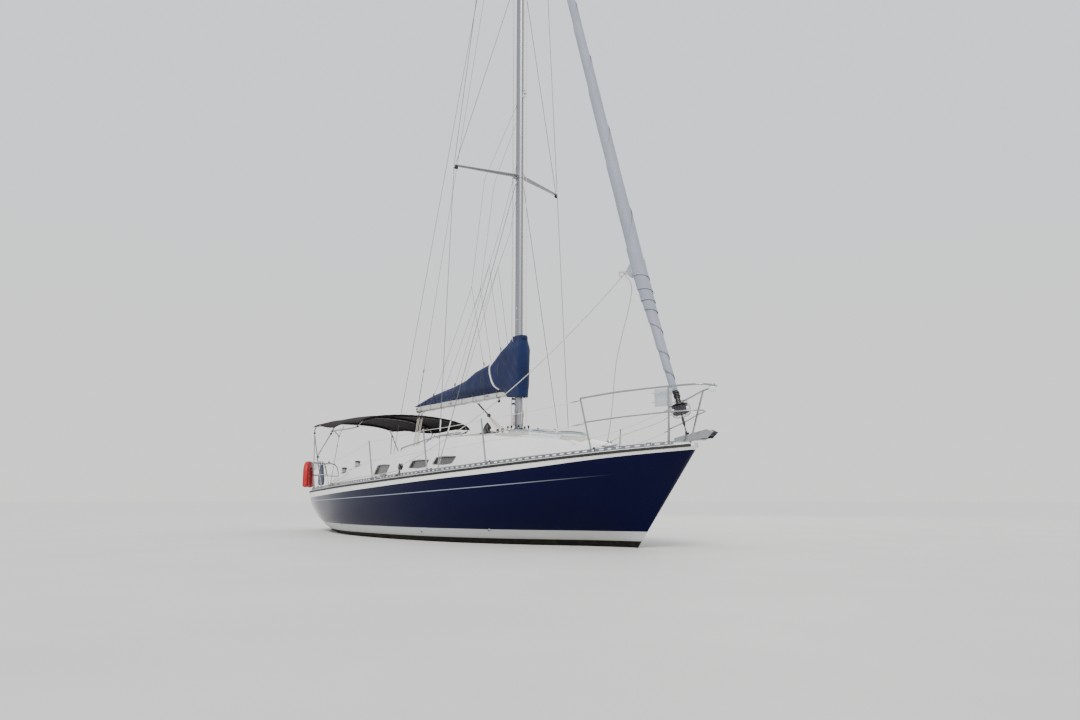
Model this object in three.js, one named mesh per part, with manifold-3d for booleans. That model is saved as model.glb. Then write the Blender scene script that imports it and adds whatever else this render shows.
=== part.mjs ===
// Sailing yacht of 10.2 m with a fin keel, afloat, sails furled: hull, deck, rig and fittings.
// Millimetres. +X to the bow, +Y to port, +Z up; the origin is amidships on the waterline.
import * as THREE from 'three';
import { mergeVertices } from 'three/addons/utils/BufferGeometryUtils.js';
import Module from 'manifold-3d';

const wasm = await Module();
wasm.setup();

// Driving dimensions
const deckLength = 10200;
const aftEnd = -deckLength / 2;
const gap = 0.5; // between pieces that touch
const deckEdge = 30; // the deck's thickness at the side
const deckCamber = 70; // rise of the deck on the centreline, at the widest beam
const widestHalfBeam = 1694;
const bowRake = 0.82; // run of the stem for each unit of height
const transomRake = 0.09;
const cabinWall = 40;
const mastX = 1314;
const mastLength = 168; // fore and aft
const mastWidth = 118;
const mastFootZ = 1752;
const mastheadZ = 13300;
const boomPivotX = 1070;
const boomPivotZ = 2410;
const boomEndX = -2050;
const boomEndZ = 2387;
const rudderX = -4350;
const railTube = 12.5; // radius of the pulpit, pushpit and canopy tubes
const wire = 5; // radius of the standing rigging

// Colours
const navy = 0x14264d;
const white = 0xe9ebec;
const alloy = 0xc4c6c8;
const steel = 0xb9bdc2;
const darkGlass = 0x1d2125;
const canopyBrown = 0x2b2426;
const coverBlue = 0x24569c;

// The hull's sections: distance from the deck's aft end, half-breadth at the deck, height of the
// canoe body's bottom, and the two powers that set how full the section is
const stations = [
  { along: 0, half: 923, keelZ: -60, depthPower: 1.85, breadthPower: 2.0 },
  { along: 750, half: 1150, keelZ: -85, depthPower: 2.6, breadthPower: 2.2 },
  { along: 1500, half: 1338, keelZ: -140, depthPower: 3.3, breadthPower: 2.4 },
  { along: 3000, half: 1614, keelZ: -310, depthPower: 3.3, breadthPower: 2.4 },
  { along: 4500, half: 1694, keelZ: -410, depthPower: 3.0, breadthPower: 2.3 },
  { along: 6000, half: 1614, keelZ: -420, depthPower: 2.7, breadthPower: 2.2 },
  { along: 7500, half: 1323, keelZ: -330, depthPower: 2.1, breadthPower: 1.8 },
  { along: 8700, half: 940, keelZ: -190, depthPower: 1.5, breadthPower: 1.35 },
  { along: 9600, half: 500, keelZ: -80, depthPower: 1.25, breadthPower: 1.15 },
  { along: 10200, half: 40, keelZ: -15, depthPower: 1.1, breadthPower: 1.0 },
];

// The coachroof's sections: place, half-width at the deck and at the roof's edge, and heights
const roofRows = [
  { x: -1900, halfBase: 1080, halfEdge: 930, edgeZ: 1385, crownZ: 1470 },
  { x: -1000, halfBase: 1085, halfEdge: 925, edgeZ: 1490, crownZ: 1578 },
  { x: 0, halfBase: 1075, halfEdge: 900, edgeZ: 1605, crownZ: 1699 },
  { x: 300, halfBase: 1065, halfEdge: 880, edgeZ: 1640, crownZ: 1730 },
  { x: 900, halfBase: 1010, halfEdge: 810, edgeZ: 1632, crownZ: 1728 },
  { x: 1500, halfBase: 905, halfEdge: 710, edgeZ: 1610, crownZ: 1695 },
  { x: 2100, halfBase: 765, halfEdge: 590, edgeZ: 1560, crownZ: 1635 },
  { x: 2740, halfBase: 595, halfEdge: 450, edgeZ: 1500, crownZ: 1560 },
  { x: 3080, halfBase: 485, halfEdge: 360, edgeZ: 1462, crownZ: 1515 },
  { x: 3300, halfBase: 395, halfEdge: 285, edgeZ: 1420, crownZ: 1466 },
  { x: 3510, halfBase: 295, halfEdge: 200, edgeZ: 1345, crownZ: 1377 },
  { x: 3640, halfBase: 215, halfEdge: 130, edgeZ: 1262, crownZ: 1280 },
];

// Side windows, port and starboard alike: the lower edge's ends, and how far the top leans forward
const windows = [
  { aft: -1830, fore: -1330, low: 1085, high: 1255 },
  { aft: -500, fore: 60, low: 1170, high: 1290 },
  { aft: 280, fore: 800, low: 1205, high: 1320 },
];
const windowLean = 85;

const group = new THREE.Group();

// Add one named piece with its own material
function add(name, geometry, color, roughness = 0.5, metalness = 0) {
  const material = new THREE.MeshStandardMaterial({ color, roughness, metalness });
  const mesh = new THREE.Mesh(geometry, material);
  mesh.name = name;
  group.add(mesh);
  return mesh;
}

const point = (x, y, z) => new THREE.Vector3(x, y, z);

// Value of a named column at a place along a table, on a smooth curve through its rows
function tableValue(rows, key, column, place) {
  let last = rows.length - 2;
  while (last > 0 && rows[last][key] > place) last -= 1;
  const before = rows[Math.max(last - 1, 0)];
  const start = rows[last];
  const end = rows[last + 1];
  const after = rows[Math.min(last + 2, rows.length - 1)];
  const span = end[key] - start[key];
  const slopeStart = (end[column] - before[column]) / (end[key] - before[key]);
  const slopeEnd = (after[column] - start[column]) / (after[key] - start[key]);
  const t = (place - start[key]) / span;
  const blend = t * t * (3 - 2 * t);
  const rise = t * (1 - t) * (1 - t) * slopeStart * span - t * t * (1 - t) * slopeEnd * span;
  return start[column] * (1 - blend) + end[column] * blend + rise;
}

const sheerZ = (along) => {
  const metres = along / 1000;
  return 825 + 9.45 * metres + 4.0236 * metres * metres;
};
const hullTopZ = (x) => sheerZ(x - aftEnd) - deckEdge;
const deckHalf = (x) => tableValue(stations, 'along', 'half', x - aftEnd);
const deckTopZ = (x, y) => {
  const half = deckHalf(x);
  return hullTopZ(x) + deckEdge + deckCamber * (half / widestHalfBeam) * (1 - (y / half) ** 2);
};

// Closed solid through rings of equal counts of points, with flat fans at both ends
function loft(rings) {
  const count = rings[0].length;
  const positions = rings.flat().flatMap((p) => [p.x, p.y, p.z]);
  const indices = [];
  for (let i = 0; i < rings.length - 1; i += 1) {
    for (let j = 0; j < count; j += 1) {
      const a = i * count + j;
      const b = i * count + (j + 1) % count;
      indices.push(a, b, b + count, a, b + count, a + count);
    }
  }
  for (const [ring, turned] of [[0, true], [rings.length - 1, false]]) {
    const centre = new THREE.Vector3();
    rings[ring].forEach((p) => centre.addScaledVector(p, 1 / count));
    const hub = positions.length / 3;
    positions.push(centre.x, centre.y, centre.z);
    for (let j = 0; j < count; j += 1) {
      const a = ring * count + j;
      const b = ring * count + (j + 1) % count;
      if (turned) indices.push(hub, b, a);
      else indices.push(hub, a, b);
    }
  }
  const geometry = new THREE.BufferGeometry();
  geometry.setAttribute('position', new THREE.Float32BufferAttribute(positions, 3));
  geometry.setIndex(indices);
  return faceOut(geometry);
}

// Turn the faces round where the enclosed volume comes out negative
function faceOut(geometry) {
  const p = geometry.attributes.position;
  const index = geometry.index.array;
  const corner = [point(), point(), point()];
  let volume = 0;
  for (let i = 0; i < index.length; i += 3) {
    corner.forEach((c, k) => c.fromBufferAttribute(p, index[i + k]));
    volume += corner[0].dot(corner[1].clone().cross(corner[2])) / 6;
  }
  if (volume < 0) {
    for (let i = 0; i < index.length; i += 3) {
      [index[i], index[i + 1]] = [index[i + 1], index[i]];
    }
  }
  return geometry;
}

function toSolid(geometry) {
  const bare = geometry.clone();
  bare.deleteAttribute('normal');
  bare.deleteAttribute('uv');
  const merged = faceOut(mergeVertices(bare, 0.001));
  return new wasm.Manifold(new wasm.Mesh({
    numProp: 3,
    vertProperties: Float32Array.from(merged.attributes.position.array),
    triVerts: Uint32Array.from(merged.index.array),
  }));
}

function toGeometry(solid) {
  const mesh = solid.getMesh();
  const geometry = new THREE.BufferGeometry();
  geometry.setAttribute('position', new THREE.BufferAttribute(mesh.vertProperties, 3));
  geometry.setIndex(new THREE.BufferAttribute(mesh.triVerts, 1));
  return geometry;
}

const cut = (geometry, ...tools) => toGeometry(
  tools.reduce((solid, tool) => solid.subtract(toSolid(tool)), toSolid(geometry)));
const join = (...pieces) => toGeometry(
  pieces.slice(1).reduce((solid, piece) => solid.add(toSolid(piece)), toSolid(pieces[0])));
const common = (geometry, tool) => toGeometry(toSolid(geometry).intersect(toSolid(tool)));

// Box between two corners
function block(x0, x1, y0, y1, z0, z1) {
  const geometry = new THREE.BoxGeometry(x1 - x0, y1 - y0, z1 - z0);
  return geometry.translate((x0 + x1) / 2, (y0 + y1) / 2, (z0 + z1) / 2);
}

// Straight round rod between two points
function rod(start, end, radius, sides = 8) {
  const along = end.clone().sub(start);
  const geometry = new THREE.CylinderGeometry(radius, radius, along.length(), sides);
  const turn = new THREE.Quaternion().setFromUnitVectors(point(0, 1, 0), along.normalize());
  geometry.applyQuaternion(turn);
  const middle = start.clone().add(end).multiplyScalar(0.5);
  return geometry.translate(middle.x, middle.y, middle.z);
}

// Bent tube through points
function bentTube(points, radius, steps, sides = 8) {
  const corners = [];
  for (let i = 0; i < sides; i += 1) {
    const angle = (i / sides) * 2 * Math.PI;
    corners.push(new THREE.Vector2(radius * Math.cos(angle), radius * Math.sin(angle)));
  }
  const extrudePath = new THREE.CatmullRomCurve3(points, false, 'centripetal');
  const options = { steps, extrudePath, bevelEnabled: false };
  return new THREE.ExtrudeGeometry(new THREE.Shape(corners), options);
}

// Upright prism on an outline of [x, y] pairs
function prism(outline, z0, z1) {
  const shape = new THREE.Shape(outline.map(([x, y]) => new THREE.Vector2(x, y)));
  const geometry = new THREE.ExtrudeGeometry(shape, { depth: z1 - z0, bevelEnabled: false });
  return geometry.translate(0, 0, z0);
}

// Upright oval prism, a mast's section grown by a margin
function oval(margin, z0, z1, sides = 20) {
  const outline = [];
  for (let i = 0; i < sides; i += 1) {
    const angle = (i / sides) * 2 * Math.PI;
    outline.push([
      mastX + (mastLength / 2 + margin) * Math.cos(angle),
      (mastWidth / 2 + margin) * Math.sin(angle),
    ]);
  }
  return prism(outline, z0, z1);
}

const mirrored = (geometry) => faceOut(mergeVertices(stripped(geometry).scale(1, -1, 1), 0.001));
function stripped(geometry) {
  const bare = geometry.clone();
  bare.deleteAttribute('normal');
  bare.deleteAttribute('uv');
  return bare;
}

// Hull, solid below the deck but for the cockpit well and the cabins
const cockpit = { aft: -4100, fore: -1990, seatHalf: 800, seatZ: 800, wellHalf: 380, wellZ: 350 };
const saloon = { aft: -1800, fore: 1150, half: 800, soleZ: -150 };
const foreCabin = { aft: 1450, fore: 2750, half: 430, soleZ: 400 };
const companionway = { half: 300, sillZ: 860 };

function hullRing(along) {
  const half = tableValue(stations, 'along', 'half', along);
  const keelZ = tableValue(stations, 'along', 'keelZ', along);
  const depthPower = tableValue(stations, 'along', 'depthPower', along);
  const breadthPower = tableValue(stations, 'along', 'breadthPower', along);
  const topZ = sheerZ(along) - deckEdge;
  const forward = Math.max((along - 6000) / 4200, 0);
  const aftward = Math.max(1 - along / 1500, 0);
  const rake = bowRake * forward ** 2 - transomRake * aftward;
  const steps = 11;
  const side = [];
  for (let i = 0; i <= steps; i += 1) {
    const angle = (i / steps) * Math.PI / 2;
    const depth = Math.sin(angle) ** 1.2;
    const z = topZ - depth * (topZ - keelZ);
    const y = half * Math.max(1 - depth ** depthPower, 0) ** (1 / breadthPower);
    side.push(point(aftEnd + along - rake * (topZ - z), y, z));
  }
  const other = side.slice(0, steps).reverse().map((p) => point(p.x, -p.y, p.z));
  return side.concat(other);
}

const hullRings = [];
const hullSections = 30;
for (let i = 0; i <= hullSections; i += 1) {
  hullRings.push(hullRing((i / hullSections) * deckLength));
}
const aboveDeck = 2000; // height that clears the hull and the deck
const pit = (aft, fore, half, floorZ) => block(aft, fore, -half, half, floorZ, aboveDeck);
const wellCut = pit(cockpit.aft + 60, cockpit.fore, cockpit.wellHalf, cockpit.wellZ);
const seatCut = pit(cockpit.aft, cockpit.fore, cockpit.seatHalf, cockpit.seatZ);
const saloonCut = pit(saloon.aft, saloon.fore, saloon.half, saloon.soleZ);
const foreCut = pit(foreCabin.aft, foreCabin.fore, foreCabin.half, foreCabin.soleZ);
const stepCut = pit(cockpit.fore - 100, saloon.aft + 100, companionway.half, companionway.sillZ);
const stockHole = rod(point(rudderX, 0, -400), point(rudderX, 0, 1300), 40, 16);

const shaftTop = point(-2350, 0, -270);
const shaftEnd = point(-3380, 0, -440);
const shaftPocket = rod(shaftEnd, shaftTop, 24, 12);
const hullBody = loft(hullRings);
add('hull', cut(hullBody, seatCut, wellCut, saloonCut, foreCut, stepCut, stockHole, shaftPocket),
  navy, 0.2);

// Coachroof section at a row, drawn in from the outside by an inset
function roofRing(row, inset, baseZ) {
  const halfBase = row.halfBase - inset;
  const halfEdge = row.halfEdge - inset;
  const edgeZ = row.edgeZ - inset;
  const crownZ = row.crownZ - inset;
  const corner = Math.min(50, (edgeZ - baseZ) / 3);
  const side = [point(row.x, halfBase, baseZ)];
  side.push(point(row.x, halfEdge + (halfBase - halfEdge) * 0.18, edgeZ - corner));
  side.push(point(row.x, halfEdge - corner * 0.35, edgeZ + (crownZ - edgeZ) * 0.12 - 2));
  for (const part of [0.72, 0.45, 0.2]) {
    side.push(point(row.x, halfEdge * part, crownZ - (crownZ - edgeZ) * part ** 2));
  }
  side.push(point(row.x, 0, crownZ));
  const other = side.slice(0, -1).reverse().map((p) => point(p.x, -p.y, p.z));
  return side.concat(other);
}

const roofValue = (column, x) => {
  let i = 0;
  while (i < roofRows.length - 2 && roofRows[i + 1].x < x) i += 1;
  const t = (x - roofRows[i].x) / (roofRows[i + 1].x - roofRows[i].x);
  return roofRows[i][column] * (1 - t) + roofRows[i + 1][column] * t;
};
const roofZ = (x, y) => {
  const crownZ = roofValue('crownZ', x);
  return crownZ - (crownZ - roofValue('edgeZ', x)) * (y / roofValue('halfEdge', x)) ** 2;
};

// Curved slab that lies over the roof between two places
function roofSlab(x0, x1, half, lift, thickness) {
  const rings = [];
  for (const x of [x0, x0 + (x1 - x0) / 3, x0 + (x1 - x0) * 2 / 3, x1]) {
    const sides = [-1, -0.5, 0, 0.5, 1];
    const low = sides.map((part) => point(x, part * half, roofZ(x, part * half) + lift));
    const high = low.slice().reverse().map((p) => point(x, p.y, p.z + thickness));
    rings.push(low.concat(high));
  }
  return loft(rings);
}

const roofOutside = loft(roofRows.map((row) => roofRing(row, 0, hullTopZ(row.x) + gap)));
const hollowRows = roofRows.filter((row) => row.x < 3200).map((row) => ({ ...row }));
hollowRows[0].x += cabinWall;
const belowDeck = 300; // how far the hollow runs down past the deck
const roofHollow = (inset) => loft(
  hollowRows.map((row) => roofRing(row, inset, hullTopZ(row.x) - belowDeck)));

// Window opening through both walls, grown by a margin
function windowCut({ aft, fore, low, high }, margin) {
  const corners = [
    [aft - margin, low - margin],
    [fore + margin, low - margin],
    [fore + windowLean + margin, high + margin],
    [aft + windowLean - margin, high + margin],
  ];
  const shape = new THREE.Shape(corners.map(([x, z]) => new THREE.Vector2(x, z)));
  const geometry = new THREE.ExtrudeGeometry(shape, { depth: 2800, bevelEnabled: false });
  return geometry.rotateX(Math.PI / 2).translate(0, 1400, 0);
}

const slideHatch = { aft: -1905, fore: -1180, half: 350, lift: 6, thickness: 28 };
const foreHatch = { aft: 2000, fore: 2680, half: 310, lift: 48, thickness: 26 };
const foreOpening = block(foreHatch.aft + 60, foreHatch.fore - 60, -foreHatch.half + 60,
  foreHatch.half - 60, 1300, 2000);
const slideOpening = block(slideHatch.aft - 100, slideHatch.fore - 60, -companionway.half,
  companionway.half, companionway.sillZ, 2000);
const foreCoaming = roofSlab(foreHatch.aft, foreHatch.fore, foreHatch.half, -15, 58);
const runner = (side) => {
  const rings = [-1880, -560].map((x) => {
    const y = side * (slideHatch.half + 28);
    const z = roofZ(x, y);
    return [[-14, -15], [14, -15], [14, 34], [-14, 34]].map(([dy, dz]) => point(x, y + dy, z + dz));
  });
  return loft(rings);
};
const mastPad = block(mastX - 130, mastX + 130, -110, 110, 1680, mastFootZ - gap);
add('coachroof', cut(
  join(cut(roofOutside, roofHollow(cabinWall)), foreCoaming, runner(1), runner(-1), mastPad),
  slideOpening, foreOpening, ...windows.map((one) => windowCut(one, 0))), white, 0.35);

// Dark panes: a pane in each opening, carried by one strip inside the wall
const paneStrip = cut(roofHollow(cabinWall + 1), roofHollow(cabinWall + 7));
const paneSkin = cut(roofHollow(12), roofHollow(cabinWall + 7));
function panes(side) {
  const [y0, y1] = side > 0 ? [700, 1200] : [-1200, -700];
  const band = block(-1850, 1000, y0, y1, 1060, 1345);
  const fill = windows.map((one) => common(common(paneSkin, windowCut(one, -gap)), band));
  return join(common(paneStrip, band), ...fill);
}
add('window_panes_port', panes(1), darkGlass, 0.1);
add('window_panes_starboard', panes(-1), darkGlass, 0.1);

add('washboard', block(-1888, -1868, -companionway.half + 2, companionway.half - 2,
  companionway.sillZ + 2, 1440), 0x6d4a2c, 0.5);
add('companion_hatch', roofSlab(slideHatch.aft, slideHatch.fore, slideHatch.half,
  slideHatch.lift, slideHatch.thickness), white, 0.35);
add('fore_hatch', roofSlab(foreHatch.aft, foreHatch.fore, foreHatch.half,
  foreHatch.lift, foreHatch.thickness), darkGlass, 0.2);

// Cockpit coamings, in line with the cabin's sides
const coamingRows = [
  { x: -3960, base: 1020, outer: 960, topZ: 985 },
  { x: -3720, base: 1050, outer: 975, topZ: 1070 },
  { x: -3040, base: 1080, outer: 985, topZ: 1200 },
  { x: -2270, base: 1085, outer: 955, topZ: 1330 },
  { x: -1901, base: 1080, outer: 935, topZ: 1384 },
];
const coamingInner = cockpit.seatHalf;
const winchRows = [{ name: 'winch_aft', x: -3430 }, { name: 'winch_fore', x: -2820 }];
const winchY = 890;
const winchZ = (x) => tableValue(coamingRows, 'x', 'topZ', x) + 18;
const winchPads = winchRows.map(({ x }) => (
  rod(point(x, winchY, winchZ(x) - 90), point(x, winchY, winchZ(x) - gap), 69, 20)));
const portCoaming = join(loft(coamingRows.map(({ x, base, outer, topZ }) => [
  point(x, coamingInner + gap, hullTopZ(x) + gap),
  point(x, base, hullTopZ(x) + gap),
  point(x, outer, topZ - 25),
  point(x, outer - 25, topZ),
  point(x, coamingInner + 20, topZ),
  point(x, coamingInner + gap, topZ - 20),
])), ...winchPads);
add('coaming_port', portCoaming, white, 0.35);
add('coaming_starboard', mirrored(portCoaming), white, 0.35);

// Deck with the openings for the coachroof, the coamings and the cockpit
const deckRings = hullRings.map((ring, i) => {
  const along = (i / hullSections) * deckLength;
  const x = aftEnd + along;
  const half = tableValue(stations, 'along', 'half', along);
  const low = hullTopZ(x) + gap;
  const parts = [1, 0.75, 0.5, 0.25, 0, -0.25, -0.5, -0.75, -1];
  const top = parts.map((part) => point(x, part * half, deckTopZ(x, part * half)));
  return [point(x, -half, low), point(x, half, low), ...top];
});
const openingSide = [
  ...coamingRows.slice(0, -1).map(({ x, base }) => [x - gap, base + gap]),
  ...roofRows.map(({ x, halfBase }) => [x + gap, halfBase + gap]),
];
const openingOutline = openingSide.concat(openingSide.slice().reverse().map(([x, y]) => [x, -y]));
const deckBody = cut(loft(deckRings), prism(openingOutline, 600, 1600), seatCut, stockHole);
const deckJoinX = -4110; // aft deck and main deck meet just behind the cockpit
const beside = (x0, x1) => block(x0, x1, -2000, 2000, 500, 2000);
add('deck', cut(deckBody, beside(-6000, deckJoinX)), white, 0.5);
add('deck_aft', cut(deckBody, beside(deckJoinX - gap, 6000)), white, 0.5);

// Toe rails along the deck's edges
const toeRail = { inset: 25, width: 12, height: 38 };
function toeRailRings(side) {
  const rings = [];
  for (let along = 250; along <= 9990; along += 487) {
    const x = aftEnd + along;
    const y = deckHalf(x) - toeRail.inset;
    const z = sheerZ(along) + 3;
    const corners = [[0, 0], [toeRail.width, 0], [toeRail.width, toeRail.height], [0, toeRail.height]];
    rings.push(corners.map(([dy, dz]) => point(x, side * (y + dy), z + dz)));
  }
  return rings;
}
add('toe_rail_port', loft(toeRailRings(1)), alloy, 0.4, 0.9);
add('toe_rail_starboard', loft(toeRailRings(-1)), alloy, 0.4, 0.9);

// Foil section: aft edge at 0, front edge at the chord's length
function foilRing(frontX, chord, thickness, z) {
  const shape = [[0, 0.02], [0.25, 0.32], [0.5, 0.46], [0.75, 0.48], [0.93, 0.28], [1, 0]];
  const port = shape.map(([part, half]) => point(frontX - chord * (1 - part), half * thickness, z));
  const starboard = port.slice(0, -1).reverse().map((p) => point(p.x, -p.y, z));
  return port.concat(starboard);
}
const keelTopZ = -330;
const keelBottomZ = -1650;
const keel = loft([
  foilRing(1080, 1850, 200, keelTopZ),
  foilRing(960, 1650, 190, -700),
  foilRing(720, 1330, 175, -1450),
  foilRing(690, 1300, 170, keelBottomZ),
]);
const hullGrown = hullBody.clone().translate(0, 0, -gap);
add('keel', cut(keel, hullGrown), 0x1c1c20, 0.7);

// Rudder: blade and stock in one, with the tiller on its head
const bladeTopZ = -150;
const blade = loft([
  foilRing(rudderX + 110, 520, 85, bladeTopZ),
  foilRing(rudderX + 90, 480, 75, -700),
  foilRing(rudderX + 50, 380, 60, -1350),
]);
const tillerRoot = point(rudderX, 0, 985);
add('rudder', join(blade, rod(point(rudderX, 0, -400), point(rudderX, 0, 960), 28, 16)), 0x1c1c20, 0.7);
const tillerEnd = point(-3180, 0, 1130);
const tillerHead = rod(point(rudderX, 0, 960 + gap), point(rudderX, 0, 1020), 42, 12);
add('tiller', join(tillerHead, rod(tillerRoot, tillerEnd, 22, 10)), 0x8a5a30, 0.45);

// Propeller on its shaft, carried by a bracket
const shaftDirection = shaftEnd.clone().sub(shaftTop).normalize();
const shaftPoint = (distance) => shaftTop.clone().addScaledVector(shaftDirection, distance);
const shaftLength = shaftEnd.distanceTo(shaftTop);
const hub = rod(shaftPoint(shaftLength - 90), shaftPoint(shaftLength - 5), 38, 12);
const bladeTurn = new THREE.Quaternion().setFromUnitVectors(point(-1, 0, 0), shaftDirection);
const propellerBlade = (turn) => {
  const shape = new THREE.Shape();
  shape.moveTo(-22, 20);
  shape.bezierCurveTo(-85, 90, -75, 190, 0, 205);
  shape.bezierCurveTo(75, 190, 85, 90, 22, 20);
  const geometry = new THREE.ExtrudeGeometry(shape, { depth: 8, bevelEnabled: false, curveSegments: 5 });
  geometry.translate(0, 0, -4).rotateY(Math.PI / 2 - 0.5).rotateX(turn).applyQuaternion(bladeTurn);
  const place = shaftPoint(shaftLength - 48);
  return geometry.translate(place.x, place.y, place.z);
};
add('propeller', join(
  rod(shaftPoint(25), shaftPoint(shaftLength - 60), 15, 12),
  hub, ...[0, 1, 2].map((i) => propellerBlade((i / 3) * 2 * Math.PI))), 0xa8823c, 0.35, 0.9);
const bracketPlace = shaftPoint(shaftLength - 190);
const bracketBoss = rod(shaftPoint(shaftLength - 240), shaftPoint(shaftLength - 140), 34, 16);
const bracketBore = rod(shaftPoint(shaftLength - 300), shaftPoint(shaftLength - 100), 20, 16);
const bracketLeg = block(bracketPlace.x - 35, bracketPlace.x + 35, -9, 9, bracketPlace.z + 15, 50);
add('shaft_bracket', cut(join(bracketBoss, bracketLeg), bracketBore, hullGrown), 0xa8823c, 0.4, 0.9);

// Mast with its gooseneck lugs and masthead plate
const lug = (z) => block(boomPivotX - 26, mastX - 60, -26, 26, z, z + 12);
const lugHeight = 34;
const craneReach = 490;
const mastheadPlate = block(mastX - craneReach, mastX + 170, -32, 32, mastheadZ - 60, mastheadZ);
add('mast', join(
  oval(0, mastFootZ, mastheadZ - 30),
  lug(boomPivotZ + lugHeight), lug(boomPivotZ - lugHeight - 12),
  mastheadPlate), alloy, 0.35, 0.9);

// Spreaders: a pair of arms swept aft, on a band round the mast
const spreaderRows = [
  { name: 'lower_spreaders', z: 6140, half: 1100, sweep: 350, rise: 40 },
  { name: 'upper_spreaders', z: 10050, half: 730, sweep: 155, rise: 30 },
];
for (const { name, z, half, sweep, rise } of spreaderRows) {
  const arm = (side) => {
    const places = [
      { out: mastWidth / 2 + 2, along: 0, up: 0, chord: 62, deep: 20 },
      { out: half, along: sweep, up: rise, chord: 34, deep: 13 },
    ];
    return loft(places.map(({ out, along, up, chord, deep }) => {
      const ring = [];
      for (let i = 0; i < 10; i += 1) {
        const angle = (i / 10) * 2 * Math.PI;
        const x = mastX - along + chord * Math.cos(angle);
        ring.push(point(x, side * out, z + up + deep * Math.sin(angle)));
      }
      return ring;
    }));
  };
  const band = cut(oval(9, z - 45, z + 45), oval(gap, z - 60, z + 60));
  add(name, join(band, arm(1), arm(-1)), alloy, 0.35, 0.9);
}

// Standing rigging: taut wires from point to point, port and starboard
const tip = ({ z, half, sweep, rise }) => point(mastX - sweep, half + 14, z + rise);
const lowerTip = tip(spreaderRows[0]);
const upperTip = tip(spreaderRows[1]);
const chainplateX = 1030;
const chainplateY = 1310;
const foot = (x, y) => point(x, y, deckTopZ(x, y) + 25);
const mastSide = (z) => point(mastX, mastWidth / 2 + 12, z);
const overTip = lowerTip.clone().add(point(0, -32, 30));
const capFoot = foot(chainplateX, chainplateY + 25);
const lowerFoot = foot(chainplateX - 110, chainplateY - 25);
const wireRows = [
  { name: 'cap_shroud_low', from: capFoot, to: lowerTip, trim: 12 },
  { name: 'cap_shroud_middle', from: lowerTip, to: upperTip, trim: 12 },
  { name: 'cap_shroud_high', from: upperTip, to: mastSide(mastheadZ - 120), trim: 12 },
  { name: 'intermediate_shroud', from: overTip, to: mastSide(9960), trim: 12 },
  { name: 'lower_shroud', from: lowerFoot, to: mastSide(6040), trim: 6 },
];
for (const { name, from, to, trim } of wireRows) {
  const way = to.clone().sub(from).normalize().multiplyScalar(trim);
  const shroud = rod(from.clone().add(way), to.clone().sub(way), wire);
  add(`${name}_port`, shroud, steel, 0.3, 0.95);
  add(`${name}_starboard`, mirrored(shroud), steel, 0.3, 0.95);
}
const forestayFoot = point(4960, 0, 1420);
const forestayHead = point(mastX + 150, 0, mastheadZ - 66);
add('forestay', rod(forestayFoot, forestayHead, wire), steel, 0.3, 0.95);
const backstayFoot = point(-4985, 870, deckTopZ(-4985, 870) + 15);
const backstayHead = point(mastX - craneReach + 20, 0, mastheadZ - 66);
add('backstay', rod(backstayFoot, backstayHead, wire), steel, 0.3, 0.95);

// Round body on the forestay: rows of distance up the stay and radius, with a bore for the wire
const stayDirection = forestayHead.clone().sub(forestayFoot).normalize();
const stayBore = wire + 4;
function onForestay(rows, segments) {
  const first = rows[0].up;
  const last = rows[rows.length - 1].up;
  const profile = rows.map(({ up, radius }) => new THREE.Vector2(radius, up));
  const closed = [new THREE.Vector2(stayBore, first), ...profile, new THREE.Vector2(stayBore, last),
    new THREE.Vector2(stayBore, first)];
  const turn = new THREE.Quaternion().setFromUnitVectors(point(0, 1, 0), stayDirection);
  const geometry = new THREE.LatheGeometry(closed, segments).applyQuaternion(turn);
  return geometry.translate(forestayFoot.x, forestayFoot.y, forestayFoot.z);
}
add('furler_drum', onForestay([
  { up: 330, radius: 108 }, { up: 342, radius: 110 }, { up: 348, radius: 70 }, { up: 418, radius: 70 },
  { up: 424, radius: 110 }, { up: 436, radius: 108 }, { up: 440, radius: 40 }, { up: 560, radius: 32 },
], 20), 0x22262e, 0.5);
add('furled_genoa', onForestay([
  { up: 720, radius: 42 }, { up: 1000, radius: 72 }, { up: 1500, radius: 92 }, { up: 2400, radius: 106 },
  { up: 4200, radius: 100 }, { up: 6400, radius: 82 }, { up: 8800, radius: 62 }, { up: 10800, radius: 44 },
  { up: 11700, radius: 30 },
], 16), 0xc9c9cc, 0.85);

// Boom, a little lower at its end, on a tongue between the mast's lugs
const boomSlope = Math.atan2(boomEndZ - boomPivotZ, boomPivotX - boomEndX);
const boomSection = { half: 48, height: 128 };
const boomStart = 45; // from the pin to the boom's front end
const boomReach = (boomPivotX - boomEndX) / Math.cos(boomSlope);
function boomPlace(geometry) {
  return geometry.rotateY(boomSlope).translate(boomPivotX, 0, boomPivotZ);
}
function roundedBar(length, half, height, corner) {
  const shape = new THREE.Shape();
  const x = half - corner;
  const y = height / 2 - corner;
  shape.absarc(x, y, corner, 0, Math.PI / 2);
  shape.absarc(-x, y, corner, Math.PI / 2, Math.PI);
  shape.absarc(-x, -y, corner, Math.PI, Math.PI * 1.5);
  shape.absarc(x, -y, corner, Math.PI * 1.5, Math.PI * 2);
  const geometry = new THREE.ExtrudeGeometry(shape, { depth: length, bevelEnabled: false, curveSegments: 4 });
  return geometry.rotateX(Math.PI / 2).rotateZ(Math.PI / 2);
}
const boomBar = roundedBar(boomReach - boomStart, boomSection.half, boomSection.height, 30);
boomBar.computeBoundingBox();
boomBar.translate(-boomStart - boomBar.boundingBox.max.x, 0, 0);
const tongue = block(-boomStart - 60, 22, -20, 20, -lugHeight + 3, lugHeight - 3);
add('boom', boomPlace(join(boomBar, tongue)), alloy, 0.35, 0.9);

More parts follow.
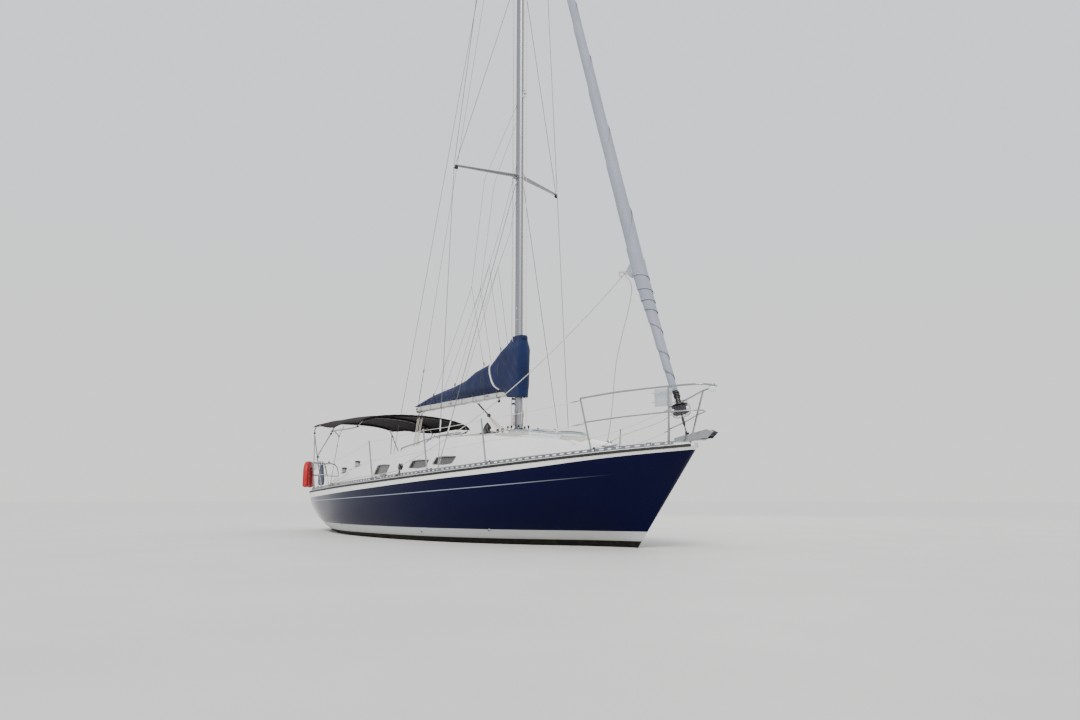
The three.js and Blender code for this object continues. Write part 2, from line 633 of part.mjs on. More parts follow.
// Sail cover along the boom, with a slot that the boom lies in; its front end is round about the pin
const coverRows = [
  { back: 0, top: 850, low: 75, half: 128 },
  { back: 150, top: 730, low: 75, half: 128 },
  { back: 400, top: 560, low: 75, half: 140 },
  { back: 900, top: 490, low: 75, half: 145 },
  { back: 1250, top: 370, low: 75, half: 138 },
  { back: 2000, top: 270, low: 72, half: 118 },
  { back: 2600, top: 195, low: 72, half: 98 },
  { back: 3040, top: 110, low: 72, half: 80 },
];
function coverRing({ back, top, low, half }) {
  const rise = boomPivotZ + back * Math.tan(boomSlope);
  const x = boomPivotX - back;
  const side = [[0.72, 0], [1, 0.4], [0.72, 0.78], [0.25, 1]].map(([out, up]) => (
    point(x, half * out, rise + low + (top - low) * up)));
  return side.concat(side.slice().reverse().map((p) => point(p.x, -p.y, p.z)));
}
const coverBody = loft(coverRows.map(coverRing));
const coverNose = common(
  new THREE.CylinderGeometry(128, 128, 4000, 24).rotateX(Math.PI / 2).translate(boomPivotX, 0, boomPivotZ),
  loft([-1, 1].map((side) => coverRing({ ...coverRows[0], back: side * 140 }))));
const skirt = (side) => {
  const [y0, y1] = side > 0 ? [54, 84] : [-84, -54];
  return boomPlace(block(-2270, -75, y0, y1, 25, 120));
};
add('sail_cover_boom', join(coverBody, coverNose, skirt(1), skirt(-1)), coverBlue, 0.85);
const wrapOuter = (margin, z0, z1) => {
  const outline = [];
  const nose = 10;
  for (let i = 0; i <= nose; i += 1) {
    const angle = -Math.PI / 2 + (i / nose) * Math.PI;
    outline.push([mastX + 20 + (125 + margin) * Math.cos(angle), (128 + margin) * Math.sin(angle)]);
  }
  outline.push([boomPivotX + 142, 118 + margin], [boomPivotX + 142, -118 - margin]);
  return prism(outline, z0, z1);
};
const wrapLow = boomPivotZ + 60; // clear of the lugs
add('sail_cover_mast', cut(wrapOuter(0, wrapLow, 3340), oval(3, 2300, 3500)), coverBlue, 0.85);

// Bow fitting with two cheeks and the roller between them
const bowPlateZ = deckTopZ(4900, 0) + 45;
const cheek = (y) => {
  const outline = [[4780, 0], [5330, 10], [5420, 80], [5330, 120], [4780, 40]];
  const shape = new THREE.Shape(outline.map(([x, up]) => new THREE.Vector2(x, bowPlateZ + up)));
  const geometry = new THREE.ExtrudeGeometry(shape, { depth: 8, bevelEnabled: false });
  return geometry.rotateX(Math.PI / 2).translate(0, y + 4, 0);
};
const bowPlate = block(4700, 5230, -56, 56, bowPlateZ - 10, bowPlateZ + 4);
const { x: stayX, z: stayZ } = forestayFoot;
const stayLug = block(stayX - 40, stayX + 40, -14, 14, bowPlateZ, stayZ - 8);
add('bow_fitting', join(bowPlate, cheek(52), cheek(-52), stayLug), steel, 0.3, 0.95);
const rollerEnds = [-46, 46].map((y) => point(5345, y, bowPlateZ + 60));
add('bow_roller', rod(...rollerEnds, 27, 16), 0x1a1a1c, 0.6);

// Stanchions
const stanchionRows = [-600, 1060, 2300];
stanchionRows.forEach((x, i) => {
  const y = deckHalf(x) - 50;
  const base = point(x, y, deckTopZ(x, y) + 6);
  const post = rod(base, point(x - 20, y + 75, base.z + 655), railTube);
  add(`stanchion_${i + 1}_port`, post, steel, 0.3, 0.95);
  add(`stanchion_${i + 1}_starboard`, mirrored(post), steel, 0.3, 0.95);
});

// Pulpit: legs, a top rail open at the bow and a lower rail
const onDeck = (x, y) => point(x, y, deckTopZ(x, y) + 8);
const roundBow = (points) => {
  const port = points.map(([x, y, z]) => point(x, y, z));
  return port.concat(port.slice(0, -1).reverse().map((p) => point(p.x, -p.y, p.z)));
};
const topRail = [[3860, 850, 1960], [4400, 640, 2010], [4960, 330, 2045], [5330, 150, 2050], [5420, 0, 2040]];
const midRail = [[3892, 822, 1640], [4420, 570, 1690], [4925, 262, 1730], [5200, 90, 1740], [5235, 0, 1740]];
const pulpitLegs = [
  { footX: 3930, top: topRail[0] },
  { footX: 4820, top: topRail[2] },
];
const pulpitTubes = [
  bentTube(roundBow(topRail), railTube, 28),
  bentTube(roundBow(midRail), railTube - 3, 22),
];
for (const { footX, top } of pulpitLegs) {
  const leg = rod(onDeck(footX, deckHalf(footX) - 75), point(...top), railTube);
  pulpitTubes.push(leg, mirrored(leg));
}
add('pulpit', join(...pulpitTubes), steel, 0.3, 0.95);

// Pushpit, one half each side
const pushpitTop = [
  [-3560, 1245, 1300], [-3680, 1235, 1372], [-4300, 1160, 1400], [-4780, 1010, 1410],
  [-4990, 700, 1410], [-5000, 420, 1400], [-4990, 350, 1300],
].map(([x, y, z]) => point(x, y, z));
const pushpitLow = [
  [-3470, 1247, 1130], [-4300, 1155, 1140], [-4770, 1000, 1145], [-4980, 700, 1145], [-4995, 350, 1145],
].map(([x, y, z]) => point(x, y, z));
const pushpitHalf = join(
  bentTube([onDeck(-3330, 1250), ...pushpitTop, onDeck(-4985, 330)], railTube, 32),
  bentTube(pushpitLow, railTube - 3, 16),
  rod(onDeck(-4740, 965), point(-4780, 1010, 1412), railTube));
add('pushpit_port', pushpitHalf, steel, 0.3, 0.95);
add('pushpit_starboard', mirrored(pushpitHalf), steel, 0.3, 0.95);

// Canopy over the cockpit: its sheet's arch by rows, and the hoops that carry it
const canopyRows = [
  { x: -5010, half: 955, edgeZ: 2190, crownZ: 2335 },
  { x: -4400, half: 1040, edgeZ: 2170, crownZ: 2370 },
  { x: -3450, half: 1180, edgeZ: 2050, crownZ: 2360 },
  { x: -2750, half: 1220, edgeZ: 2095, crownZ: 2325 },
  { x: -2090, half: 1250, edgeZ: 2045, crownZ: 2278 },
];
const sheetThickness = 6;
const archParts = [1, 0.985, 0.95, 0.89, 0.8, 0.69, 0.56, 0.42, 0.28, 0.14, 0];
function archPoints({ x, half, edgeZ, crownZ }, inset) {
  const side = archParts.map((part) => point(x, part * (half - inset),
    edgeZ + (crownZ - inset - edgeZ) * (1 - part ** 2.1) ** 0.55));
  return side.concat(side.slice(0, -1).reverse().map((p) => point(p.x, -p.y, p.z)));
}
const canopyAt = (x) => {
  const row = { x };
  for (const column of ['half', 'edgeZ', 'crownZ']) row[column] = tableValue(canopyRows, 'x', column, x);
  return row;
};
const canopyAft = canopyRows[0].x;
const canopyReach = canopyRows[canopyRows.length - 1].x - canopyAft;
const canopySections = 18;
const canopyRings = [];
for (let i = 0; i <= canopySections; i += 1) {
  const row = canopyAt(canopyAft + (i / canopySections) * canopyReach);
  canopyRings.push(archPoints(row, 0).concat(archPoints(row, sheetThickness).reverse()));
}
const canopy = loft(canopyRings);
const hoopInset = sheetThickness + railTube + 12;
const archAt = (row) => archPoints(row, hoopInset);
const backstaySlot = rod(backstayFoot, backstayHead, wire + 10);
add('bimini_canopy', cut(canopy, backstaySlot), canopyBrown, 0.9);
const hoopKnee = point(-4560, 992, 1530);
const hoopFoot = onDeck(-4100, 1075);
function hoop(row, legs) {
  const arch = archAt(row);
  const left = legs.map((p) => p.clone());
  const right = legs.map((p) => point(p.x, -p.y, p.z)).reverse();
  return bentTube([...left, ...arch, ...right], railTube, 40);
}
const aftRow = { ...canopyRows[0], x: canopyRows[0].x + 30 };
const aftStrutTop = point(-4960, 932, 2125);
const aftStrutFoot = onDeck(-4955, 905);
const aftStrut = rod(aftStrutFoot, aftStrutTop, railTube - 2);
add('bimini_aft_hoop', join(hoop(aftRow, [hoopFoot, point(-4925, 945, 2060)]), aftStrut, mirrored(aftStrut)),
  steel, 0.3, 0.95);
const middleLegs = [hoopKnee.clone().add(point(12, 30, 0)), point(-3560, 1150, 1960)];
add('bimini_middle_hoop', hoop(canopyRows[2], middleLegs), steel, 0.3, 0.95);
const frontRow = { ...canopyRows[4], x: canopyRows[4].x - 30 };
const frontLegs = [point(-3420, 1185, 1995), point(-2190, 1206, 2005)];
add('bimini_front_hoop', hoop(frontRow, frontLegs), steel, 0.3, 0.95);

// Winches on flat pads on the coamings
const winchProfile = [
  [0, 0], [66, 0], [66, 14], [46, 24], [40, 62], [50, 98], [54, 104], [54, 116], [30, 124], [0, 124],
];
for (const { name, x } of winchRows) {
  const winch = new THREE.LatheGeometry(winchProfile.map(([r, up]) => new THREE.Vector2(r, up)), 16);
  winch.rotateX(Math.PI / 2).translate(x, winchY, winchZ(x));
  add(`${name}_port`, winch, steel, 0.25, 0.95);
  add(`${name}_starboard`, mirrored(winch), steel, 0.25, 0.95);
}

// Horseshoe buoy outside the starboard corner of the pushpit, facing the quarter
const buoyShape = new THREE.Shape();
buoyShape.moveTo(-230, -290);
buoyShape.absarc(0, 60, 230, Math.PI, 0, true);
buoyShape.lineTo(230, -290);
buoyShape.lineTo(85, -290);
buoyShape.lineTo(85, 40);
buoyShape.absarc(0, 40, 85, 0, Math.PI, false);
buoyShape.lineTo(-85, -290);
const buoy = new THREE.ExtrudeGeometry(buoyShape, { depth: 120, bevelEnabled: false, curveSegments: 10 });
buoy.translate(0, 0, -60).rotateX(Math.PI / 2).rotateZ(-0.66).translate(-5010, -1010, 1175);
add('horseshoe_buoy', buoy, 0xc01f2b, 0.6);

export default group;
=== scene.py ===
import math

import bmesh
import bpy
import numpy as np
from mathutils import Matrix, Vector, noise
from mathutils.bvhtree import BVHTree


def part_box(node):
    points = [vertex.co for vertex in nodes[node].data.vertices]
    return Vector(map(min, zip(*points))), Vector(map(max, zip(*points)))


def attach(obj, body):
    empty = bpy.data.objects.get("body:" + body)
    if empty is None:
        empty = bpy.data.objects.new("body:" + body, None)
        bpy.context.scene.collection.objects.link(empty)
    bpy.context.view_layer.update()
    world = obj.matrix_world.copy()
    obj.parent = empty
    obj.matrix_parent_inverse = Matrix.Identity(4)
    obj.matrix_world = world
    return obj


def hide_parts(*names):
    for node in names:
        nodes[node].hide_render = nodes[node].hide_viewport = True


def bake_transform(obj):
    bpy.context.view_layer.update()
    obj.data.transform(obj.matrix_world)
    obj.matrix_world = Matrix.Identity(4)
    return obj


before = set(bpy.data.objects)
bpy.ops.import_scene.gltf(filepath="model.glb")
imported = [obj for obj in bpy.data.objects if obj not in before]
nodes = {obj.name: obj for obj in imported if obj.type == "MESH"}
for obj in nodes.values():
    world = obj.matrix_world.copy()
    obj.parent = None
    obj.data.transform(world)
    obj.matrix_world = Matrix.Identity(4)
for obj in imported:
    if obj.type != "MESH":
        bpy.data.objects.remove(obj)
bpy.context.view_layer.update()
print("frame loaded:", len(nodes), "nodes")

upward = (0, 0, 1)
sides = ("port", "starboard")
bothSides = ((1, "port"), (-1, "starboard"))
weldDistance = 0.00005  # corners nearer than this are one
mastX = 1.314
boomLine = ((-2.05, 2.387), (1.07, 2.41))  # height of the boom's middle along the boat


# making meshes

def tone(red, green, blue):
    # screen colour 0-255 to the linear colour that the shaders use
    def linear(value):
        part = value / 255
        return part / 12.92 if part <= 0.04045 else ((part + 0.055) / 1.055) ** 2.4
    return (linear(red), linear(green), linear(blue), 1.0)


def between(a, b, part):
    return a + (b - a) * part


def smooth(low, high, value):
    part = min(1.0, max(0.0, (value - low) / (high - low)))
    return part * part * (3 - 2 * part)


def along(table, at):
    # value of a table of (place, value) pairs at one place
    places, values = zip(*table)
    return float(np.interp(at, places, values))


def upBy(height):
    return Vector((0, 0, height))


def circle(count):
    # evenly spread angles of one full turn
    return np.linspace(0, 2 * math.pi, count + 1)[:-1]


def thicken(piece, thick, offset=-1):
    layer = piece.modifiers.new("thick", "SOLIDIFY")
    layer.thickness, layer.offset = thick, offset


def curveThrough(points, count, tension=0.5):
    # evenly stepped points on a smooth curve through the given ones
    knots = [Vector(p) for p in points]
    path = []
    for i in range(len(knots) - 1):
        before, a, b, after = knots[max(i - 1, 0)], knots[i], knots[i + 1], knots[min(i + 2,
                len(knots) - 1)]
        for step in range(12):
            t = step / 12
            pull, push = (b - before) * tension, (after - a) * tension
            path.append((2 * t**3 - 3 * t**2 + 1) * a + (t**3 - 2 * t**2 + t) * pull
                        + (3 * t**2 - 2 * t**3) * b + (t**3 - t**2) * push)
    path.append(knots[-1])
    lengths = np.concatenate([[0], np.cumsum([(q - p).length for p, q in zip(path, path[1:])])])
    wanted = np.linspace(0, lengths[-1], count)
    return [Vector([float(np.interp(w, lengths, [p[k] for p in path])) for k in range(3)]) for w in wanted]


def hanging(start, end, sag, count=17):
    # a line between two points that hangs down by sag in its middle
    start, end = Vector(start), Vector(end)
    return [start.lerp(end, i / (count - 1))
            - Vector((0, 0, 4 * sag * (i / (count - 1)) * (1 - i / (count - 1))))
            for i in range(count)]


class Shape:
    # gathers closed parts of one piece, each with its material and its measured surface places
    def __init__(self):
        self.points, self.faces, self.places, self.slots, self.slot = [], [], [], [], 0

    def use(self, slot):
        self.slot = slot
        return self

    def put(self, points, faces, places=None):
        first = len(self.points)
        self.points += [Vector(p) for p in points]
        for number, face in enumerate(faces):
            self.faces.append([first + k for k in face])
            self.places.append(places[number] if places else [(0, 0)] * len(face))
            self.slots.append(self.slot)
        return self

    def rings(self, rings, caps=True, loop=False):
        # skin over rings of points; places are metres along and metres round
        count = len(rings[0])
        run = [0.0]
        for a, b in zip(rings, rings[1:]):
            run.append(run[-1] + (Vector(b[0]) - Vector(a[0])).length)
        middle = rings[len(rings) // 2]
        girth = [0.0]
        for k in range(count):
            girth.append(girth[-1] + (Vector(middle[(k + 1) % count]) - Vector(middle[k])).length)
        faces, places = [], []
        spans = len(rings) if loop else len(rings) - 1
        for i in range(spans):
            j = (i + 1) % len(rings)
            far = run[j] if j else run[-1] + 0.01
            for k in range(count):
                m = (k + 1) % count
                faces.append([i * count + k, i * count + m, j * count + m, j * count + k])
                places.append([(run[i], girth[k]), (run[i], girth[k + 1]), (far, girth[k + 1]),
                               (far, girth[k])])
        if caps and not loop:
            faces += [list(range(count))[::-1], [(len(rings) - 1) * count + k for k in range(count)]]
            places += [[(0, 0)] * count] * 2
        return self.put([p for ring in rings for p in ring], faces, places)

    def tube(self, path, radius, sides=8, loop=False):
        path = [Vector(p) for p in path]
        last = len(path) - 1
        radii = radius if isinstance(radius, (list, tuple)) else [radius] * len(path)
        if loop:
            heads = [(path[(i + 1) % len(path)] - path[i - 1]).normalized() for i in range(len(path))]
        else:
            heads = [(path[min(i + 1, last)] - path[max(i - 1, 0)]).normalized() for i in range(len(path))]
        side = heads[0].orthogonal().normalized()
        if abs(heads[0].z) < 0.9:
            side = heads[0].cross(upBy(1)).normalized()
        rings = []
        for place, head, size in zip(path, heads, radii):
            side = (side - head * side.dot(head)).normalized()
            up = side.cross(head)
            rings.append([place + side * size * math.cos(a) + up * size * math.sin(a)
                          for a in [2 * math.pi * k / sides for k in range(sides)]])
        return self.rings(rings, loop=loop)

    def turned(self, foot, axis, profile, sides=16, squash=1.0, across=None):
        # a turned part: profile is (distance along the axis, radius)
        foot, axis = Vector(foot), Vector(axis).normalized()
        side = Vector(across).normalized() if across else axis.orthogonal().normalized()
        up = axis.cross(side)
        rings = [[foot + axis * run + side * r * math.cos(a) + up * r * squash * math.sin(a)
                  for a in [2 * math.pi * k / sides for k in range(sides)]] for run, r in profile]
        return self.rings(rings)

    def block(self, centre, size, ahead=(1, 0, 0), up=upward, soften=0.15, taper=1.0):
        # a block with its edges rounded off in two steps
        ahead = Vector(ahead).normalized()
        side = Vector(up).cross(ahead).normalized()
        up = ahead.cross(side)
        half = [s / 2 for s in size]
        edge = min(half) * soften * 2
        rings = []
        for level, pull, drawn in ((-1, 1, 0), (-1, 0.3, 0.3), (-1, 0, 1), (1, 0, 1), (1, 0.3, 0.3),
                                   (1, 1, 0)):
            height = level * (half[2] - edge * drawn)
            inset = edge * pull
            shrink = taper if level > 0 else 1.0
            x, y = half[0] * shrink - inset, half[1] * shrink - inset
            corner = max(edge - inset * 0.5, 0.0002)
            ring = []
            for sx, sy, start in ((1, 1, 0), (-1, 1, 90), (-1, -1, 180), (1, -1, 270)):
                for step in range(4):
                    a = math.radians(start + step * 30)
                    ring.append(Vector(centre) + ahead * (sx * (x - corner) + corner * math.cos(a))
                                + side * (sy * (y - corner) + corner * math.sin(a)) + up * height)
            rings.append(ring)
        return self.rings(rings)

    def sheet(self, rows, places=None):
        # an open surface over rows of points
        wide = len(rows[0])
        faces, marks = [], []
        for i in range(len(rows) - 1):
            for k in range(wide - 1):
                corners = [i * wide + k, i * wide + k + 1, (i + 1) * wide + k + 1, (i + 1) * wide + k]
                faces.append(corners)
                marks.append([places[c // wide][c % wide] for c in corners] if places else [(0, 0)] * 4)
        return self.put([p for row in rows for p in row], faces, marks)

    def strip(self, path, width, thick, ups):
        # a flat band along a path, its face turned to ups
        path = [Vector(p) for p in path]
        rings = []
        for i, place in enumerate(path):
            head = (path[min(i + 1, len(path) - 1)] - path[max(i - 1, 0)]).normalized()
            up = Vector(ups[i] if isinstance(ups, list) else ups)
            up = (up - head * up.dot(head)).normalized()
            side = head.cross(up)
            w, t = width / 2, thick / 2
            rings.append([place + side * a + up * b for a, b in
                          ((w, t * 0.3), (w * 0.9, t), (-w * 0.9, t), (-w, t * 0.3), (-w, -t * 0.3),
                           (-w * 0.9, -t), (w * 0.9, -t), (w, -t * 0.3))])
        return self.rings(rings)

    def piece(self, name, looks, body="hull", sharp=40, weld=False):
        mesh = bpy.data.meshes.new(name)
        mesh.from_pydata([tuple(p) for p in self.points], [], self.faces)
        layer = mesh.uv_layers.new(name="UVMap")
        flat = [xy for place in self.places for xy in place]
        layer.data.foreach_set("uv", np.array(flat, float).ravel())
        for look in looks.split():
            mesh.materials.append(finish[look])
        mesh.polygons.foreach_set("material_index", self.slots)
        if weld:
            made = bmesh.new()
            made.from_mesh(mesh)
            bmesh.ops.remove_doubles(made, verts=made.verts, dist=weldDistance)
            made.to_mesh(mesh)
            made.free()
        mesh.polygons.foreach_set("use_smooth", [True] * len(mesh.polygons))
        mesh.set_sharp_from_angle(angle=math.radians(sharp))
        mesh.validate()
        made = bpy.data.objects.new(name, mesh)
        bpy.context.scene.collection.objects.link(made)
        if body:
            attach(made, body)
        return made


def treeOf(*names):
    points, faces = [], []
    for name in names:
        mesh = nodes[name].data
        first = len(points)
        points += [v.co.copy() for v in mesh.vertices]
        faces += [[first + k for k in p.vertices] for p in mesh.polygons]
    return BVHTree.FromPolygons(points, faces)


topTree = treeOf("deck", "deck_aft", "coachroof", "hull", "coaming_port", "coaming_starboard",
                 "companion_hatch",
                 "fore_hatch")
hullTree = treeOf("hull")
roofTree = treeOf("coachroof")
deckTree = treeOf("deck", "deck_aft")


def drop(x, y, tree=topTree, fromZ=4.0):
    hit = tree.ray_cast(Vector((x, y, fromZ)), upBy(-1))
    return (hit[0], hit[1]) if hit[0] else (Vector((x, y, 0)), upBy(1))


def onTop(x, y, lift=0.0, tree=topTree):
    return drop(x, y, tree)[0] + upBy(lift)


def onRoof(x, y, lift=0.0):
    return onTop(x, y, lift, roofTree)


def onDeck(x, y, lift=0.0):
    return onTop(x, y, lift, deckTree)


def onSide(x, z, side, tree=hullTree):
    # where the level line at x and z meets the outer skin, and which way the skin faces there
    hit = tree.ray_cast(Vector((x, side * 4.0, z)), Vector((0, -side, 0)))
    return (hit[0], hit[1]) if hit[0] else (Vector((x, 0, z)), Vector((0, side, 0)))


# finishes

class Finish:
    # builds one material from nodes; a number is set on the socket, a node's output is linked to it
    def __init__(self, name, **shader):
        self.material = bpy.data.materials.new(name)
        self.material.use_nodes = True
        self.tree = self.material.node_tree
        self.shader = self.tree.nodes["Principled BSDF"]
        self.coords = self.tree.nodes.new("ShaderNodeTexCoord")
        self.set(**shader)

    def plug(self, socket, value):
        if isinstance(value, bpy.types.NodeSocket):
            self.tree.links.new(value, socket)
        elif value is not None:
            socket.default_value = value

    def set(self, **shader):
        names = {"color": "Base Color", "rough": "Roughness", "metal": "Metallic",
                 "gloss": "Specular IOR Level",
                 "coat": "Coat Weight", "coatRough": "Coat Roughness", "sheen": "Sheen Weight",
                 "sheenRough": "Sheen Roughness", "clear": "Transmission Weight", "ior": "IOR",
                 "normal": "Normal"}
        for key, value in shader.items():
            self.plug(self.shader.inputs[names[key]], value)
        return self

    def place(self, kind="Object", stretch=None):
        if not stretch:
            return self.coords.outputs[kind]
        made = self.tree.nodes.new("ShaderNodeMapping")
        self.plug(made.inputs["Vector"], self.coords.outputs[kind])
        made.inputs["Scale"].default_value = stretch
        return made.outputs["Vector"]

    def axes(self, kind="Object"):
        made = self.tree.nodes.new("ShaderNodeSeparateXYZ")
        self.plug(made.inputs[0], self.coords.outputs[kind])
        return made.outputs[0], made.outputs[1], made.outputs[2]

    def math(self, operation, *values):
        made = self.tree.nodes.new("ShaderNodeMath")
        made.operation = operation
        for socket, value in zip(made.inputs, values):
            self.plug(socket, value)
        return made.outputs[0]

    def sum(self, *values):
        total = values[0]
        for value in values[1:]:
            total = self.math("ADD", total, value)
        return total

    def times(self, a, b):
        return self.math("MULTIPLY", a, b)

    def noise(self, scale, detail=3.0, rough=0.55, stretch=None, kind="Object", bend=0.0):
        made = self.tree.nodes.new("ShaderNodeTexNoise")
        self.plug(made.inputs["Vector"], self.place(kind, stretch))
        made.inputs["Scale"].default_value = scale
        made.inputs["Detail"].default_value = detail
        made.inputs["Roughness"].default_value = rough
        made.inputs["Distortion"].default_value = bend
        return made.outputs[0]

    def cells(self, scale, feature="F1", stretch=None, kind="Object"):
        made = self.tree.nodes.new("ShaderNodeTexVoronoi")
        made.feature = feature
        self.plug(made.inputs["Vector"], self.place(kind, stretch))
        made.inputs["Scale"].default_value = scale
        return made.outputs["Distance"]

    def step(self, value, low, high, out=(0.0, 1.0)):
        made = self.tree.nodes.new("ShaderNodeMapRange")
        made.interpolation_type = "SMOOTHSTEP"
        for key, item in (("Value", value), ("From Min", low), ("From Max", high),
                          ("To Min", out[0]), ("To Max", out[1])):
            self.plug(made.inputs[key], item)
        return made.outputs[0]

    def mix(self, part, a, b):
        made = self.tree.nodes.new("ShaderNodeMix")
        made.data_type = "RGBA"
        self.plug(made.inputs[0], part)
        self.plug(made.inputs[6], a)
        self.plug(made.inputs[7], b)
        return made.outputs[2]

    def bump(self, height, depth, strength=1.0, over=None):
        made = self.tree.nodes.new("ShaderNodeBump")
        made.inputs["Strength"].default_value = strength
        made.inputs["Distance"].default_value = depth
        self.plug(made.inputs["Height"], height)
        self.plug(made.inputs["Normal"], over)
        return made.outputs[0]

    def threads(self, across, down, kind="UV"):
        # over-and-under weave, thread pitch in metres
        u, v, _ = self.axes(kind)
        a = self.math("SINE", self.times(u, 2 * math.pi / across))
        b = self.math("SINE", self.times(v, 2 * math.pi / down))
        return self.math("ADD", self.times(self.times(a, b), 0.5), 0.5)


def gelcoat(name, color, rough=0.28, fade=0.06, **more):
    # moulded gelcoat: faint orange peel, chalky patches and a little dirt in streaks
    made = Finish(name, rough=rough, coat=0.25, coatRough=0.2, **more)
    patches = made.step(made.noise(1.3, 4), 0.35, 0.7)
    grime = made.step(made.noise(9, 5, 0.65, (1, 1, 0.35)), 0.52, 0.78)
    worn = tuple(c * (1 - fade) for c in color[:3]) + (1,)
    dirty = tuple(c * f for c, f in zip(color[:3], (0.86, 0.84, 0.8))) + (1,)
    shade = made.mix(made.times(grime, 0.35), made.mix(patches, color, worn), dirty)
    peel = made.bump(made.noise(420, 2, 0.4), 0.00025, 0.5)
    made.set(color=shade, rough=made.step(made.noise(5, 4), 0.3, 0.75, (rough, rough + 0.16)),
             normal=made.bump(made.noise(2.2, 2), 0.002, 0.4, peel))
    return made.material


def metal(name, color, rough=0.3, grain=(60, 60, 2), wear=0.12, tint=(0.75, 0.72, 0.66)):
    # drawn or extruded metal: fine grain along its length, dull patches and water marks
    made = Finish(name, metal=1.0)
    lines = made.noise(30, 4, 0.6, grain)
    marks = made.step(made.noise(7, 5, 0.7), 0.5, 0.74)
    dull = tuple(c * t for c, t in zip(color[:3], tint)) + (1,)
    made.set(color=made.mix(made.times(marks, 0.55), color, dull),
             rough=made.sum(made.step(lines, 0.3, 0.7, (rough, rough + wear)), made.times(marks, 0.12)),
             normal=made.bump(lines, 0.0003, 0.35))
    return made.material


def cloth(name, color, light, pitch=0.0011, rough=0.85, sheen=0.35, fade=None):
    # woven cloth: threads, a slubby colour change and sun-faded patches
    made = Finish(name, rough=rough, sheen=sheen, sheenRough=0.5, gloss=0.25)
    weave = made.threads(pitch, pitch)
    slub = made.noise(160, 3, 0.6, (1, 8, 1), "UV")
    patches = made.step(made.noise(1.7, 4), 0.38, 0.72)
    base = made.mix(made.times(slub, 0.5), color, light)
    shade = made.mix(made.times(patches, 0.45), base, fade or light)
    stain = made.step(made.noise(14, 5, 0.7, (1, 1, 0.3)), 0.56, 0.8)
    dark = tuple(c * 0.7 for c in color[:3]) + (1,)
    made.set(color=made.mix(made.times(stain, 0.3), shade, dark),
             rough=made.step(slub, 0.3, 0.7, (rough - 0.08, rough + 0.06)),
             normal=made.bump(made.sum(weave, made.times(slub, 0.8)), 0.00045, 0.6))
    return made.material


def rope(name, color, fleck, rough=0.75, pitch=0.012):
    # braided rope: two sets of strands that cross, with flecks of a second yarn
    made = Finish(name, rough=rough, sheen=0.2, sheenRough=0.6)
    u, v, _ = made.axes("UV")
    one = made.math("SINE", made.times(made.sum(u, made.times(v, 1.2)), 2 * math.pi / pitch))
    two = made.math("SINE", made.times(made.math("SUBTRACT", u, made.times(v, 1.2)), 2 * math.pi / pitch))
    braid = made.math("MAXIMUM", one, two)
    flecks = made.step(made.math("MULTIPLY", one, two), 0.35, 0.7)
    grime = made.step(made.noise(11, 4, 0.7), 0.48, 0.75)
    dark = tuple(c * 0.72 for c in color[:3]) + (1,)
    made.set(color=made.mix(made.times(grime, 0.5), made.mix(flecks, color, fleck), dark),
             rough=made.step(braid, 0.0, 1.0, (rough + 0.1, rough - 0.05)),
             normal=made.bump(braid, 0.0009, 0.8))
    return made.material


def wire(name):
    # seven-strand stainless wire
    made = Finish(name, metal=1.0, gloss=0.5)
    x, y, z = made.axes()
    lay = made.math("SINE", made.times(made.sum(z, x, y), 2 * math.pi / 0.022))
    made.set(color=made.mix(made.step(made.noise(6, 4), 0.45, 0.7), tone(116, 118, 120), tone(88, 84, 78)),
             rough=made.step(lay, -1, 1, (0.42, 0.28)), normal=made.bump(lay, 0.0006, 0.8))
    return made.material


def plastic(name, color, rough=0.4, grain=300):
    made = Finish(name, gloss=0.45)
    scuff = made.step(made.noise(26, 5, 0.7), 0.5, 0.75)
    pale = tuple(between(c, 0.5, 0.12) for c in color[:3]) + (1,)
    made.set(color=made.mix(made.times(scuff, 0.5), color, pale),
             rough=made.sum(rough, made.times(scuff, 0.2)),
             normal=made.bump(made.noise(grain, 2), 0.0003, 0.5))
    return made.material


def wood(name, dark, light, varnish=0.5, rough=0.35):
    made = Finish(name, coat=varnish, coatRough=0.12)
    rings = made.noise(26, 5, 0.62, (1, 9, 9), bend=0.6)
    pores = made.noise(240, 3, 0.6, (0.12, 1, 1))
    shade = made.mix(made.step(rings, 0.35, 0.68), dark, light)
    made.set(color=made.mix(made.times(made.step(pores, 0.55, 0.7), 0.4), shade, dark),
             rough=made.step(pores, 0.35, 0.7, (rough, rough + 0.18)),
             normal=made.bump(made.sum(rings, pores), 0.0005, 0.4))
    return made.material


def nonSkid(name, color):
    # moulded diamond pattern of the deck's pads
    made = Finish(name, rough=0.62)
    x, y, _ = made.axes()
    a = made.math("SINE", made.times(made.sum(x, y), 2 * math.pi / 0.011))
    b = made.math("SINE", made.times(made.math("SUBTRACT", x, y), 2 * math.pi / 0.011))
    studs = made.step(made.times(a, b), 0.1, 0.5)
    grime = made.step(made.noise(4, 5, 0.7), 0.45, 0.75)
    dirty = tuple(c * f for c, f in zip(color[:3], (0.8, 0.77, 0.7))) + (1,)
    made.set(color=made.mix(made.times(grime, 0.5), made.mix(made.times(studs, 0.5), dirty, color), dirty),
             normal=made.bump(studs, 0.0007, 0.8), rough=made.step(grime, 0, 1, (0.55, 0.75)))
    return made.material


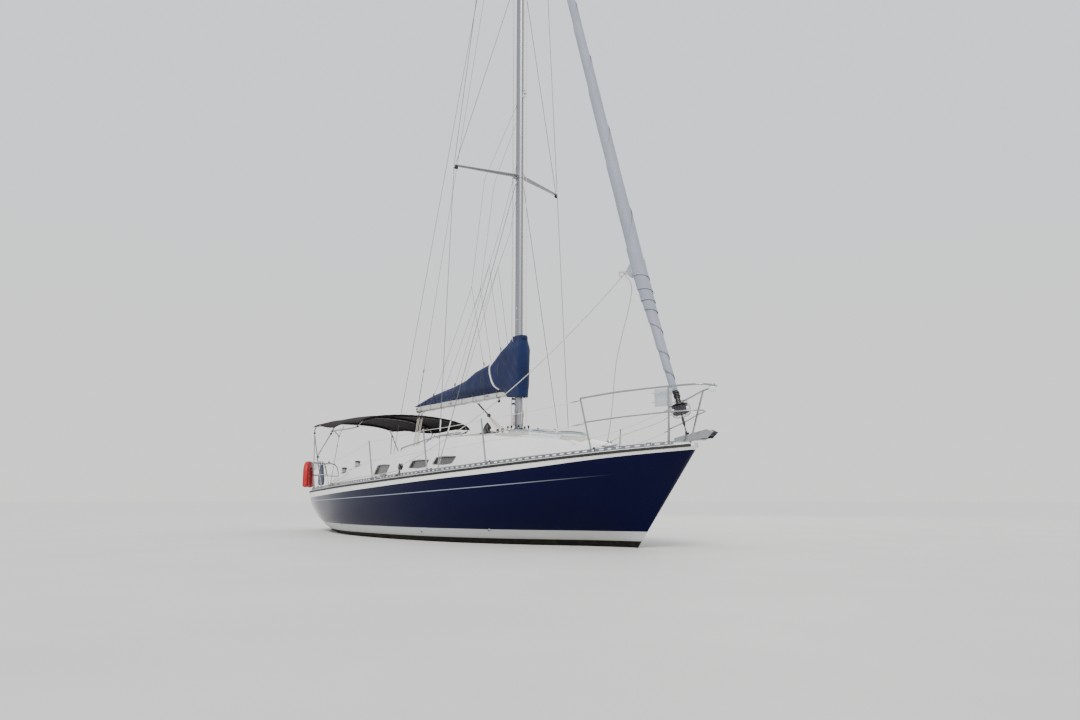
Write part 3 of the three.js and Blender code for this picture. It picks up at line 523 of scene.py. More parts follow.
# The hull's paint follows the sheer, so its height is measured from a curve along the boat
hullPaint = {
    "sheer": (0.825, 0.00945, 0.0040236), "aft": 5.1,
    "whiteBand": ((-5.1, 0.150), (-3.46, 0.140), (-0.54, 0.120), (1.0, 0.112), (2.94, 0.112),
                  (4.2, 0.086), (5.1, 0.080)),
    "coveLine": ((-5.1, 0.215), (-1.46, 0.248), (0.17, 0.270), (1.35, 0.284), (2.9, 0.298), (4.25, 0.300),
                 (5.1, 0.30)),
    "coveWidth": 0.011, "coveEnds": (-4.75, 4.25), "coveFade": 1.9, "bootLow": (0.070, 0.088),
             "bootWidth": 0.128,
    "navy": tone(1, 2, 42), "navyWorn": tone(4, 7, 52), "white": tone(226, 228, 226),
    "cove": tone(140, 150, 162), "antifouling": tone(24, 22, 24), "slime": tone(46, 48, 36),
    "inside": tone(214, 214, 208), "insideWorn": tone(178, 176, 166), "whiteWorn": tone(196, 192, 180),
    "boot": tone(182, 186, 186), "bootWorn": tone(140, 142, 124), "edge": 0.0012,
    # aft end, fore end, half width and floor of the cockpit, the saloon and the fore cabin
    "rooms": ((-4.1, -1.99, 0.80, 0.35), (-1.8, 1.15, 0.80, -0.15), (1.45, 2.75, 0.43, 0.40)),
}


def sheerAt(x):
    a, b, c = hullPaint["sheer"]
    run = x + hullPaint["aft"]
    return a + b * run + c * run * run


def hullFinish():
    made = Finish("hull_paint", coat=0.05, coatRough=0.05, gloss=0.08)
    x, y, z = made.axes()
    run = made.math("ADD", x, hullPaint["aft"])
    a, b, c = hullPaint["sheer"]
    sheer = made.sum(made.times(run, b), made.times(made.times(run, run), c), a)
    below = made.math("SUBTRACT", sheer, z)

    def tableNode(table):
        # the same table as a float curve, so that the band's edge is smooth along the boat
        curve = made.tree.nodes.new("ShaderNodeFloatCurve")
        line = curve.mapping.curves[0]
        low, high = table[0][0], table[-1][0]
        line.points[0].location = (0, table[0][1])
        line.points[1].location = (1, table[-1][1])
        for place, value in table[1:-1]:
            line.points.new((place - low) / (high - low), value)
        curve.mapping.update()
        made.plug(curve.inputs["Value"], rangeOf(low, high))
        return curve.outputs[0]

    def rangeOf(low, high):
        scale = made.tree.nodes.new("ShaderNodeMapRange")
        made.plug(scale.inputs["Value"], x)
        scale.inputs["From Min"].default_value = low
        scale.inputs["From Max"].default_value = high
        return scale.outputs[0]

    edge = hullPaint["edge"]
    white = tableNode(hullPaint["whiteBand"])
    navyPart = made.step(made.math("SUBTRACT", below, white), -edge, edge)
    cove = made.math("ABSOLUTE", made.math("SUBTRACT", below, tableNode(hullPaint["coveLine"])))
    covePart = made.step(cove, hullPaint["coveWidth"] / 2 + edge, hullPaint["coveWidth"] / 2 - edge)
    aftEnd, foreEnd = hullPaint["coveEnds"]
    covePart = made.times(covePart, made.times(made.step(x, aftEnd, aftEnd + 0.01),
                                               made.step(x, foreEnd, foreEnd - hullPaint["coveFade"])))
    low = made.step(x, -5, 5, hullPaint["bootLow"])
    height = made.math("SUBTRACT", z, low)
    bootPart = made.step(height, hullPaint["bootWidth"] + edge, hullPaint["bootWidth"] - edge)
    wetPart = made.step(height, edge, -edge)
    streaks = made.step(made.noise(7, 5, 0.65, (1, 1, 0.12)), 0.5, 0.78)
    scuffs = made.step(made.noise(3.1, 5, 0.7, (0.5, 0.5, 2.0)), 0.62, 0.75)
    navy = made.mix(made.times(made.sum(streaks, scuffs), 0.35), hullPaint["navy"], hullPaint["navyWorn"])
    paint = made.mix(covePart, navy, hullPaint["cove"])
    topWhite = made.mix(made.times(streaks, 0.4), hullPaint["white"], hullPaint["whiteWorn"])
    paint = made.mix(navyPart, topWhite, paint)
    stain = made.step(made.noise(5, 5, 0.7, (0.5, 0.5, 3)), 0.5, 0.8)
    bootWhite = made.mix(made.times(made.sum(stain, made.step(height, 0.04, 0.0)), 0.4),
                         hullPaint["boot"], hullPaint["bootWorn"])
    paint = made.mix(bootPart, paint, bootWhite)
    slime = made.step(made.noise(12, 6, 0.72), 0.42, 0.7)
    paint = made.mix(wetPart, paint, made.mix(made.times(slime, 0.7), hullPaint["antifouling"],
                                              hullPaint["slime"]))
    # the cockpit and the cabins are moulded white inside
    inside = 0.0
    for aft, fore, half, low in hullPaint["rooms"]:
        lengthIn = made.times(made.step(x, aft - 0.02, aft - 0.01), made.step(x, fore + 0.02, fore + 0.01))
        sideIn = made.step(made.math("ABSOLUTE", y), half + 0.02, half + 0.01)
        inside = made.sum(made.times(made.times(lengthIn, sideIn), made.step(z, low - 0.02, low - 0.01)),
                          inside)
    paint = made.mix(inside, paint, made.mix(made.times(streaks, 0.4), hullPaint["inside"],
                                             hullPaint["insideWorn"]))
    rough = made.sum(made.step(wetPart, 0, 1, (0.10, 0.8)), made.times(made.sum(streaks, scuffs), 0.10),
                     made.times(inside, 0.3))
    made.set(color=paint, rough=rough,
             normal=made.bump(made.sum(made.noise(1.6, 2), made.times(made.times(slime, wetPart), 0.3)),
                              0.003, 0.35))
    return made.material


def pane(name):
    # smoked acrylic with a dull, sun-crazed skin
    made = Finish(name, clear=0.35, ior=1.49, coat=0.4, coatRough=0.1)
    craze = made.step(made.cells(90, "DISTANCE_TO_EDGE"), 0.02, 0.0)
    haze = made.step(made.noise(2.5, 3), 0.4, 0.7)
    made.set(color=made.mix(made.times(haze, 0.5), tone(90, 88, 87), tone(102, 100, 98)),
             rough=made.sum(0.14, made.times(haze, 0.05), made.times(craze, 0.04)))
    return made.material


finish = {
    "hull": hullFinish(),
    "white": gelcoat("gelcoat_white", tone(224, 226, 226)),
    "pad": nonSkid("deck_pads", tone(196, 198, 194)),
    "alloy": metal("anodised_alloy", tone(146, 148, 154), 0.32),
    "boomAlloy": metal("boom_alloy", tone(214, 214, 212), 0.3, (2, 60, 60)),
    # rail alloy painted darker than bare alloy: painted shade, carried by the toe rails and the window
    # frames
    "rail": metal("rail_alloy_painted_shade", tone(122, 125, 132), 0.34, (2, 60, 60)),
    "steel": metal("polished_stainless", tone(158, 160, 164), 0.13, (14, 14, 14), 0.08, (0.8, 0.7, 0.55)),
    "wire": wire("stranded_wire"),
    "bronze": metal("propeller_bronze", tone(150, 118, 62), 0.36, (20, 20, 20), 0.2, (0.5, 0.62, 0.5)),
    "chrome": metal("chromed_bronze", tone(150, 152, 154), 0.12, (40, 40, 6), 0.06),
    "pane": pane("smoked_pane"),
    "black": plastic("black_plastic", tone(26, 26, 28)),
    "grey": plastic("grey_plastic", tone(120, 124, 128)),
    "board": plastic("blank_grey_board", tone(176, 182, 190), 0.45),
    "rubber": plastic("rub_strip", tone(22, 22, 24), 0.6, 120),
    "canopy": cloth("canopy_cloth", tone(15, 7, 8), tone(24, 13, 14), sheen=0.01),
    "cover": cloth("cover_cloth", tone(5, 19, 58), tone(11, 30, 74), sheen=0.12, fade=tone(18, 40, 86)),
    "tape": cloth("white_tape", tone(214, 214, 214), tone(232, 232, 230), 0.0007),
    "bag": cloth("bag_cloth", tone(84, 96, 116), tone(112, 122, 138)),
    # the roll's blue-grey is partly a grey UV strip and partly painted shade on white sailcloth
    "sailcloth": cloth("furled_sailcloth_uv_strip_and_shade", tone(138, 144, 158), tone(160, 166, 178), 0.0006, 0.62, 0.15,
                       fade=tone(126, 132, 148)),
    "rope": rope("sheet_rope", tone(206, 200, 186), tone(90, 100, 130)),
    "paleRope": rope("halyard_rope", tone(214, 210, 200), tone(150, 60, 56)),
    "darkRope": rope("control_rope", tone(52, 52, 58), tone(110, 110, 116)),
    "teak": wood("weathered_teak", tone(112, 84, 58), tone(160, 130, 98), 0.0, 0.6),
    "varnish": wood("varnished_wood", tone(96, 46, 18), tone(156, 92, 42), 0.8, 0.25),
    "foul": gelcoat("antifouling_paint", tone(26, 24, 26), 0.75, 0.2),
    "vinyl": plastic("red_vinyl", tone(176, 8, 10), 0.5, 700),
    "lens": plastic("clear_lens", tone(214, 218, 222), 0.12),
}
print("finishes made:", len(finish))


# CAD nodes keep their shapes: smooth skins and real finishes

def skinGroup(angle):
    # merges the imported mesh's split corners and keeps an edge sharp only where it really turns
    group = bpy.data.node_groups.new("smooth_skin_%d" % angle, "GeometryNodeTree")
    group.interface.new_socket("Geometry", in_out="INPUT", socket_type="NodeSocketGeometry")
    group.interface.new_socket("Geometry", in_out="OUTPUT", socket_type="NodeSocketGeometry")
    new, link = group.nodes.new, group.links.new
    start, end = new("NodeGroupInput"), new("NodeGroupOutput")
    weld = new("GeometryNodeMergeByDistance")
    faces, edges = new("GeometryNodeSetShadeSmooth"), new("GeometryNodeSetShadeSmooth")
    weld.inputs["Distance"].default_value = weldDistance
    faces.domain, edges.domain = "FACE", "EDGE"
    turn, test = new("GeometryNodeInputMeshEdgeAngle"), new("FunctionNodeCompare")
    test.data_type, test.operation = "FLOAT", "GREATER_THAN"
    test.inputs[1].default_value = math.radians(angle)
    edges.inputs["Shade Smooth"].default_value = False
    link(turn.outputs["Unsigned Angle"], test.inputs[0])
    link(start.outputs[0], weld.inputs["Geometry"])
    link(weld.outputs[0], faces.inputs["Geometry"])
    link(faces.outputs[0], edges.inputs["Geometry"])
    link(test.outputs[0], edges.inputs["Selection"])
    link(edges.outputs[0], end.inputs[0])
    return group


skins = {angle: skinGroup(angle) for angle in (28, 45)}


def dress(names, look, angle=28):
    for name in names.split():
        made = nodes[name]
        made.data.materials.clear()
        made.data.materials.append(finish[look])
        skin = made.modifiers.new("smoothSkin", "NODES")
        skin.node_group = skins[angle]


both = lambda stem: " ".join("%s_%s" % (stem, side) for side in sides)
dress("hull", "hull", 45)
dress("deck deck_aft coachroof", "white", 28)
dress(both("coaming"), "white", 45)
dress("companion_hatch", "white")
# the fore hatch lid's pale blue-grey board finish is a painted reflection of the sky on its top
dress("fore_hatch", "board")
dress(both("window_panes"), "pane")
dress("washboard", "varnish")
dress("keel rudder", "foul", 45)
dress("tiller", "varnish", 45)
dress("propeller shaft_bracket", "bronze", 45)
dress("mast lower_spreaders upper_spreaders", "alloy", 45)
dress("boom", "boomAlloy", 45)
for span in ("low", "middle", "high"):
    dress(both("cap_shroud_" + span), "wire", 45)
dress(both("intermediate_shroud") + " " + both("lower_shroud") + " forestay backstay", "wire", 45)
dress("furler_drum", "black", 45)
dress("bow_fitting pulpit " + both("pushpit"), "steel", 45)
dress("bow_roller", "black", 45)
for number in (1, 2, 3):
    dress(both("stanchion_%d" % number), "steel", 45)
for place in ("aft", "fore"):
    dress(both("winch_" + place), "chrome", 45)
for hoop in ("aft", "middle", "front"):
    dress("bimini_%s_hoop" % hoop, "steel", 45)
print("CAD nodes dressed")

# camera, light and floor

photo = {"place": (11.885, -7.728, 0.636), "heading": 52.3, "pitch": 9.9, "focal": 799.5, "width": 1080,
         "sensor": 36, "reach": 600}
camera = bpy.data.objects.new("camera", bpy.data.cameras.new("camera"))
camera.location = photo["place"]
camera.rotation_euler = (math.radians(90 + photo["pitch"]), 0, math.radians(photo["heading"]))
camera.data.sensor_width = photo["sensor"]
camera.data.lens = photo["sensor"] * photo["focal"] / photo["width"]
camera.data.clip_end = photo["reach"]
bpy.context.scene.collection.objects.link(camera)
bpy.context.scene.camera = camera

light = {
    "sky": (tone(226, 232, 240), 1.35), "horizon": tone(236, 235, 233),
    "sun": {"from": (12, -13, 15), "power": 2.6, "spread": 24, "color": tone(255, 248, 238)},
    "lamp": {"place": (-8, 15, 12), "aim": (0, 0, 2), "size": 10, "power": 700,
             "color": tone(255, 240, 224)},
}


def skyGradient():
    world = bpy.data.worlds.new("studio")
    bpy.context.scene.world = world
    world.use_nodes = True
    tree = world.node_tree
    color, strength = light["sky"]
    tree.nodes["Background"].inputs["Strength"].default_value = strength
    coords, split = tree.nodes.new("ShaderNodeTexCoord"), tree.nodes.new("ShaderNodeSeparateXYZ")
    ramp = tree.nodes.new("ShaderNodeValToRGB")
    ramp.color_ramp.elements[0].color = light["horizon"]
    ramp.color_ramp.elements[0].position = 0.0
    ramp.color_ramp.elements[1].color = color
    ramp.color_ramp.elements[1].position = 0.6
    tree.links.new(coords.outputs["Generated"], split.inputs[0])
    tree.links.new(split.outputs[2], ramp.inputs[0])
    tree.links.new(ramp.outputs[0], tree.nodes["Background"].inputs["Color"])


def placeLight(name, kind, place, aim, power, color):
    lamp = bpy.data.lights.new(name, kind)
    lamp.energy, lamp.color = power, color[:3]
    made = bpy.data.objects.new(name, lamp)
    made.location = place
    made.rotation_euler = (Vector(place) - Vector(aim)).to_track_quat("Z", "Y").to_euler()
    bpy.context.scene.collection.objects.link(made)
    return lamp


skyGradient()
sun = light["sun"]
placeLight("broad_sun", "SUN", sun["from"], (0, 0, 0), sun["power"],
           sun["color"]).angle = math.radians(sun["spread"])
lamp = light["lamp"]
placeLight("far_lamp", "AREA", lamp["place"], lamp["aim"], lamp["power"], lamp["color"]).size = lamp["size"]

floorSet = {"reach": 220, "inset": 0.006, "steps": 46, "color": tone(214, 213, 210)}


def waterline():
    # the hull's outline at the water, a little inside its skin
    skin = [onSide(x, 0.0, -1)[0] for x in np.linspace(-5.05, 5.05, 400)]
    xs = [p.x for p in skin if p.y < -0.02]
    low, high = min(xs) + 0.01, max(xs) - 0.01
    ring = []
    count = floorSet["steps"]
    for k in range(count + 1):
        x = between(low, high, 0.5 - 0.5 * math.cos(math.pi * k / count))
        ring.append(Vector((x, min(onSide(x, 0.0, -1)[0].y + floorSet["inset"], -0.004), 0)))
    return ring + [Vector((p.x, -p.y, 0)) for p in reversed(ring)]


def floorPiece():
    inner = waterline()
    shape = Shape()
    rings = []
    for grow in (0, 0.6, 2.5, 8, 30, floorSet["reach"]):
        ring = []
        for p in inner:
            out = Vector((p.x / 4.8, p.y * 0.6, 0)).normalized()
            ring.append(p + out * grow)
        rings.append(ring)
    shape.rings(rings, caps=False)
    made = Finish("studio_floor", rough=0.62, gloss=0.3)
    made.set(color=made.mix(made.step(made.noise(0.7, 3), 0.3, 0.7), floorSet["color"],
                            tone(209, 208, 205)),
             normal=made.bump(made.noise(40, 3), 0.002, 0.15))
    finish["floor"] = made.material
    piece = shape.piece("studio_floor", "floor", body=None, sharp=35)


floorPiece()
print("camera, lamps and floor set")


# furled headsail: one sail, really rolled up on its stay

stay = {"foot": (4.96, 0, 1.42), "head": (1.464, 0, 13.234)}
stayFoot, stayHead = Vector(stay["foot"]), Vector(stay["head"])
stayWay = (stayHead - stayFoot).normalized()
staySide = Vector((0, -1, 0))
stayFront = stayWay.cross(staySide)


def onStay(up, radius=0.0, angle=0.0):
    return stayFoot + stayWay * up + (staySide * math.cos(angle) + stayFront * math.sin(angle)) * radius


genoa = {
    "rows": 130, "perTurn": 26, "core": 0.030, "turn": 0.0088, "clew": 2.42, "head": 11.7,
    "sag": ((0, 0), (1.4, 0.048), (2.42, 0.088), (3.3, 0.085), (5, 0.080), (6.4, 0.071), (8.8, 0.052),
            (10.8, 0.028), (12.32, 0)),
    # size of the roll up the stay, from the tack to the clew and on to the head
    "foot": ((0.63, 0.050), (1.2, 0.067), (1.7, 0.078), (1.88, 0.087), (2.02, 0.096), (2.19, 0.104),
             (2.42, 0.113)),
    "leech": ((2.42, 0.113), (2.9, 0.103), (4.2, 0.096), (6.4, 0.082), (8.8, 0.063), (10.8, 0.046),
              (11.7, 0.0315)),
    "clewAngle": -0.9, "thick": 0.0011, "flat": (4.3, 11.1), "area": 25.5,
}


def onRoll(up, radius, angle):
    # the roll hangs a little aft of the straight line between the stay's ends
    belly = along(genoa["sag"], up)
    return onStay(up, radius, angle) - Vector((belly, 0, 0))


def rollRadius(up):
    return along(genoa["foot"] if up < genoa["clew"] else genoa["leech"], up)


def furledSail():
    core, pitch = genoa["core"], genoa["turn"] / (2 * math.pi)
    whole = (genoa["foot"][-1][1] - core) / pitch
    columns = int(whole / (2 * math.pi) * genoa["perTurn"])
    turns = [whole * k / columns for k in range(columns)]
    rows, places = [], []
    for i in range(genoa["rows"] + 1):
        row, marks = [], []
        for angle in turns:
            radius = core + pitch * angle
            low = along([(r, up) for up, r in genoa["foot"]], max(radius, genoa["foot"][0][1]))
            high = along([(r, up) for up, r in reversed(genoa["leech"])],
                         max(radius, genoa["leech"][-1][1]))
            # rows lie closer near both edges, where the cloth's folds are
            part = i / genoa["rows"]
            up = between(low, high, between(part, 0.5 - 0.5 * math.cos(math.pi * part), 0.5))
            turnAngle = whole - angle + genoa["clewAngle"] + 0.25 * math.sin((up - genoa["clew"]) * 0.9)
            left = (rollRadius(up) - radius) / genoa["turn"]
            outer = smooth(2.2, 0.2, left) if left < 2.2 else 0.0
            lump = noise.noise(Vector((up * 1.4, math.cos(turnAngle) * 1.2,
                                       math.sin(turnAngle) * 1.2))) * 0.0050
            crease = noise.noise(Vector((up * 7 + turnAngle * 1.3, turnAngle * 0.9, 3.7))) * 0.0022
            curl = 0.0022 * smooth(0.35, 0.0, left) if left < 0.35 else 0.0
            row.append(onRoll(up, radius + outer * (lump + crease) + curl, turnAngle))
            marks.append((core * angle + pitch * angle * angle / 2, up))
        rows.append(row)
        places.append(marks)
    # the sailcloth's blue-grey is partly painted shade
    sail = Shape().sheet(rows, places).piece("furled_sail", "sailcloth", sharp=60)
    thicken(sail, genoa["thick"], 0)
    # the corner pulled off the roll by its sheets, three layers thick
    roll, ring = rollRadius(genoa["clew"]), onRoll(genoa["clew"] + 0.09, 0.185, genoa["clewAngle"])
    rows = []
    for i in range(9):
        part = i / 8
        start = onRoll(genoa["clew"] + between(0.20, -0.04, part), roll * 0.97, genoa["clewAngle"] + 0.10)
        tip = ring + stayWay * between(0.016, -0.016, part)
        rows.append([start.lerp(tip, k / 6) - stayFront * 0.012 * math.sin(math.pi * k / 6)
                     for k in range(7)])
    corner = Shape().sheet(rows).piece("clew_patch", "sailcloth", sharp=60)
    thicken(corner, 0.005, 0)
    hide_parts("furled_genoa")
    return ring


clewRing = furledSail()
print("headsail rolled")

# sail cover: one cloth over boom and sail, wrapped round the mast

cover = {
    # matched points of the lower edge and of the top line, seen from the side
    "edge": ((-2.12, 2.440), (-1.6, 2.440), (-1.1, 2.440), (-0.6, 2.437), (-0.15, 2.434), (0.2, 2.430),
             (0.55, 2.430),
             (0.78, 2.428), (0.90, 2.424), (0.99, 2.405), (1.06, 2.352), (1.12, 2.306), (1.30, 2.290),
             (1.42, 2.286),
             (1.495, 2.285)),
    "top": ((-2.135, 2.462), (-1.51, 2.588), (-1.04, 2.648), (-0.6, 2.692), (-0.18, 2.765), (0.14, 2.880),
            (0.46, 2.938), (0.67, 2.968), (0.83, 3.085), (1.0, 3.190), (1.10, 3.270), (1.16, 3.322),
            (1.30, 3.322),
            (1.42, 3.320), (1.485, 3.316)),
    "tieFrom": 11, "frontSwell": 0.045,
    "half": ((-2.14, 0.058), (-1.5, 0.082), (-1.0, 0.103), (-0.5, 0.118), (0.0, 0.134), (0.5, 0.140),
             (0.8, 0.134),
             (1.0, 0.128), (1.3, 0.118), (1.5, 0.112)),
    "edgeHalf": 0.060, "rows": 190, "up": 30, "thick": 0.0016, "flat": (1.75, 3.75), "area": 4.6,
}
edgeLine = [Vector((x, 0, z)) for x, z in cover["edge"]]
topLine = [Vector((x, 0, z)) for x, z in cover["top"]]


def coverLines(count):
    # evenly spread pairs of points on the two lines
    run = np.concatenate([[0], np.cumsum([(a - b).length * 0.5 + (c - d).length * 0.5 for a, b, c, d in
                                          zip(edgeLine[1:], edgeLine, topLine[1:], topLine)])])
    at = np.linspace(0, run[-1], count)
    pick = lambda line: np.array([[float(np.interp(a, run, [p[k] for p in line])) for k in (0, 2)]
                                  for a in at])
    return pick(edgeLine), pick(topLine), at / run[-1]


def seamDistance(x, z):
    seam = [(p.x, p.z) for p in topLine[:cover["tieFrom"] + 1]]
    front = [(edgeLine[-1].x + 0.004, edgeLine[-1].z - 0.3), (1.532, 2.75), (1.545, 3.07),
             (topLine[-1].x + 0.004, 3.4)]
    best = 9.0
    for line in (seam, front):
        for (x0, z0), (x1, z1) in zip(line, line[1:]):
            dx, dz = x1 - x0, z1 - z0
            t = min(1.0, max(0.0, ((x - x0) * dx + (z - z0) * dz) / (dx * dx + dz * dz)))
            best = min(best, math.hypot(x - x0 - t * dx, z - z0 - t * dz))
    return best


def coverHalf(x, z, edgeZ, side):
    # how far the cloth stands off the boat's middle plane
    over = z - edgeZ
    half = along(cover["half"], x)
    onMast = smooth(0.95, 1.15, x)
    half = between(between(cover["edgeHalf"], half, smooth(0.0, 0.13, over)),
                   between(0.092, half, smooth(0.0, 0.30, over)), onMast)
    half = between(half, 0.071, smooth(3.08, 3.27, z))
    rounding = between(0.55 * half + 0.035, 0.115, onMast)
    part = min(1.0, seamDistance(x, z) / rounding)
    body = half * math.sqrt(max(0.0, 1 - (1 - part) ** 2))
    swell = noise.noise(Vector((x * 2.1, z * 2.6, side * 3))) * 0.013
    fold = noise.noise(Vector((x * 5 + z * 6, z * 3 - x * 4, 5 + side))) * 0.009 * smooth(0.05, 0.2, over)
    pucker = (math.sin(x * 47 + 4 * noise.noise(Vector((x * 3, 0, side)))) * 0.0055
              * math.exp(-over / 0.07) * (1 - onMast))
    gather = math.sin(x * 95 + side) * 0.004 * smooth(3.0, 3.25, z) * onMast
    drag = math.sin((z * 0.8 + x) * 38 + side * 2) * 0.0035 * onMast * smooth(2.3, 2.5,
            z) * (1 - smooth(2.9, 3.1, z))
    return max(body + (swell + fold + drag) * part + pucker + gather, 0.0)


def mainCover():
    low, high, marks = coverLines(cover["rows"])
    up = cover["up"]
    rows, places = [], []
    for (x0, z0), (x1, z1), mark in zip(low, high, marks):
        row = {1: [], -1: []}
        for side in (1, -1):
            for k in range(up + 1):
                part = 1 - (1 - k / up) ** 1.35 if x0 < 1.1 else k / up
                x, z = between(x0, x1, part), between(z0, z1, part)
                x += cover["frontSwell"] * smooth(0.92, 1.0,
                                                  mark) * math.sin(math.pi * min(1, max(0, part)))
                if x0 < 1.0:
                    z -= 0.010 * abs(math.sin(x * 5.2)) * part ** 3
                seam = 0.0 if (mark > 0.999 or (k == up and x1 < 1.14)) else 1.0
                half = coverHalf(x, z, z0, side) * seam
                if k == up and seam and x1 >= 1.14:
                    half = max(half, 0.001)
                row[side].append(Vector((x, side * half, z)))
        rows.append(row[-1] + list(reversed(row[1]))[1:] if x1 < 1.14 else row[-1] + list(reversed(row[1])))
    # the rows over the boom meet on the crown; round the mast they stay open at the top
    shape = Shape()
    meet = [r for r in rows if len(r) == 2 * up + 1]
    shape.sheet(meet + [[*rows[len(meet)][:up + 1], *rows[len(meet)][up + 2:]]],
                [[(row * 0.02, col * 0.02) for col in range(2 * up + 1)] for row in range(len(meet) + 1)])
    for part in (0, 1):
        wing = [r[:up + 1] if part == 0 else r[up + 1:] for r in rows[len(meet):]]
        shape.sheet(wing, [[((row + len(meet)) * 0.02, (col + part * up) * 0.02) for col in range(up + 1)]
                           for row in range(len(wing))])
    piece = shape.piece("sail_cover", "cover", None, sharp=70, weld=True)
    thicken(piece, cover["thick"])
    return piece


coverCloth = mainCover()
print("cover area", round(sum(p.area for p in coverCloth.data.polygons), 2))


def coverTrace(points, lift=0.0025, side=-1):
    # a line given from the side, laid on the cover's cloth
    low, high, _ = coverLines(160)
    path = []
    for x, z in points:
        near = min(range(len(low)), key=lambda i: abs(between(low[i][0], high[i][0],
                   min(1, max(0, (z - low[i][1]) / (high[i][1] - low[i][1] + 1e-6)))) - x))
        path.append(Vector((x, side * (coverHalf(x, z, low[near][1], side) + lift), z)))
    return path


coverTrim = {"tape": ((0.715, 2.972), (0.665, 2.93), (0.640, 2.87), (0.648, 2.79), (0.685, 2.69),
                      (0.735, 2.60),
                      (0.80, 2.52), (0.86, 2.47)), "tapeWidth": 0.030,
             "strapHigh": 3.268, "strapMiddle": 1.32, "strapReach": 0.185}


def coverTape():
    shape = Shape()
    for side in (-1, 1):
        flatPath = curveThrough([(x, 0, z) for x, z in coverTrim["tape"]], 40)
        path = coverTrace([(p.x, p.z) for p in flatPath], 0.003, side)
        shape.use(0).strip(path, coverTrim["tapeWidth"], 0.0022, (0, side, 0.15))
        beside = coverTrace([(p.x + 0.034, p.z) for p in flatPath], 0.002, side)
        shape.use(1).tube(beside, 0.0045, 7)
    return shape.piece("cover_tape", "tape bag", None, sharp=50)


tapePiece = coverTape()


def coverTies():
    # strap round the top, and the cords and hooks that hold the lower edge under the boom
    shape = Shape()
    high, middle = coverTrim["strapHigh"], coverTrim["strapMiddle"]
    strap = []
    for k in range(40):
        a = 2 * math.pi * k / 40
        x = middle + 0.002 + coverTrim["strapReach"] * math.cos(a)
        half = max(coverHalf(x, high, 2.29, -1 if math.sin(a) < 0 else 1), 0.004)
        strap.append(Vector((x, math.copysign(half + 0.003, math.sin(a)), high + 0.004 * math.sin(3 * a))))
    rings = [[p + Vector(((p.x - middle) * flare, math.copysign(abs(flare) * 0.07, p.y), dz))
              for p in strap]
             for flare, dz in ((0.0, -0.013), (0.02, -0.012), (0.02, 0.012), (0.0, 0.013))]
    shape.use(0).rings([list(r) for r in zip(*rings)], loop=True)
    for x in np.linspace(-1.85, 0.75, 8):
        boomTop = along(boomLine, x)
        edge = along(cover["edge"], x)
        path = []
        for k in range(15):
            a = math.pi * (k / 14) - math.pi / 2
            y = 0.0555 * math.sin(a)
            z = boomTop - 0.006 - 0.0615 * abs(math.cos(a)) ** 0.45
            path.append((x + 0.012 * math.sin(a * 2), y, z))
        path = [(x, -0.0625, edge + 0.012)] + path + [(x, 0.0625, edge + 0.012)]
        shape.use(1).tube(curveThrough(path, 34), 0.0028, 6)
        for side in (-1, 1):
            shape.use(2).turned((x, side * 0.0640, edge + 0.014), (0, side, 0.1),
                                ((-0.001, 0.003), (0, 0.008), (0.002, 0.0085), (0.003, 0.006),
                                 (0.0035, 0.004)), 12)
    return shape.piece("cover_ties", "cover darkRope steel", None)


tiesPiece = coverTies()
for piece in (coverCloth, tapePiece, tiesPiece):
    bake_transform(piece)
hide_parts("sail_cover_boom", "sail_cover_mast")
print("sail cover laid")

# cockpit canopy

canopySet = {"rows": 96, "across": 64, "hem": 0.022, "thick": 0.0016, "flat": (2.55, 3.05), "area": 7.1,
             "leastHalf": 0.9,
             "hoops": ((-4.98, "aft"), (-3.45, "middle"), (-2.11, "front")), "sag": 0.014}
canopyTree = treeOf("bimini_canopy")
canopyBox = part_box("bimini_canopy")


def canopyEdge():
    # half widths along the canopy; the sides of the backstay's slot lie inside the edge and are left out
    spots = [v.co for v in nodes["bimini_canopy"].data.vertices]
    keys = sorted({round(p.x, 2) for p in spots})
    table = [(key, max(abs(p.y) for p in spots if abs(p.x - key) < 0.011)) for key in keys]
    return [(key, half) for key, half in table if half > canopySet["leastHalf"]]


canopyWidths = canopyEdge()


def canopyZ(x, y):
    x = min(max(x, canopyBox[0].x + 0.006), canopyBox[1].x - 0.006)
    for inward in range(12):
        hit = canopyTree.ray_cast(Vector((x, y * (1 - 0.01 * inward), 4)), upBy(-1))
        if hit[0]:
            return hit[0].z
    return canopyBox[0].z


def canopyPoint(x, part):
    # part runs from -1 at starboard to 1 at port, over the crown
    half = along(canopyWidths, x)
    y = half * part
    inner = min(abs(y), half - 0.012)
    z = canopyZ(x, math.copysign(inner, y) if y else 0.0)
    over = max(0.0, abs(y) - (half - 0.05)) / 0.05
    z -= 0.020 * over ** 2
    near = min(abs(x - at) for at, _ in canopySet["hoops"])
    slack = smooth(0.05, 0.55, near)
    z -= canopySet["sag"] * slack * (1 - 0.5 * part * part)
    z += noise.noise(Vector((x * 2.3, y * 2.0, 1))) * 0.010 * slack
    z += noise.noise(Vector((x * 7.5, y * 2.2 + x * 2, 4))) * 0.005 * (0.3 + slack)
    pull = math.exp(-((x - canopyBox[1].x) / 0.25) ** 2) + math.exp(-((x - canopyBox[0].x) / 0.25) ** 2)
    z += math.sin(y * 34 + 3 * noise.noise(Vector((y * 3, x, 2)))) * 0.0022 * pull
    return Vector((x, y, z))


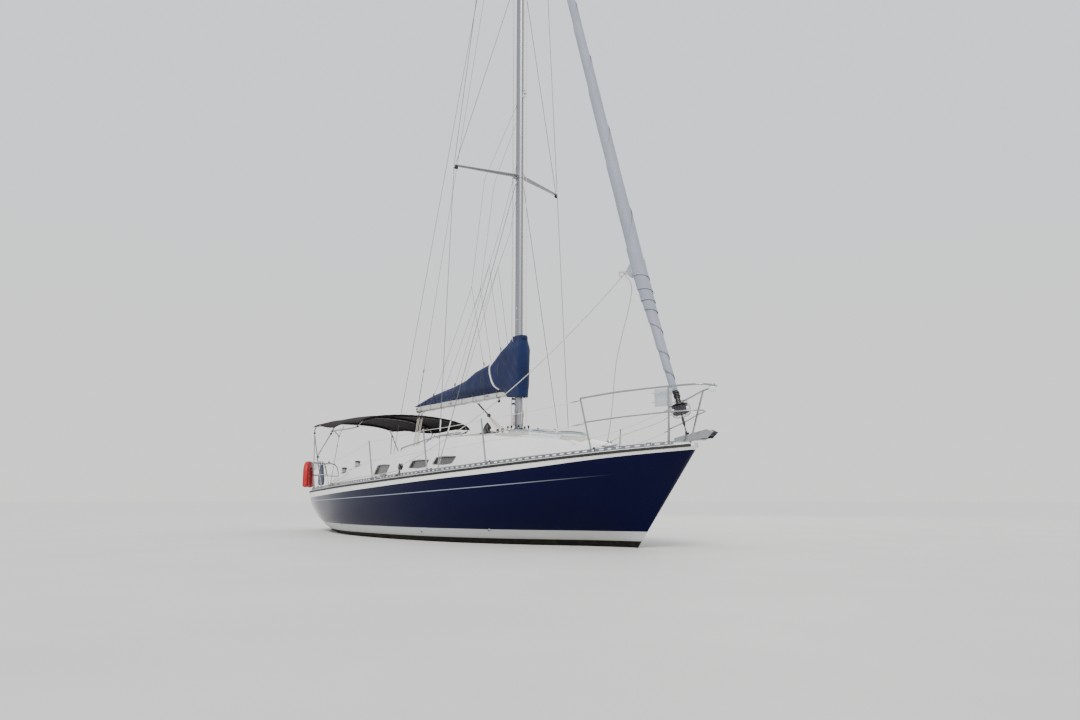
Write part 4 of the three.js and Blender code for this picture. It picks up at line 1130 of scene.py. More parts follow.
def cockpitCanopy():
    rows, places = [], []
    for i in range(canopySet["rows"]):
        x = between(canopyBox[0].x, canopyBox[1].x, i / (canopySet["rows"] - 1))
        row = []
        for k in range(canopySet["across"]):
            part = 2 * k / (canopySet["across"] - 1) - 1
            part = math.sin(part * math.pi / 2) * 0.35 + part * 0.65
            row.append(canopyPoint(x, part))
        rows.append(row)
        places.append([(p.x, p.y * 1.05) for p in row])
    piece = Shape().sheet(rows, places).piece("canopy_cloth", "canopy", sharp=70)
    thicken(piece, canopySet["thick"])
    print("canopy area", round(sum(p.area for p in piece.data.polygons), 2))
    return piece, rows


canopyCloth, canopyRows = cockpitCanopy()


def canopyHems():
    # turned hems along all four sides, with a row of stitches inside them
    shape = Shape()
    rows = canopyRows
    borders = [[r[0] for r in rows], [r[-1] for r in rows], rows[0], rows[-1]]
    inner = [[r[2] for r in rows], [r[-3] for r in rows], rows[2], rows[-3]]
    for line, other in zip(borders, inner):
        path = [a.lerp(b, 0.3) + upBy(0.0004) for a, b in zip(line, other)]
        ups = []
        for a, b, i in zip(line, other, range(len(line))):
            head = line[min(i + 1, len(line) - 1)] - line[max(i - 1, 0)]
            up = head.cross(b - a)
            ups.append(up if up.z > 0 else -up)
        shape.strip(path, canopySet["hem"], 0.0042, ups)
        shape.tube([p + upBy(0.0026) for p in path], 0.0011, 5)
    return shape.piece("canopy_hems", "canopy", sharp=50)


def canopySleeves():
    shape = Shape()
    for x, _ in canopySet["hoops"]:
        half = along(canopyWidths, x)
        path = []
        for k in range(61):
            y = (half - 0.10) * (2 * k / 60 - 1)
            path.append(Vector((x, y, canopyZ(x, y) - 0.020)))
        rings = []
        for i, place in enumerate(path):
            head = (path[min(i + 1, 60)] - path[max(i - 1, 0)]).normalized()
            up = Vector((1, 0, 0)).cross(head)
            up = up if up.z > 0 else -up
            pinch = 1 + 0.05 * math.sin(i * 1.7)
            rings.append([place + Vector((1, 0, 0)) * (0.0225 * pinch * a) + up * (0.0185 * pinch * b)
                          for a, b in
                          ((-1.6, 1.05), (-1.0, 0.1), (-0.75, -0.75), (0, -1.05), (0.75, -0.75),
                           (1.0, 0.1), (1.6, 1.05))])
        shape.rings(rings)
    return shape.piece("canopy_sleeves", "canopy", sharp=60)


hems, sleeves = canopyHems(), canopySleeves()
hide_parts("bimini_canopy")
print("canopy stretched")

# hull and deck edge: perforated toe rails and rub strips

def endsOf(name):
    # the two end centres of a straight bar node, lower one first
    spots = [v.co.copy() for v in nodes[name].data.vertices]
    low, high = min(spots, key=lambda p: p.z), max(spots, key=lambda p: p.z)
    way = (high - low).normalized()
    runs = [p.dot(way) for p in spots]
    first = [p for p, r in zip(spots, runs) if r < min(runs) + 0.02]
    last = [p for p, r in zip(spots, runs) if r > max(runs) - 0.02]
    return sum(first, Vector()) / len(first), sum(last, Vector()) / len(last)


edgeXs = np.linspace(-5.06, 5.06, 120)
edgeHalves = [abs(onSide(x, sheerAt(x) - 0.036, -1)[0].y) for x in edgeXs]


def skinHalf(x):
    return float(np.interp(x, edgeXs, edgeHalves))


toeRail = {"from": -4.85, "to": 4.885, "cell": 0.105, "high": 0.040, "web": 0.005, "foot": 0.026,
           "slot": (0.062, 0.018), "lift": 0.003}


def toeRailPiece(side, name):
    shape = Shape()
    cells = int((toeRail["to"] - toeRail["from"]) / toeRail["cell"])
    reach = (toeRail["to"] - toeRail["from"]) / cells
    slotHalf, slotHigh = toeRail["slot"][0] / 2, toeRail["slot"][1] / 2
    web = toeRail["web"]

    def at(x, up, out):
        y = skinHalf(x) - 0.022 + out
        return Vector((x, side * y, sheerAt(x) + toeRail["lift"] + up))

    for number in range(cells):
        middle = toeRail["from"] + reach * (number + 0.5)
        inner, outer = [], []
        for k in range(12):
            a = 2 * math.pi * (k + 0.5) / 12
            dx = math.copysign(slotHalf - slotHigh, math.cos(a)) + slotHigh * math.cos(a)
            inner.append((dx, toeRail["high"] * 0.56 + slotHigh * math.sin(a)))
            ox = max(-1, min(1, math.cos(a) / 0.62)) * reach / 2
            oz = toeRail["high"] * (0.5 + 0.5 * max(-1, min(1, math.sin(a) / 0.72)))
            outer.append((ox, oz))
        rings = [[at(middle + x, z, -web / 2) for x, z in outer],
                 [at(middle + x, z, -web / 2) for x, z in inner],
                 [at(middle + x, z, web / 2) for x, z in inner],
                 [at(middle + x, z, web / 2) for x, z in outer]]
        shape.rings([rings[k] for k in (0, 1, 2, 3, 0)], caps=False)
    length = 120
    base = [at(between(toeRail["from"], toeRail["to"], k / length), 0.0, 0) for k in range(length + 1)]
    shape.rings([[p + Vector((0, side * dy, dz)) for dy, dz in
                  ((0.003, 0.0), (0.003, 0.004), (-0.004, 0.005), (-toeRail["foot"], 0.003),
                   (-toeRail["foot"], 0.0))]
                 for p in base])
    shape.rings([[p + Vector((0, side * dy, toeRail["high"] + dz)) for dy, dz in
                  ((0.0045, -0.003), (0.0045, 0.001), (0.0, 0.003), (-0.0045, 0.001), (-0.0045, -0.003))]
                 for p in base])
    for x in np.arange(toeRail["from"] + 0.05, toeRail["to"], reach * 2):
        shape.turned(at(x, 0.004, -0.017), upward, ((0, 0.0045), (0.0012, 0.0042), (0.0018, 0.002)), 8)
    # the rail finish is alloy painted darker, a painted shade
    piece = shape.piece("toe_rail_%s_slotted" % name, "rail")
    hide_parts("toe_rail_" + name)
    return piece


def rubStrip(side, name):
    shape = Shape()
    rings = []
    for k in range(141):
        x = between(-5.07, 5.07, k / 140)
        z = sheerAt(x) - 0.026
        y = skinHalf(x)
        fade = smooth(0, 0.04, 5.09 - abs(x)) * 0.9 + 0.1
        rings.append([Vector((x, side * (y + dy * fade), z + dz)) for dy, dz in
                      ((-0.014, -0.0185), (0.005, -0.0185), (0.010, -0.011), (0.0115, 0.0), (0.010, 0.011),
                       (0.005, 0.0185), (-0.010, 0.0185))])
    shape.rings(rings)
    return shape.piece("rub_strip_" + name, "rubber")


for side, name in bothSides:
    toeRailPiece(side, name)
    rubStrip(side, name)


def sternCap():
    # rounded strip along the top of the transom
    shape = Shape()
    half = skinHalf(-5.06)
    path = [Vector((-5.083, y, sheerAt(-5.1) - 0.026)) for y in np.linspace(-half, half, 30)]
    shape.rings([[p + Vector((dx, 0, dz)) for dx, dz in
                  ((0.02, -0.0185), (-0.006, -0.0185), (-0.012, -0.010), (-0.012, 0.010),
                   (-0.006, 0.0185), (0.02, 0.0185))]
                 for p in path])
    return shape.piece("stern_rub_strip", "rubber")


sternCap()
print("deck edge trimmed")

# windows and hatches

windows = {"proud": 0.005, "screws": 12}


def paneMiddles(name):
    # the middle of each pane, seen from the side
    spots = sorted({(round(v.co.x, 4), round(v.co.z, 4)) for v in nodes[name].data.vertices})
    groups, last = [], None
    for x, z in spots:
        if last is None or x - last > 0.12:
            groups.append([])
        groups[-1].append(Vector((x, z, 0)))
        last = x
    return [sum(group, Vector()) / len(group) for group in groups]


def openingRound(middle, side, tree, count=144):
    # the edge of the cut opening in front of a pane, searched outward from the pane's middle
    def isOpen(spot):
        paneSkin, roofSkin = onSide(spot.x, spot.y, side, tree)[0], onSide(spot.x, spot.y, side,
                roofTree)[0]
        return (paneSkin.y - roofSkin.y) * side > 0
    loop = []
    for k in range(count):
        way = Vector((math.cos(2 * math.pi * k / count), math.sin(2 * math.pi * k / count), 0))
        reach = 0.0
        for pace in (0.02, 0.004, 0.0008):
            while reach < 0.6 and isOpen(middle + way * (reach + pace)):
                reach += pace
        loop.append((middle.x + way.x * reach, middle.y + way.y * reach))
    return loop


def roundedLoop(outline, count):
    # closed, evenly stepped path round an outline
    corners = [Vector((x, z, 0)) for x, z in outline]
    run = [0.0]
    for a, b in zip(corners, corners[1:] + corners[:1]):
        run.append(run[-1] + (b - a).length)
    path = []
    for k in range(count):
        at = run[-1] * k / count
        i = max(j for j in range(len(corners)) if run[j] <= at + 1e-9)
        a, b = corners[i], corners[(i + 1) % len(corners)]
        path.append(a.lerp(b, (at - run[i]) / max(run[i + 1] - run[i], 1e-6)))
    return [(p * 2 + path[k - 1] + path[(k + 1) % count]) / 4 for k, p in enumerate(path)]


def windowFrames():
    shape = Shape()
    paneTree = treeOf("coachroof", "window_panes_port", "window_panes_starboard")
    for side, name in bothSides:
        own = treeOf("window_panes_" + name)
        for centre in paneMiddles("window_panes_" + name):
            loop = roundedLoop(openingRound(centre, side, own), 72)
            middle = sum(loop, Vector()) / len(loop)
            rings = []
            for p in loop:
                out = (p - middle).normalized()
                ring = []
                for away, proud in ((-0.007, 0.0), (-0.006, 1.0), (0.004, 1.25), (0.015, 1.0),
                                    (0.017, 0.0), (0.017, -0.5),
                                    (-0.007, -0.5)):
                    spot = p + out * away
                    hit, normal = onSide(spot.x, spot.y, side, paneTree)
                    ring.append(hit + normal * windows["proud"] * proud)
                rings.append(ring)
            shape.rings(rings, loop=True)
            for k in range(windows["screws"]):
                p = loop[int(k * 72 / windows["screws"])]
                spot = p + (p - middle).normalized() * 0.006
                hit, normal = onSide(spot.x, spot.y, side, paneTree)
                shape.turned(hit + normal * 0.0045, normal,
                             ((0, 0.0042), (0.001, 0.004), (0.0016, 0.0022)), 8)
    # the frames take the rail finish, alloy painted darker as painted shade
    return shape.piece("window_frames", "rail")


windowFrames()


def hatchFrames():
    base, lid = Shape(), Shape()
    low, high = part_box("fore_hatch")
    loop = []
    for k in range(64):
        a = 2 * math.pi * k / 64
        cx, cy = math.cos(a), math.sin(a)
        power = 0.28
        loop.append(((low.x + high.x) / 2 + math.copysign(abs(cx) ** power, cx) * (high.x - low.x) / 2,
                     math.copysign(abs(cy) ** power, cy) * (high.y - low.y) / 2))
    lidTree = treeOf("fore_hatch")
    rows = []
    for x, y in loop:
        out = Vector((x - (low.x + high.x) / 2, y, 0)).normalized()
        inside = Vector((x, y, 0)) - out * 0.03
        z = onTop(inside.x, inside.y, 0, lidTree).z
        rows.append([Vector((x, y, 0)) + out * away + upBy(z + up) for away, up in
                     ((-0.034, 0.0), (-0.033, 0.004), (-0.026, 0.0065), (0.001, 0.0065), (0.004, 0.002),
                      (0.004, -0.012),
                      (-0.002, -0.012), (-0.002, -0.002))])
    lid.rings(rows, loop=True)
    for y in (-0.17, 0.17):
        z = onTop(low.x + 0.05, y, 0, lidTree).z
        lid.turned((low.x + 0.055, y, z + 0.002), upward, ((0, 0.016), (0.004, 0.016), (0.007, 0.012),
                                                           (0.014, 0.006),
                                                             (0.018, 0.006)), 16)
        lid.block((low.x + 0.055, y, z + 0.020), (0.05, 0.012, 0.008))
    rows = []
    for x, y in loop:
        out = Vector((x - (low.x + high.x) / 2, y, 0)).normalized()
        spot = Vector((x, y, 0)) + out * 0.012
        z = onRoof(x + out.x * 0.03, y + out.y * 0.03).z
        rows.append([Vector((x, y, 0)) + out * away + upBy(z + up) for away, up in
                     ((0.006, -0.01), (0.006, 0.008), (0.012, 0.011), (0.024, 0.006), (0.028, -0.002),
                      (0.028, -0.01))])
    base.rings(rows, loop=True)
    for y in (-0.2, 0.2):
        z = onRoof(high.x + 0.02, y).z
        base.block((high.x + 0.012, y, z + 0.012), (0.03, 0.05, 0.022), soften=0.3)
    lidPiece = lid.piece("fore_hatch_frame", "alloy", "fore_hatch")
    basePiece = base.piece("fore_hatch_coaming", "board")
    return lidPiece, basePiece


hatchFrames()
print("windows and hatches framed")

# non-skid pads

pads = {"lift": 0.0012, "thick": 0.0016, "round": 0.07, "gap": 0.045, "rim": 0.13}


def padPiece(name, strips, tree=topTree, body="hull"):
    # each strip: x range, then the two side tables that bound it
    shape = Shape()
    for x0, x1, inner, outer in strips:
        count = max(6, int((x1 - x0) / 0.045))
        rows = []
        for i in range(count + 1):
            x = between(x0, x1, i / count)
            a, b = inner(x), outer(x)
            end = min(x - x0, x1 - x) / pads["round"]
            squeeze = pads["round"] * (1
                                       - math.sqrt(max(0.0, 1 - (1 - min(1, end)) ** 2))) if end < 1 else 0
            squeeze = min(squeeze, abs(b - a) * 0.45)
            a, b = (a + squeeze, b - squeeze) if b > a else (a - squeeze, b + squeeze)
            across = max(4, int(max(abs(outer(between(x0, x1, t)) - inner(between(x0, x1, t)))
                                    for t in (0, 0.5, 1)) / 0.07) + 1)
            rows.append([onTop(x, between(a, b, k / across), pads["lift"] + pads["thick"], tree)
                         for k in range(across + 1)])
        shape.sheet(rows)
    made = shape.piece(name, "pad", body, sharp=50)
    if made.data.polygons[0].normal.z < 0:
        made.data.flip_normals()
    thicken(made, pads["thick"])
    return made


def footOf(x, tree):
    # how far out a house stands on the deck
    return max(abs(onSide(x, sheerAt(x) + rise, -1, tree)[0].y) for rise in np.linspace(-0.04, 0.16, 11))


roofSide = [(x, footOf(x, roofTree)) for x in np.linspace(-1.88, 3.62, 40)]
coamingTree = treeOf("coaming_port", "coaming_starboard")
coamSide = [(x, footOf(x, coamingTree)) for x in np.linspace(-4.0, -1.95, 16)]


def besideHouse(x):
    return along(roofSide if x > -1.9 else coamSide, x) + pads["gap"]


strips = []
for side in (1, -1):
    for x0, x1 in ((-3.2, -2.3), (-2.22, -1.3), (-1.22, -0.3), (-0.22, 0.7), (0.78, 1.7), (1.78, 2.7)):
        strips.append((x0, x1, lambda x, s=side: s * besideHouse(x), lambda x,
                       s=side: s * (skinHalf(x) - pads["rim"])))
    strips.append((2.78, 3.66, lambda x, s=side: s * besideHouse(x), lambda x,
                   s=side: s * (skinHalf(x) - pads["rim"])))
    strips.append((3.78, 4.5, lambda x, s=side: s * 0.04, lambda x,
                   s=side: s * max(skinHalf(x) - 0.14, 0.06)))
    strips.append((-4.98, -4.2, lambda x, s=side: s * 0.16, lambda x, s=side: s * (skinHalf(x) - 0.17)))
padPiece("deck_pads", strips, deckTree)
strips = []
for side in (1, -1):
    for x0, x1, a, b in ((-1.05, -0.60, 0.43, 0.72), (-0.52, 0.1, 0.03, 0.72), (0.18, 1.12, 0.03, 0.68),
                         (2.76, 3.2, 0.03, 0.42)):
        strips.append((x0, x1, lambda x, s=side, a=a: s * a, lambda x, s=side,
                       b=b: s * (b - 0.06 * smooth(0.4, 3.2, x))))
    strips.append((1.46, 1.95, lambda x, s=side: s * 0.03, lambda x, s=side: s * 0.60))
padPiece("roof_pads", strips, roofTree)
print("pads laid")

# standing rigging's ends

def rigEnds():
    steelParts, plates = Shape(), Shape()
    names = ["cap_shroud_low", "intermediate_shroud", "lower_shroud"]
    wires = [n + "_" + s for n in names for s in sides if n + "_" + s in nodes] + ["backstay"]
    for name in wires:
        foot, head = endsOf(name)
        if foot.z > 3:
            continue
        way = (head - foot).normalized()
        deck = onDeck(foot.x, foot.y)
        # a flat plate, a fork, an open-bodied screw and a swaged terminal
        plates.block(Vector((foot.x, foot.y, deck.z)) + way * 0.014, (0.040, 0.006, 0.062), up=way,
                     soften=0.4)
        plates.block((foot.x, foot.y, deck.z + 0.003), (0.090, 0.045, 0.005), soften=0.45)
        steelParts.turned(foot + way * 0.030, way, ((0, 0.007), (0.008, 0.011), (0.020, 0.011),
                                                    (0.030, 0.007), (0.085, 0.0065)), 12)
        for turn in (0, math.pi):
            side = Vector((1, 0, 0)) * math.cos(turn)
            path = [foot + way * run + side * off for run,
                    off in ((0.078, 0.004), (0.090, 0.0115), (0.178, 0.0115), (0.190, 0.004))]
            steelParts.tube(path, 0.0048, 8)
        steelParts.turned(foot + way * 0.070, way, ((0, 0.006), (0.003, 0.0105), (0.018, 0.0105),
                                                    (0.022, 0.006)), 12)
        steelParts.turned(foot + way * 0.176, way, ((0, 0.006), (0.003, 0.0105), (0.018, 0.0105),
                                                    (0.022, 0.006)), 12)
        steelParts.turned(foot + way * 0.196, way, ((0, 0.0065), (0.030, 0.0065), (0.035, 0.0078),
                                                    (0.085, 0.0072), (0.092, 0.005)), 12)
        ringAt = foot + way * 0.13
        steelParts.tube([ringAt + Vector((0.013 * math.cos(a), 0.013 * math.sin(a),
                                          0.0015 * math.sin(2 * a)))
                         for a in circle(12)], 0.0014, 6, loop=True)
    for name in [n for n in nodes if "shroud" in n or n in ("forestay", "backstay")]:
        foot, head = endsOf(name)
        way = (foot - head).normalized()
        steelParts.turned(head, way, ((0.0, 0.0065), (0.02, 0.0078), (0.09, 0.0072), (0.098, 0.004)), 12)
        if foot.z > 3:
            steelParts.turned(foot, -way, ((0.0, 0.0065), (0.01, 0.0074), (0.05, 0.007), (0.056, 0.004)),
                              12)
    plates.piece("chain_plates", "steel")
    return steelParts.piece("rigging_screws", "steel")


rigEnds()
print("rigging screws set")

# stanchion feet and lifelines

lifeline = {"sleeve": 0.0036, "high": 0.635, "low": 0.335, "sag": 0.012}


def lifelines():
    lines, feet = Shape(), Shape()
    for side, name in bothSides:
        posts = []
        for number in (1, 2, 3):
            foot, head = endsOf("stanchion_%d_%s" % (number, name))
            posts.append((foot, head))
            way = (head - foot).normalized()
            feet.turned(foot + way * -0.004, way, ((0, 0.019), (0.075, 0.0185), (0.080, 0.016)), 16)
            base = onDeck(foot.x, foot.y)
            feet.block((foot.x, foot.y, base.z + 0.004), (0.105, 0.075, 0.007), soften=0.5)
            for dx in (-0.04, 0.04):
                for dy in (-0.026, 0.026):
                    feet.turned((foot.x + dx, foot.y + dy, base.z + 0.007), upward,
                                ((0, 0.006), (0.0015, 0.0055), (0.0025, 0.003)), 8)
            feet.turned(foot + way * ((head - foot).length - 0.006), way,
                        ((0, 0.0135), (0.007, 0.0135), (0.012, 0.010), (0.014, 0.004)), 14)
            feet.turned(foot + way * (lifeline["low"] - 0.012), way,
                        ((0, 0.0128), (0.002, 0.0150), (0.020, 0.0150), (0.022, 0.0128)), 14)
        for level, startTie, endTie in (
                ("high", Vector((-3.57, side * 1.246, 1.318)), Vector((3.868, side * 0.848, 1.93))),
                ("low", Vector((-3.475, side * 1.248, 1.128)), Vector((3.893, side * 0.824, 1.62)))):
            knots = [startTie]
            for foot, head in posts:
                way = (head - foot).normalized()
                knots.append(foot + way * (lifeline[level] if level == "low" else (head - foot).length
                                           - 0.018))
            knots.append(endTie)
            for number, (a, b) in enumerate(zip(knots, knots[1:])):
                droop = lifeline["sag"] + 0.020 * (number == 0) + 0.012 * (level == "low")
                lines.use(0).tube(hanging(a, b, droop, 19), lifeline["sleeve"], 8)
            for tie, other in ((knots[0], knots[1]), (knots[-1], knots[-2])):
                way = (other - tie).normalized()
                lines.use(1).turned(tie, way, ((0, 0.004), (0.006, 0.009), (0.018, 0.009),
                                               (0.024, 0.0055), (0.060, 0.0055),
                                               (0.062, 0.0085), (0.120, 0.0085), (0.122, 0.005),
                                               (0.170, 0.0046)), 10)
    feet.piece("stanchion_feet", "steel")
    return lines.piece("lifelines", "lifeline steel")


finish["lifeline"] = plastic("lifeline_cover", tone(206, 206, 202), 0.45, 400)
lifelines()
print("lifelines strung")

# small fittings that many pieces use

def screwHeads(shape, places, way, size=0.0045):
    for place in places:
        shape.turned(place, way, ((0, size), (size * 0.3, size * 0.93), (size * 0.45, size * 0.5)), 8)


def eye(shape, centre, across, radius, wire):
    # a ring of bent rod, seen open along across
    across = Vector(across).normalized()
    side = across.orthogonal().normalized()
    up = across.cross(side)
    shape.tube([Vector(centre) + (side * math.cos(a) + up * math.sin(a)) * radius
                for a in circle(16)], wire, 8, loop=True)


def pulley(shape, centre, head, across, size=0.05, cheeks=0, strap=1):
    # a rope block whose eye points along head and whose pin lies along across
    centre, head, across = Vector(centre), Vector(head).normalized(), Vector(across)
    across = (across - head * across.dot(head)).normalized()
    turn = head.cross(across)
    for out in (-1, 1):
        shape.use(cheeks).turned(centre + across * out * size * 0.17, across * out,
                                 ((0, size * 0.46), (size * 0.06, size * 0.5), (size * 0.12, size * 0.44),
                                  (size * 0.15, size * 0.2)), 20, 1.3, across=turn)
    shape.turned(centre - across * size * 0.16, across,
                 ((0, size * 0.42), (size * 0.07, size * 0.33), (size * 0.25, size * 0.33),
                  (size * 0.32, size * 0.42)), 20)
    shape.use(strap).turned(centre - across * size * 0.34, across,
                            ((0, size * 0.10), (size * 0.02, size * 0.13), (size * 0.66, size * 0.13),
                             (size * 0.68, size * 0.10)), 12)
    shape.block(centre + head * size * 0.45, (size * 0.44, size * 0.26, size * 0.5), ahead=across,
                up=head, soften=0.35)
    eye(shape, centre + head * size * 0.80, across, size * 0.17, size * 0.055)


def cleat(shape, place, ahead, up, length):
    place, ahead, up = Vector(place), Vector(ahead).normalized(), Vector(up).normalized()
    for run in (-0.16, 0.16):
        shape.turned(place + ahead * run * length, up, ((0, length * 0.09), (length * 0.04, length * 0.07),
                                                        (length * 0.2, length * 0.055),
                                                        (length * 0.24, length * 0.06)), 12)
    spots = np.linspace(-1, 1, 15)
    shape.tube([place + ahead * (run * length / 2) + up * length * (0.25 + 0.06 * run * run)
                for run in spots],
               [length * (0.058 - 0.036 * run ** 4) for run in spots], 10)
    shape.block(place + up * length * 0.012, (length * 0.62, length * 0.24, length * 0.03), ahead=ahead,
                up=up, soften=0.45)


# horseshoe buoy: foam in a sewn vinyl cover, hung over its bracket on the pushpit
buoy = {"centre": (-5.010, -1.010, 1.175), "turn": -0.66, "bend": 0.1575, "bendUp": 0.055, "legs": -0.282,
        "width": 0.136, "thick": 0.112, "piping": 0.0034}
buoySide = Vector((math.cos(buoy["turn"]), math.sin(buoy["turn"]), 0))
buoyOut = Vector((math.sin(buoy["turn"]), -math.cos(buoy["turn"]), 0))


def buoyAt(side, up, out=0.0):
    return Vector(buoy["centre"]) + buoySide * side + upBy(up) + buoyOut * out


def buoySpine(count):
    bend, up = buoy["bend"], buoy["bendUp"]
    points = [(bend, z) for z in np.linspace(buoy["legs"], up, 8)[:-1]]
    points += [(bend * math.cos(a), up + bend * math.sin(a)) for a in np.linspace(0, math.pi, 17)]
    points += [(-bend, z) for z in np.linspace(up, buoy["legs"], 8)[1:]]
    return curveThrough([(s, 0, z) for s, z in points], count)


def buoySection(spine, i, across, through, grow=1.0):
    # across runs over the ring's width, through its thickness, both from -1 to 1
    ahead = (spine[min(i + 1, len(spine) - 1)] - spine[max(i - 1, 0)]).normalized()
    wide = Vector((ahead.z, 0, -ahead.x))
    end = min(i, len(spine) - 1 - i) / (len(spine) - 1) * 0.96
    close = math.sqrt(max(0.02, 1 - max(0.0, 1 - end / 0.035) ** 2))
    spot = spine[i] + wide * across * buoy["width"] / 2 * close * grow
    return buoyAt(spot.x, spot.z, through * buoy["thick"] / 2 * close * grow)


def horseshoeBuoy():
    spine = buoySpine(96)
    shape, rings = Shape(), []
    for i in range(len(spine)):
        ring = []
        for k in range(32):
            a = 2 * math.pi * k / 32
            c, s = math.cos(a), math.sin(a)
            across, through = math.copysign(abs(c) ** 0.55, c), math.copysign(abs(s) ** 0.62, s)
            corner = abs(c * s) * 2
            pucker = 1 - 0.030 * corner ** 3 * (0.5 + 0.5 * math.sin(i * 1.9)) - 0.02 * (1
                    - corner) * math.cos(i * 0.31) ** 2
            ring.append(buoySection(spine, i, across, through, pucker))
        rings.append(ring)
    body = shape.rings(rings).piece("horseshoe_buoy_cover", "vinyl", sharp=60)
    trim = Shape()
    for across in (-0.86, 0.86):
        for through in (-0.86, 0.86):
            path = [buoySection(spine, i, across, through) for i in range(1, len(spine) - 1)]
            trim.use(0).tube(path, buoy["piping"], 7)
    # grab line looped round the outer edge
    line = []
    for i in range(10, 87):
        dip = abs(math.sin((i - 10) / 76 * math.pi * 4))
        line.append(buoySection(spine, i, -1.04 - 0.10 * dip, 0.15))
    trim.use(2).tube(line, 0.0042, 7)
    for i in (10, 29, 48, 67, 86):
        trim.use(3).turned(buoySection(spine, i, -0.98, 0.15), buoySection(spine, i, -2, 0.15)
                           - buoySection(spine, i, -1, 0.15),
                           ((0, 0.011), (0.004, 0.010), (0.007, 0.004)), 12)
    # bracket: two rods from the rail, under the arch and turned up in front
    for side in (-0.055, 0.055):
        path = [buoyAt(side, up, out) for out, up in ((-0.19, 0.235), (-0.165, 0.20), (-0.15, 0.12),
                                                      (-0.10, 0.088),
                                                      (0.0, 0.086), (0.070, 0.088), (0.085, 0.11),
                                                      (0.086, 0.14))]
        trim.use(3).tube(curveThrough(path, 30), 0.0048, 8)
    for up in (0.12, 0.20):
        trim.tube([buoyAt(-0.055, up, -0.158), buoyAt(0.055, up, -0.158)], 0.004, 8)
    extras = trim.piece("horseshoe_buoy_trim", "vinylTrim reflect rope steel", sharp=45)
    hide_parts("horseshoe_buoy")
    return body, extras


finish["vinylTrim"] = plastic("vinyl_piping", tone(120, 12, 20), 0.45, 500)
finish["reflect"] = plastic("reflecting_tape", tone(206, 208, 210), 0.3, 900)
horseshoeBuoy()

# slim grey-blue line bag, hung inside the pushpit's corner
bagSet = {"hang": (-4.925, -0.795, 1.42), "ahead": (-0.56, 0.83, 0), "half": 0.072, "thick": 0.052,
          "long": 0.45}


def lineBag():
    ahead = Vector(bagSet["ahead"]).normalized()
    inward = upBy(1).cross(ahead)
    inward = inward if inward.x > 0 else -inward
    hang = Vector(bagSet["hang"])
    rings, count = [], 44
    for i in range(count + 1):
        part = i / count
        fall = -0.035 - bagSet["long"] * part
        half = bagSet["half"] * (0.78 + 0.24 * smooth(0.0, 0.5, part)) * math.sqrt(max(0.02,
                1 - max(0, (part - 0.93) / 0.07) ** 2))
        full = bagSet["thick"] * (0.35 + 0.75 * smooth(0.0, 0.75, part)) * math.sqrt(max(0.02,
                1 - max(0, (part - 0.9) / 0.1) ** 2))
        ring = []
        for k in range(28):
            a = 2 * math.pi * k / 28
            c, s = math.cos(a), math.sin(a)
            bulge = 1 + 0.10 * noise.noise(Vector((part * 5, c * 1.5,
                                                   s * 1.5))) + 0.03 * math.sin(part * 60 + 2 * c) * (1
                                                           - part)
            ring.append(hang + upBy(fall) + ahead * math.copysign(abs(c) ** 0.8, c) * half * bulge
                        + inward * (0.052 + math.copysign(abs(s) ** 0.9, s) * full * bulge))
        rings.append(ring)
    bag = Shape().rings(rings).piece("line_bag", "bag", sharp=70)
    trim = Shape()
    for run in (-0.045, 0.045):
        path = [hang + ahead * run + inward * out + upBy(up) for out, up in
                ((0.060, -0.20), (0.066, -0.10), (0.040, -0.03), (0.024, 0.004), (0.0, 0.019),
                 (-0.020, 0.006), (-0.016, -0.02),
                 (0.010, -0.045), (0.026, -0.09))]
        fine = curveThrough(path, 36)
        trim.use(0).strip(fine, 0.024, 0.0022, [(fine[min(k + 1, 35)] - fine[max(k - 1, 0)]).cross(ahead)
                                                for k in range(36)])
        trim.use(1).block(hang + ahead * run + inward * 0.069 + upBy(-0.135), (0.032, 0.006, 0.022),
                          ahead=ahead, soften=0.4)
    seam = [rings[k][7] + inward * 0.002 for k in range(0, count, 2)]
    trim.use(0).strip(seam, 0.014, 0.002, inward)
    trim.piece("line_bag_straps", "webbing black", sharp=50)
    return bag


finish["webbing"] = cloth("black_webbing", tone(30, 31, 34), tone(46, 47, 50), 0.0016)
lineBag()
print("buoy and bag hung")

# mast and boom furniture
mastTree, boomTree = treeOf("mast"), treeOf("boom")


def onMast(z, way, tree=mastTree, x=mastX, y=0.0):
    # point of the mast's skin at height z, met from the side that way points to
    way = Vector(way).normalized()
    hit = tree.ray_cast(Vector((x, y, z)) + way * 0.6, -way)
    return hit[0] if hit[0] else Vector((x, y, z)) + way * 0.06


mastGear = {"track": (1.96, 13.15), "steaming": 7.65, "collarHigh": 0.085,
            "spreaders": ((6.14, 1.10, 0.35), (10.05, 0.73, 0.155))}


def mastTrack():
    shape = Shape()
    levels = np.linspace(*mastGear["track"], 60)
    back = [onMast(z, (-1, 0, 0)) for z in levels]
    for y in (-0.009, 0.009):
        shape.rings([[p + Vector((dx, y + dy, 0)) for dx,
                      dy in ((0.004, -0.004), (-0.007, -0.004), (-0.010, -0.001),
                                                                (-0.010, 0.002), (-0.007, 0.004),
                                                                (0.004, 0.004))] for p in back])
    for z in np.arange(2.2, 13.0, 0.9):
        screwHeads(shape, [onMast(z, (-0.35, side, 0)) for side in (-1, 1)], upward, 0.0001)
    return shape.piece("mast_track", "boomAlloy", sharp=35)


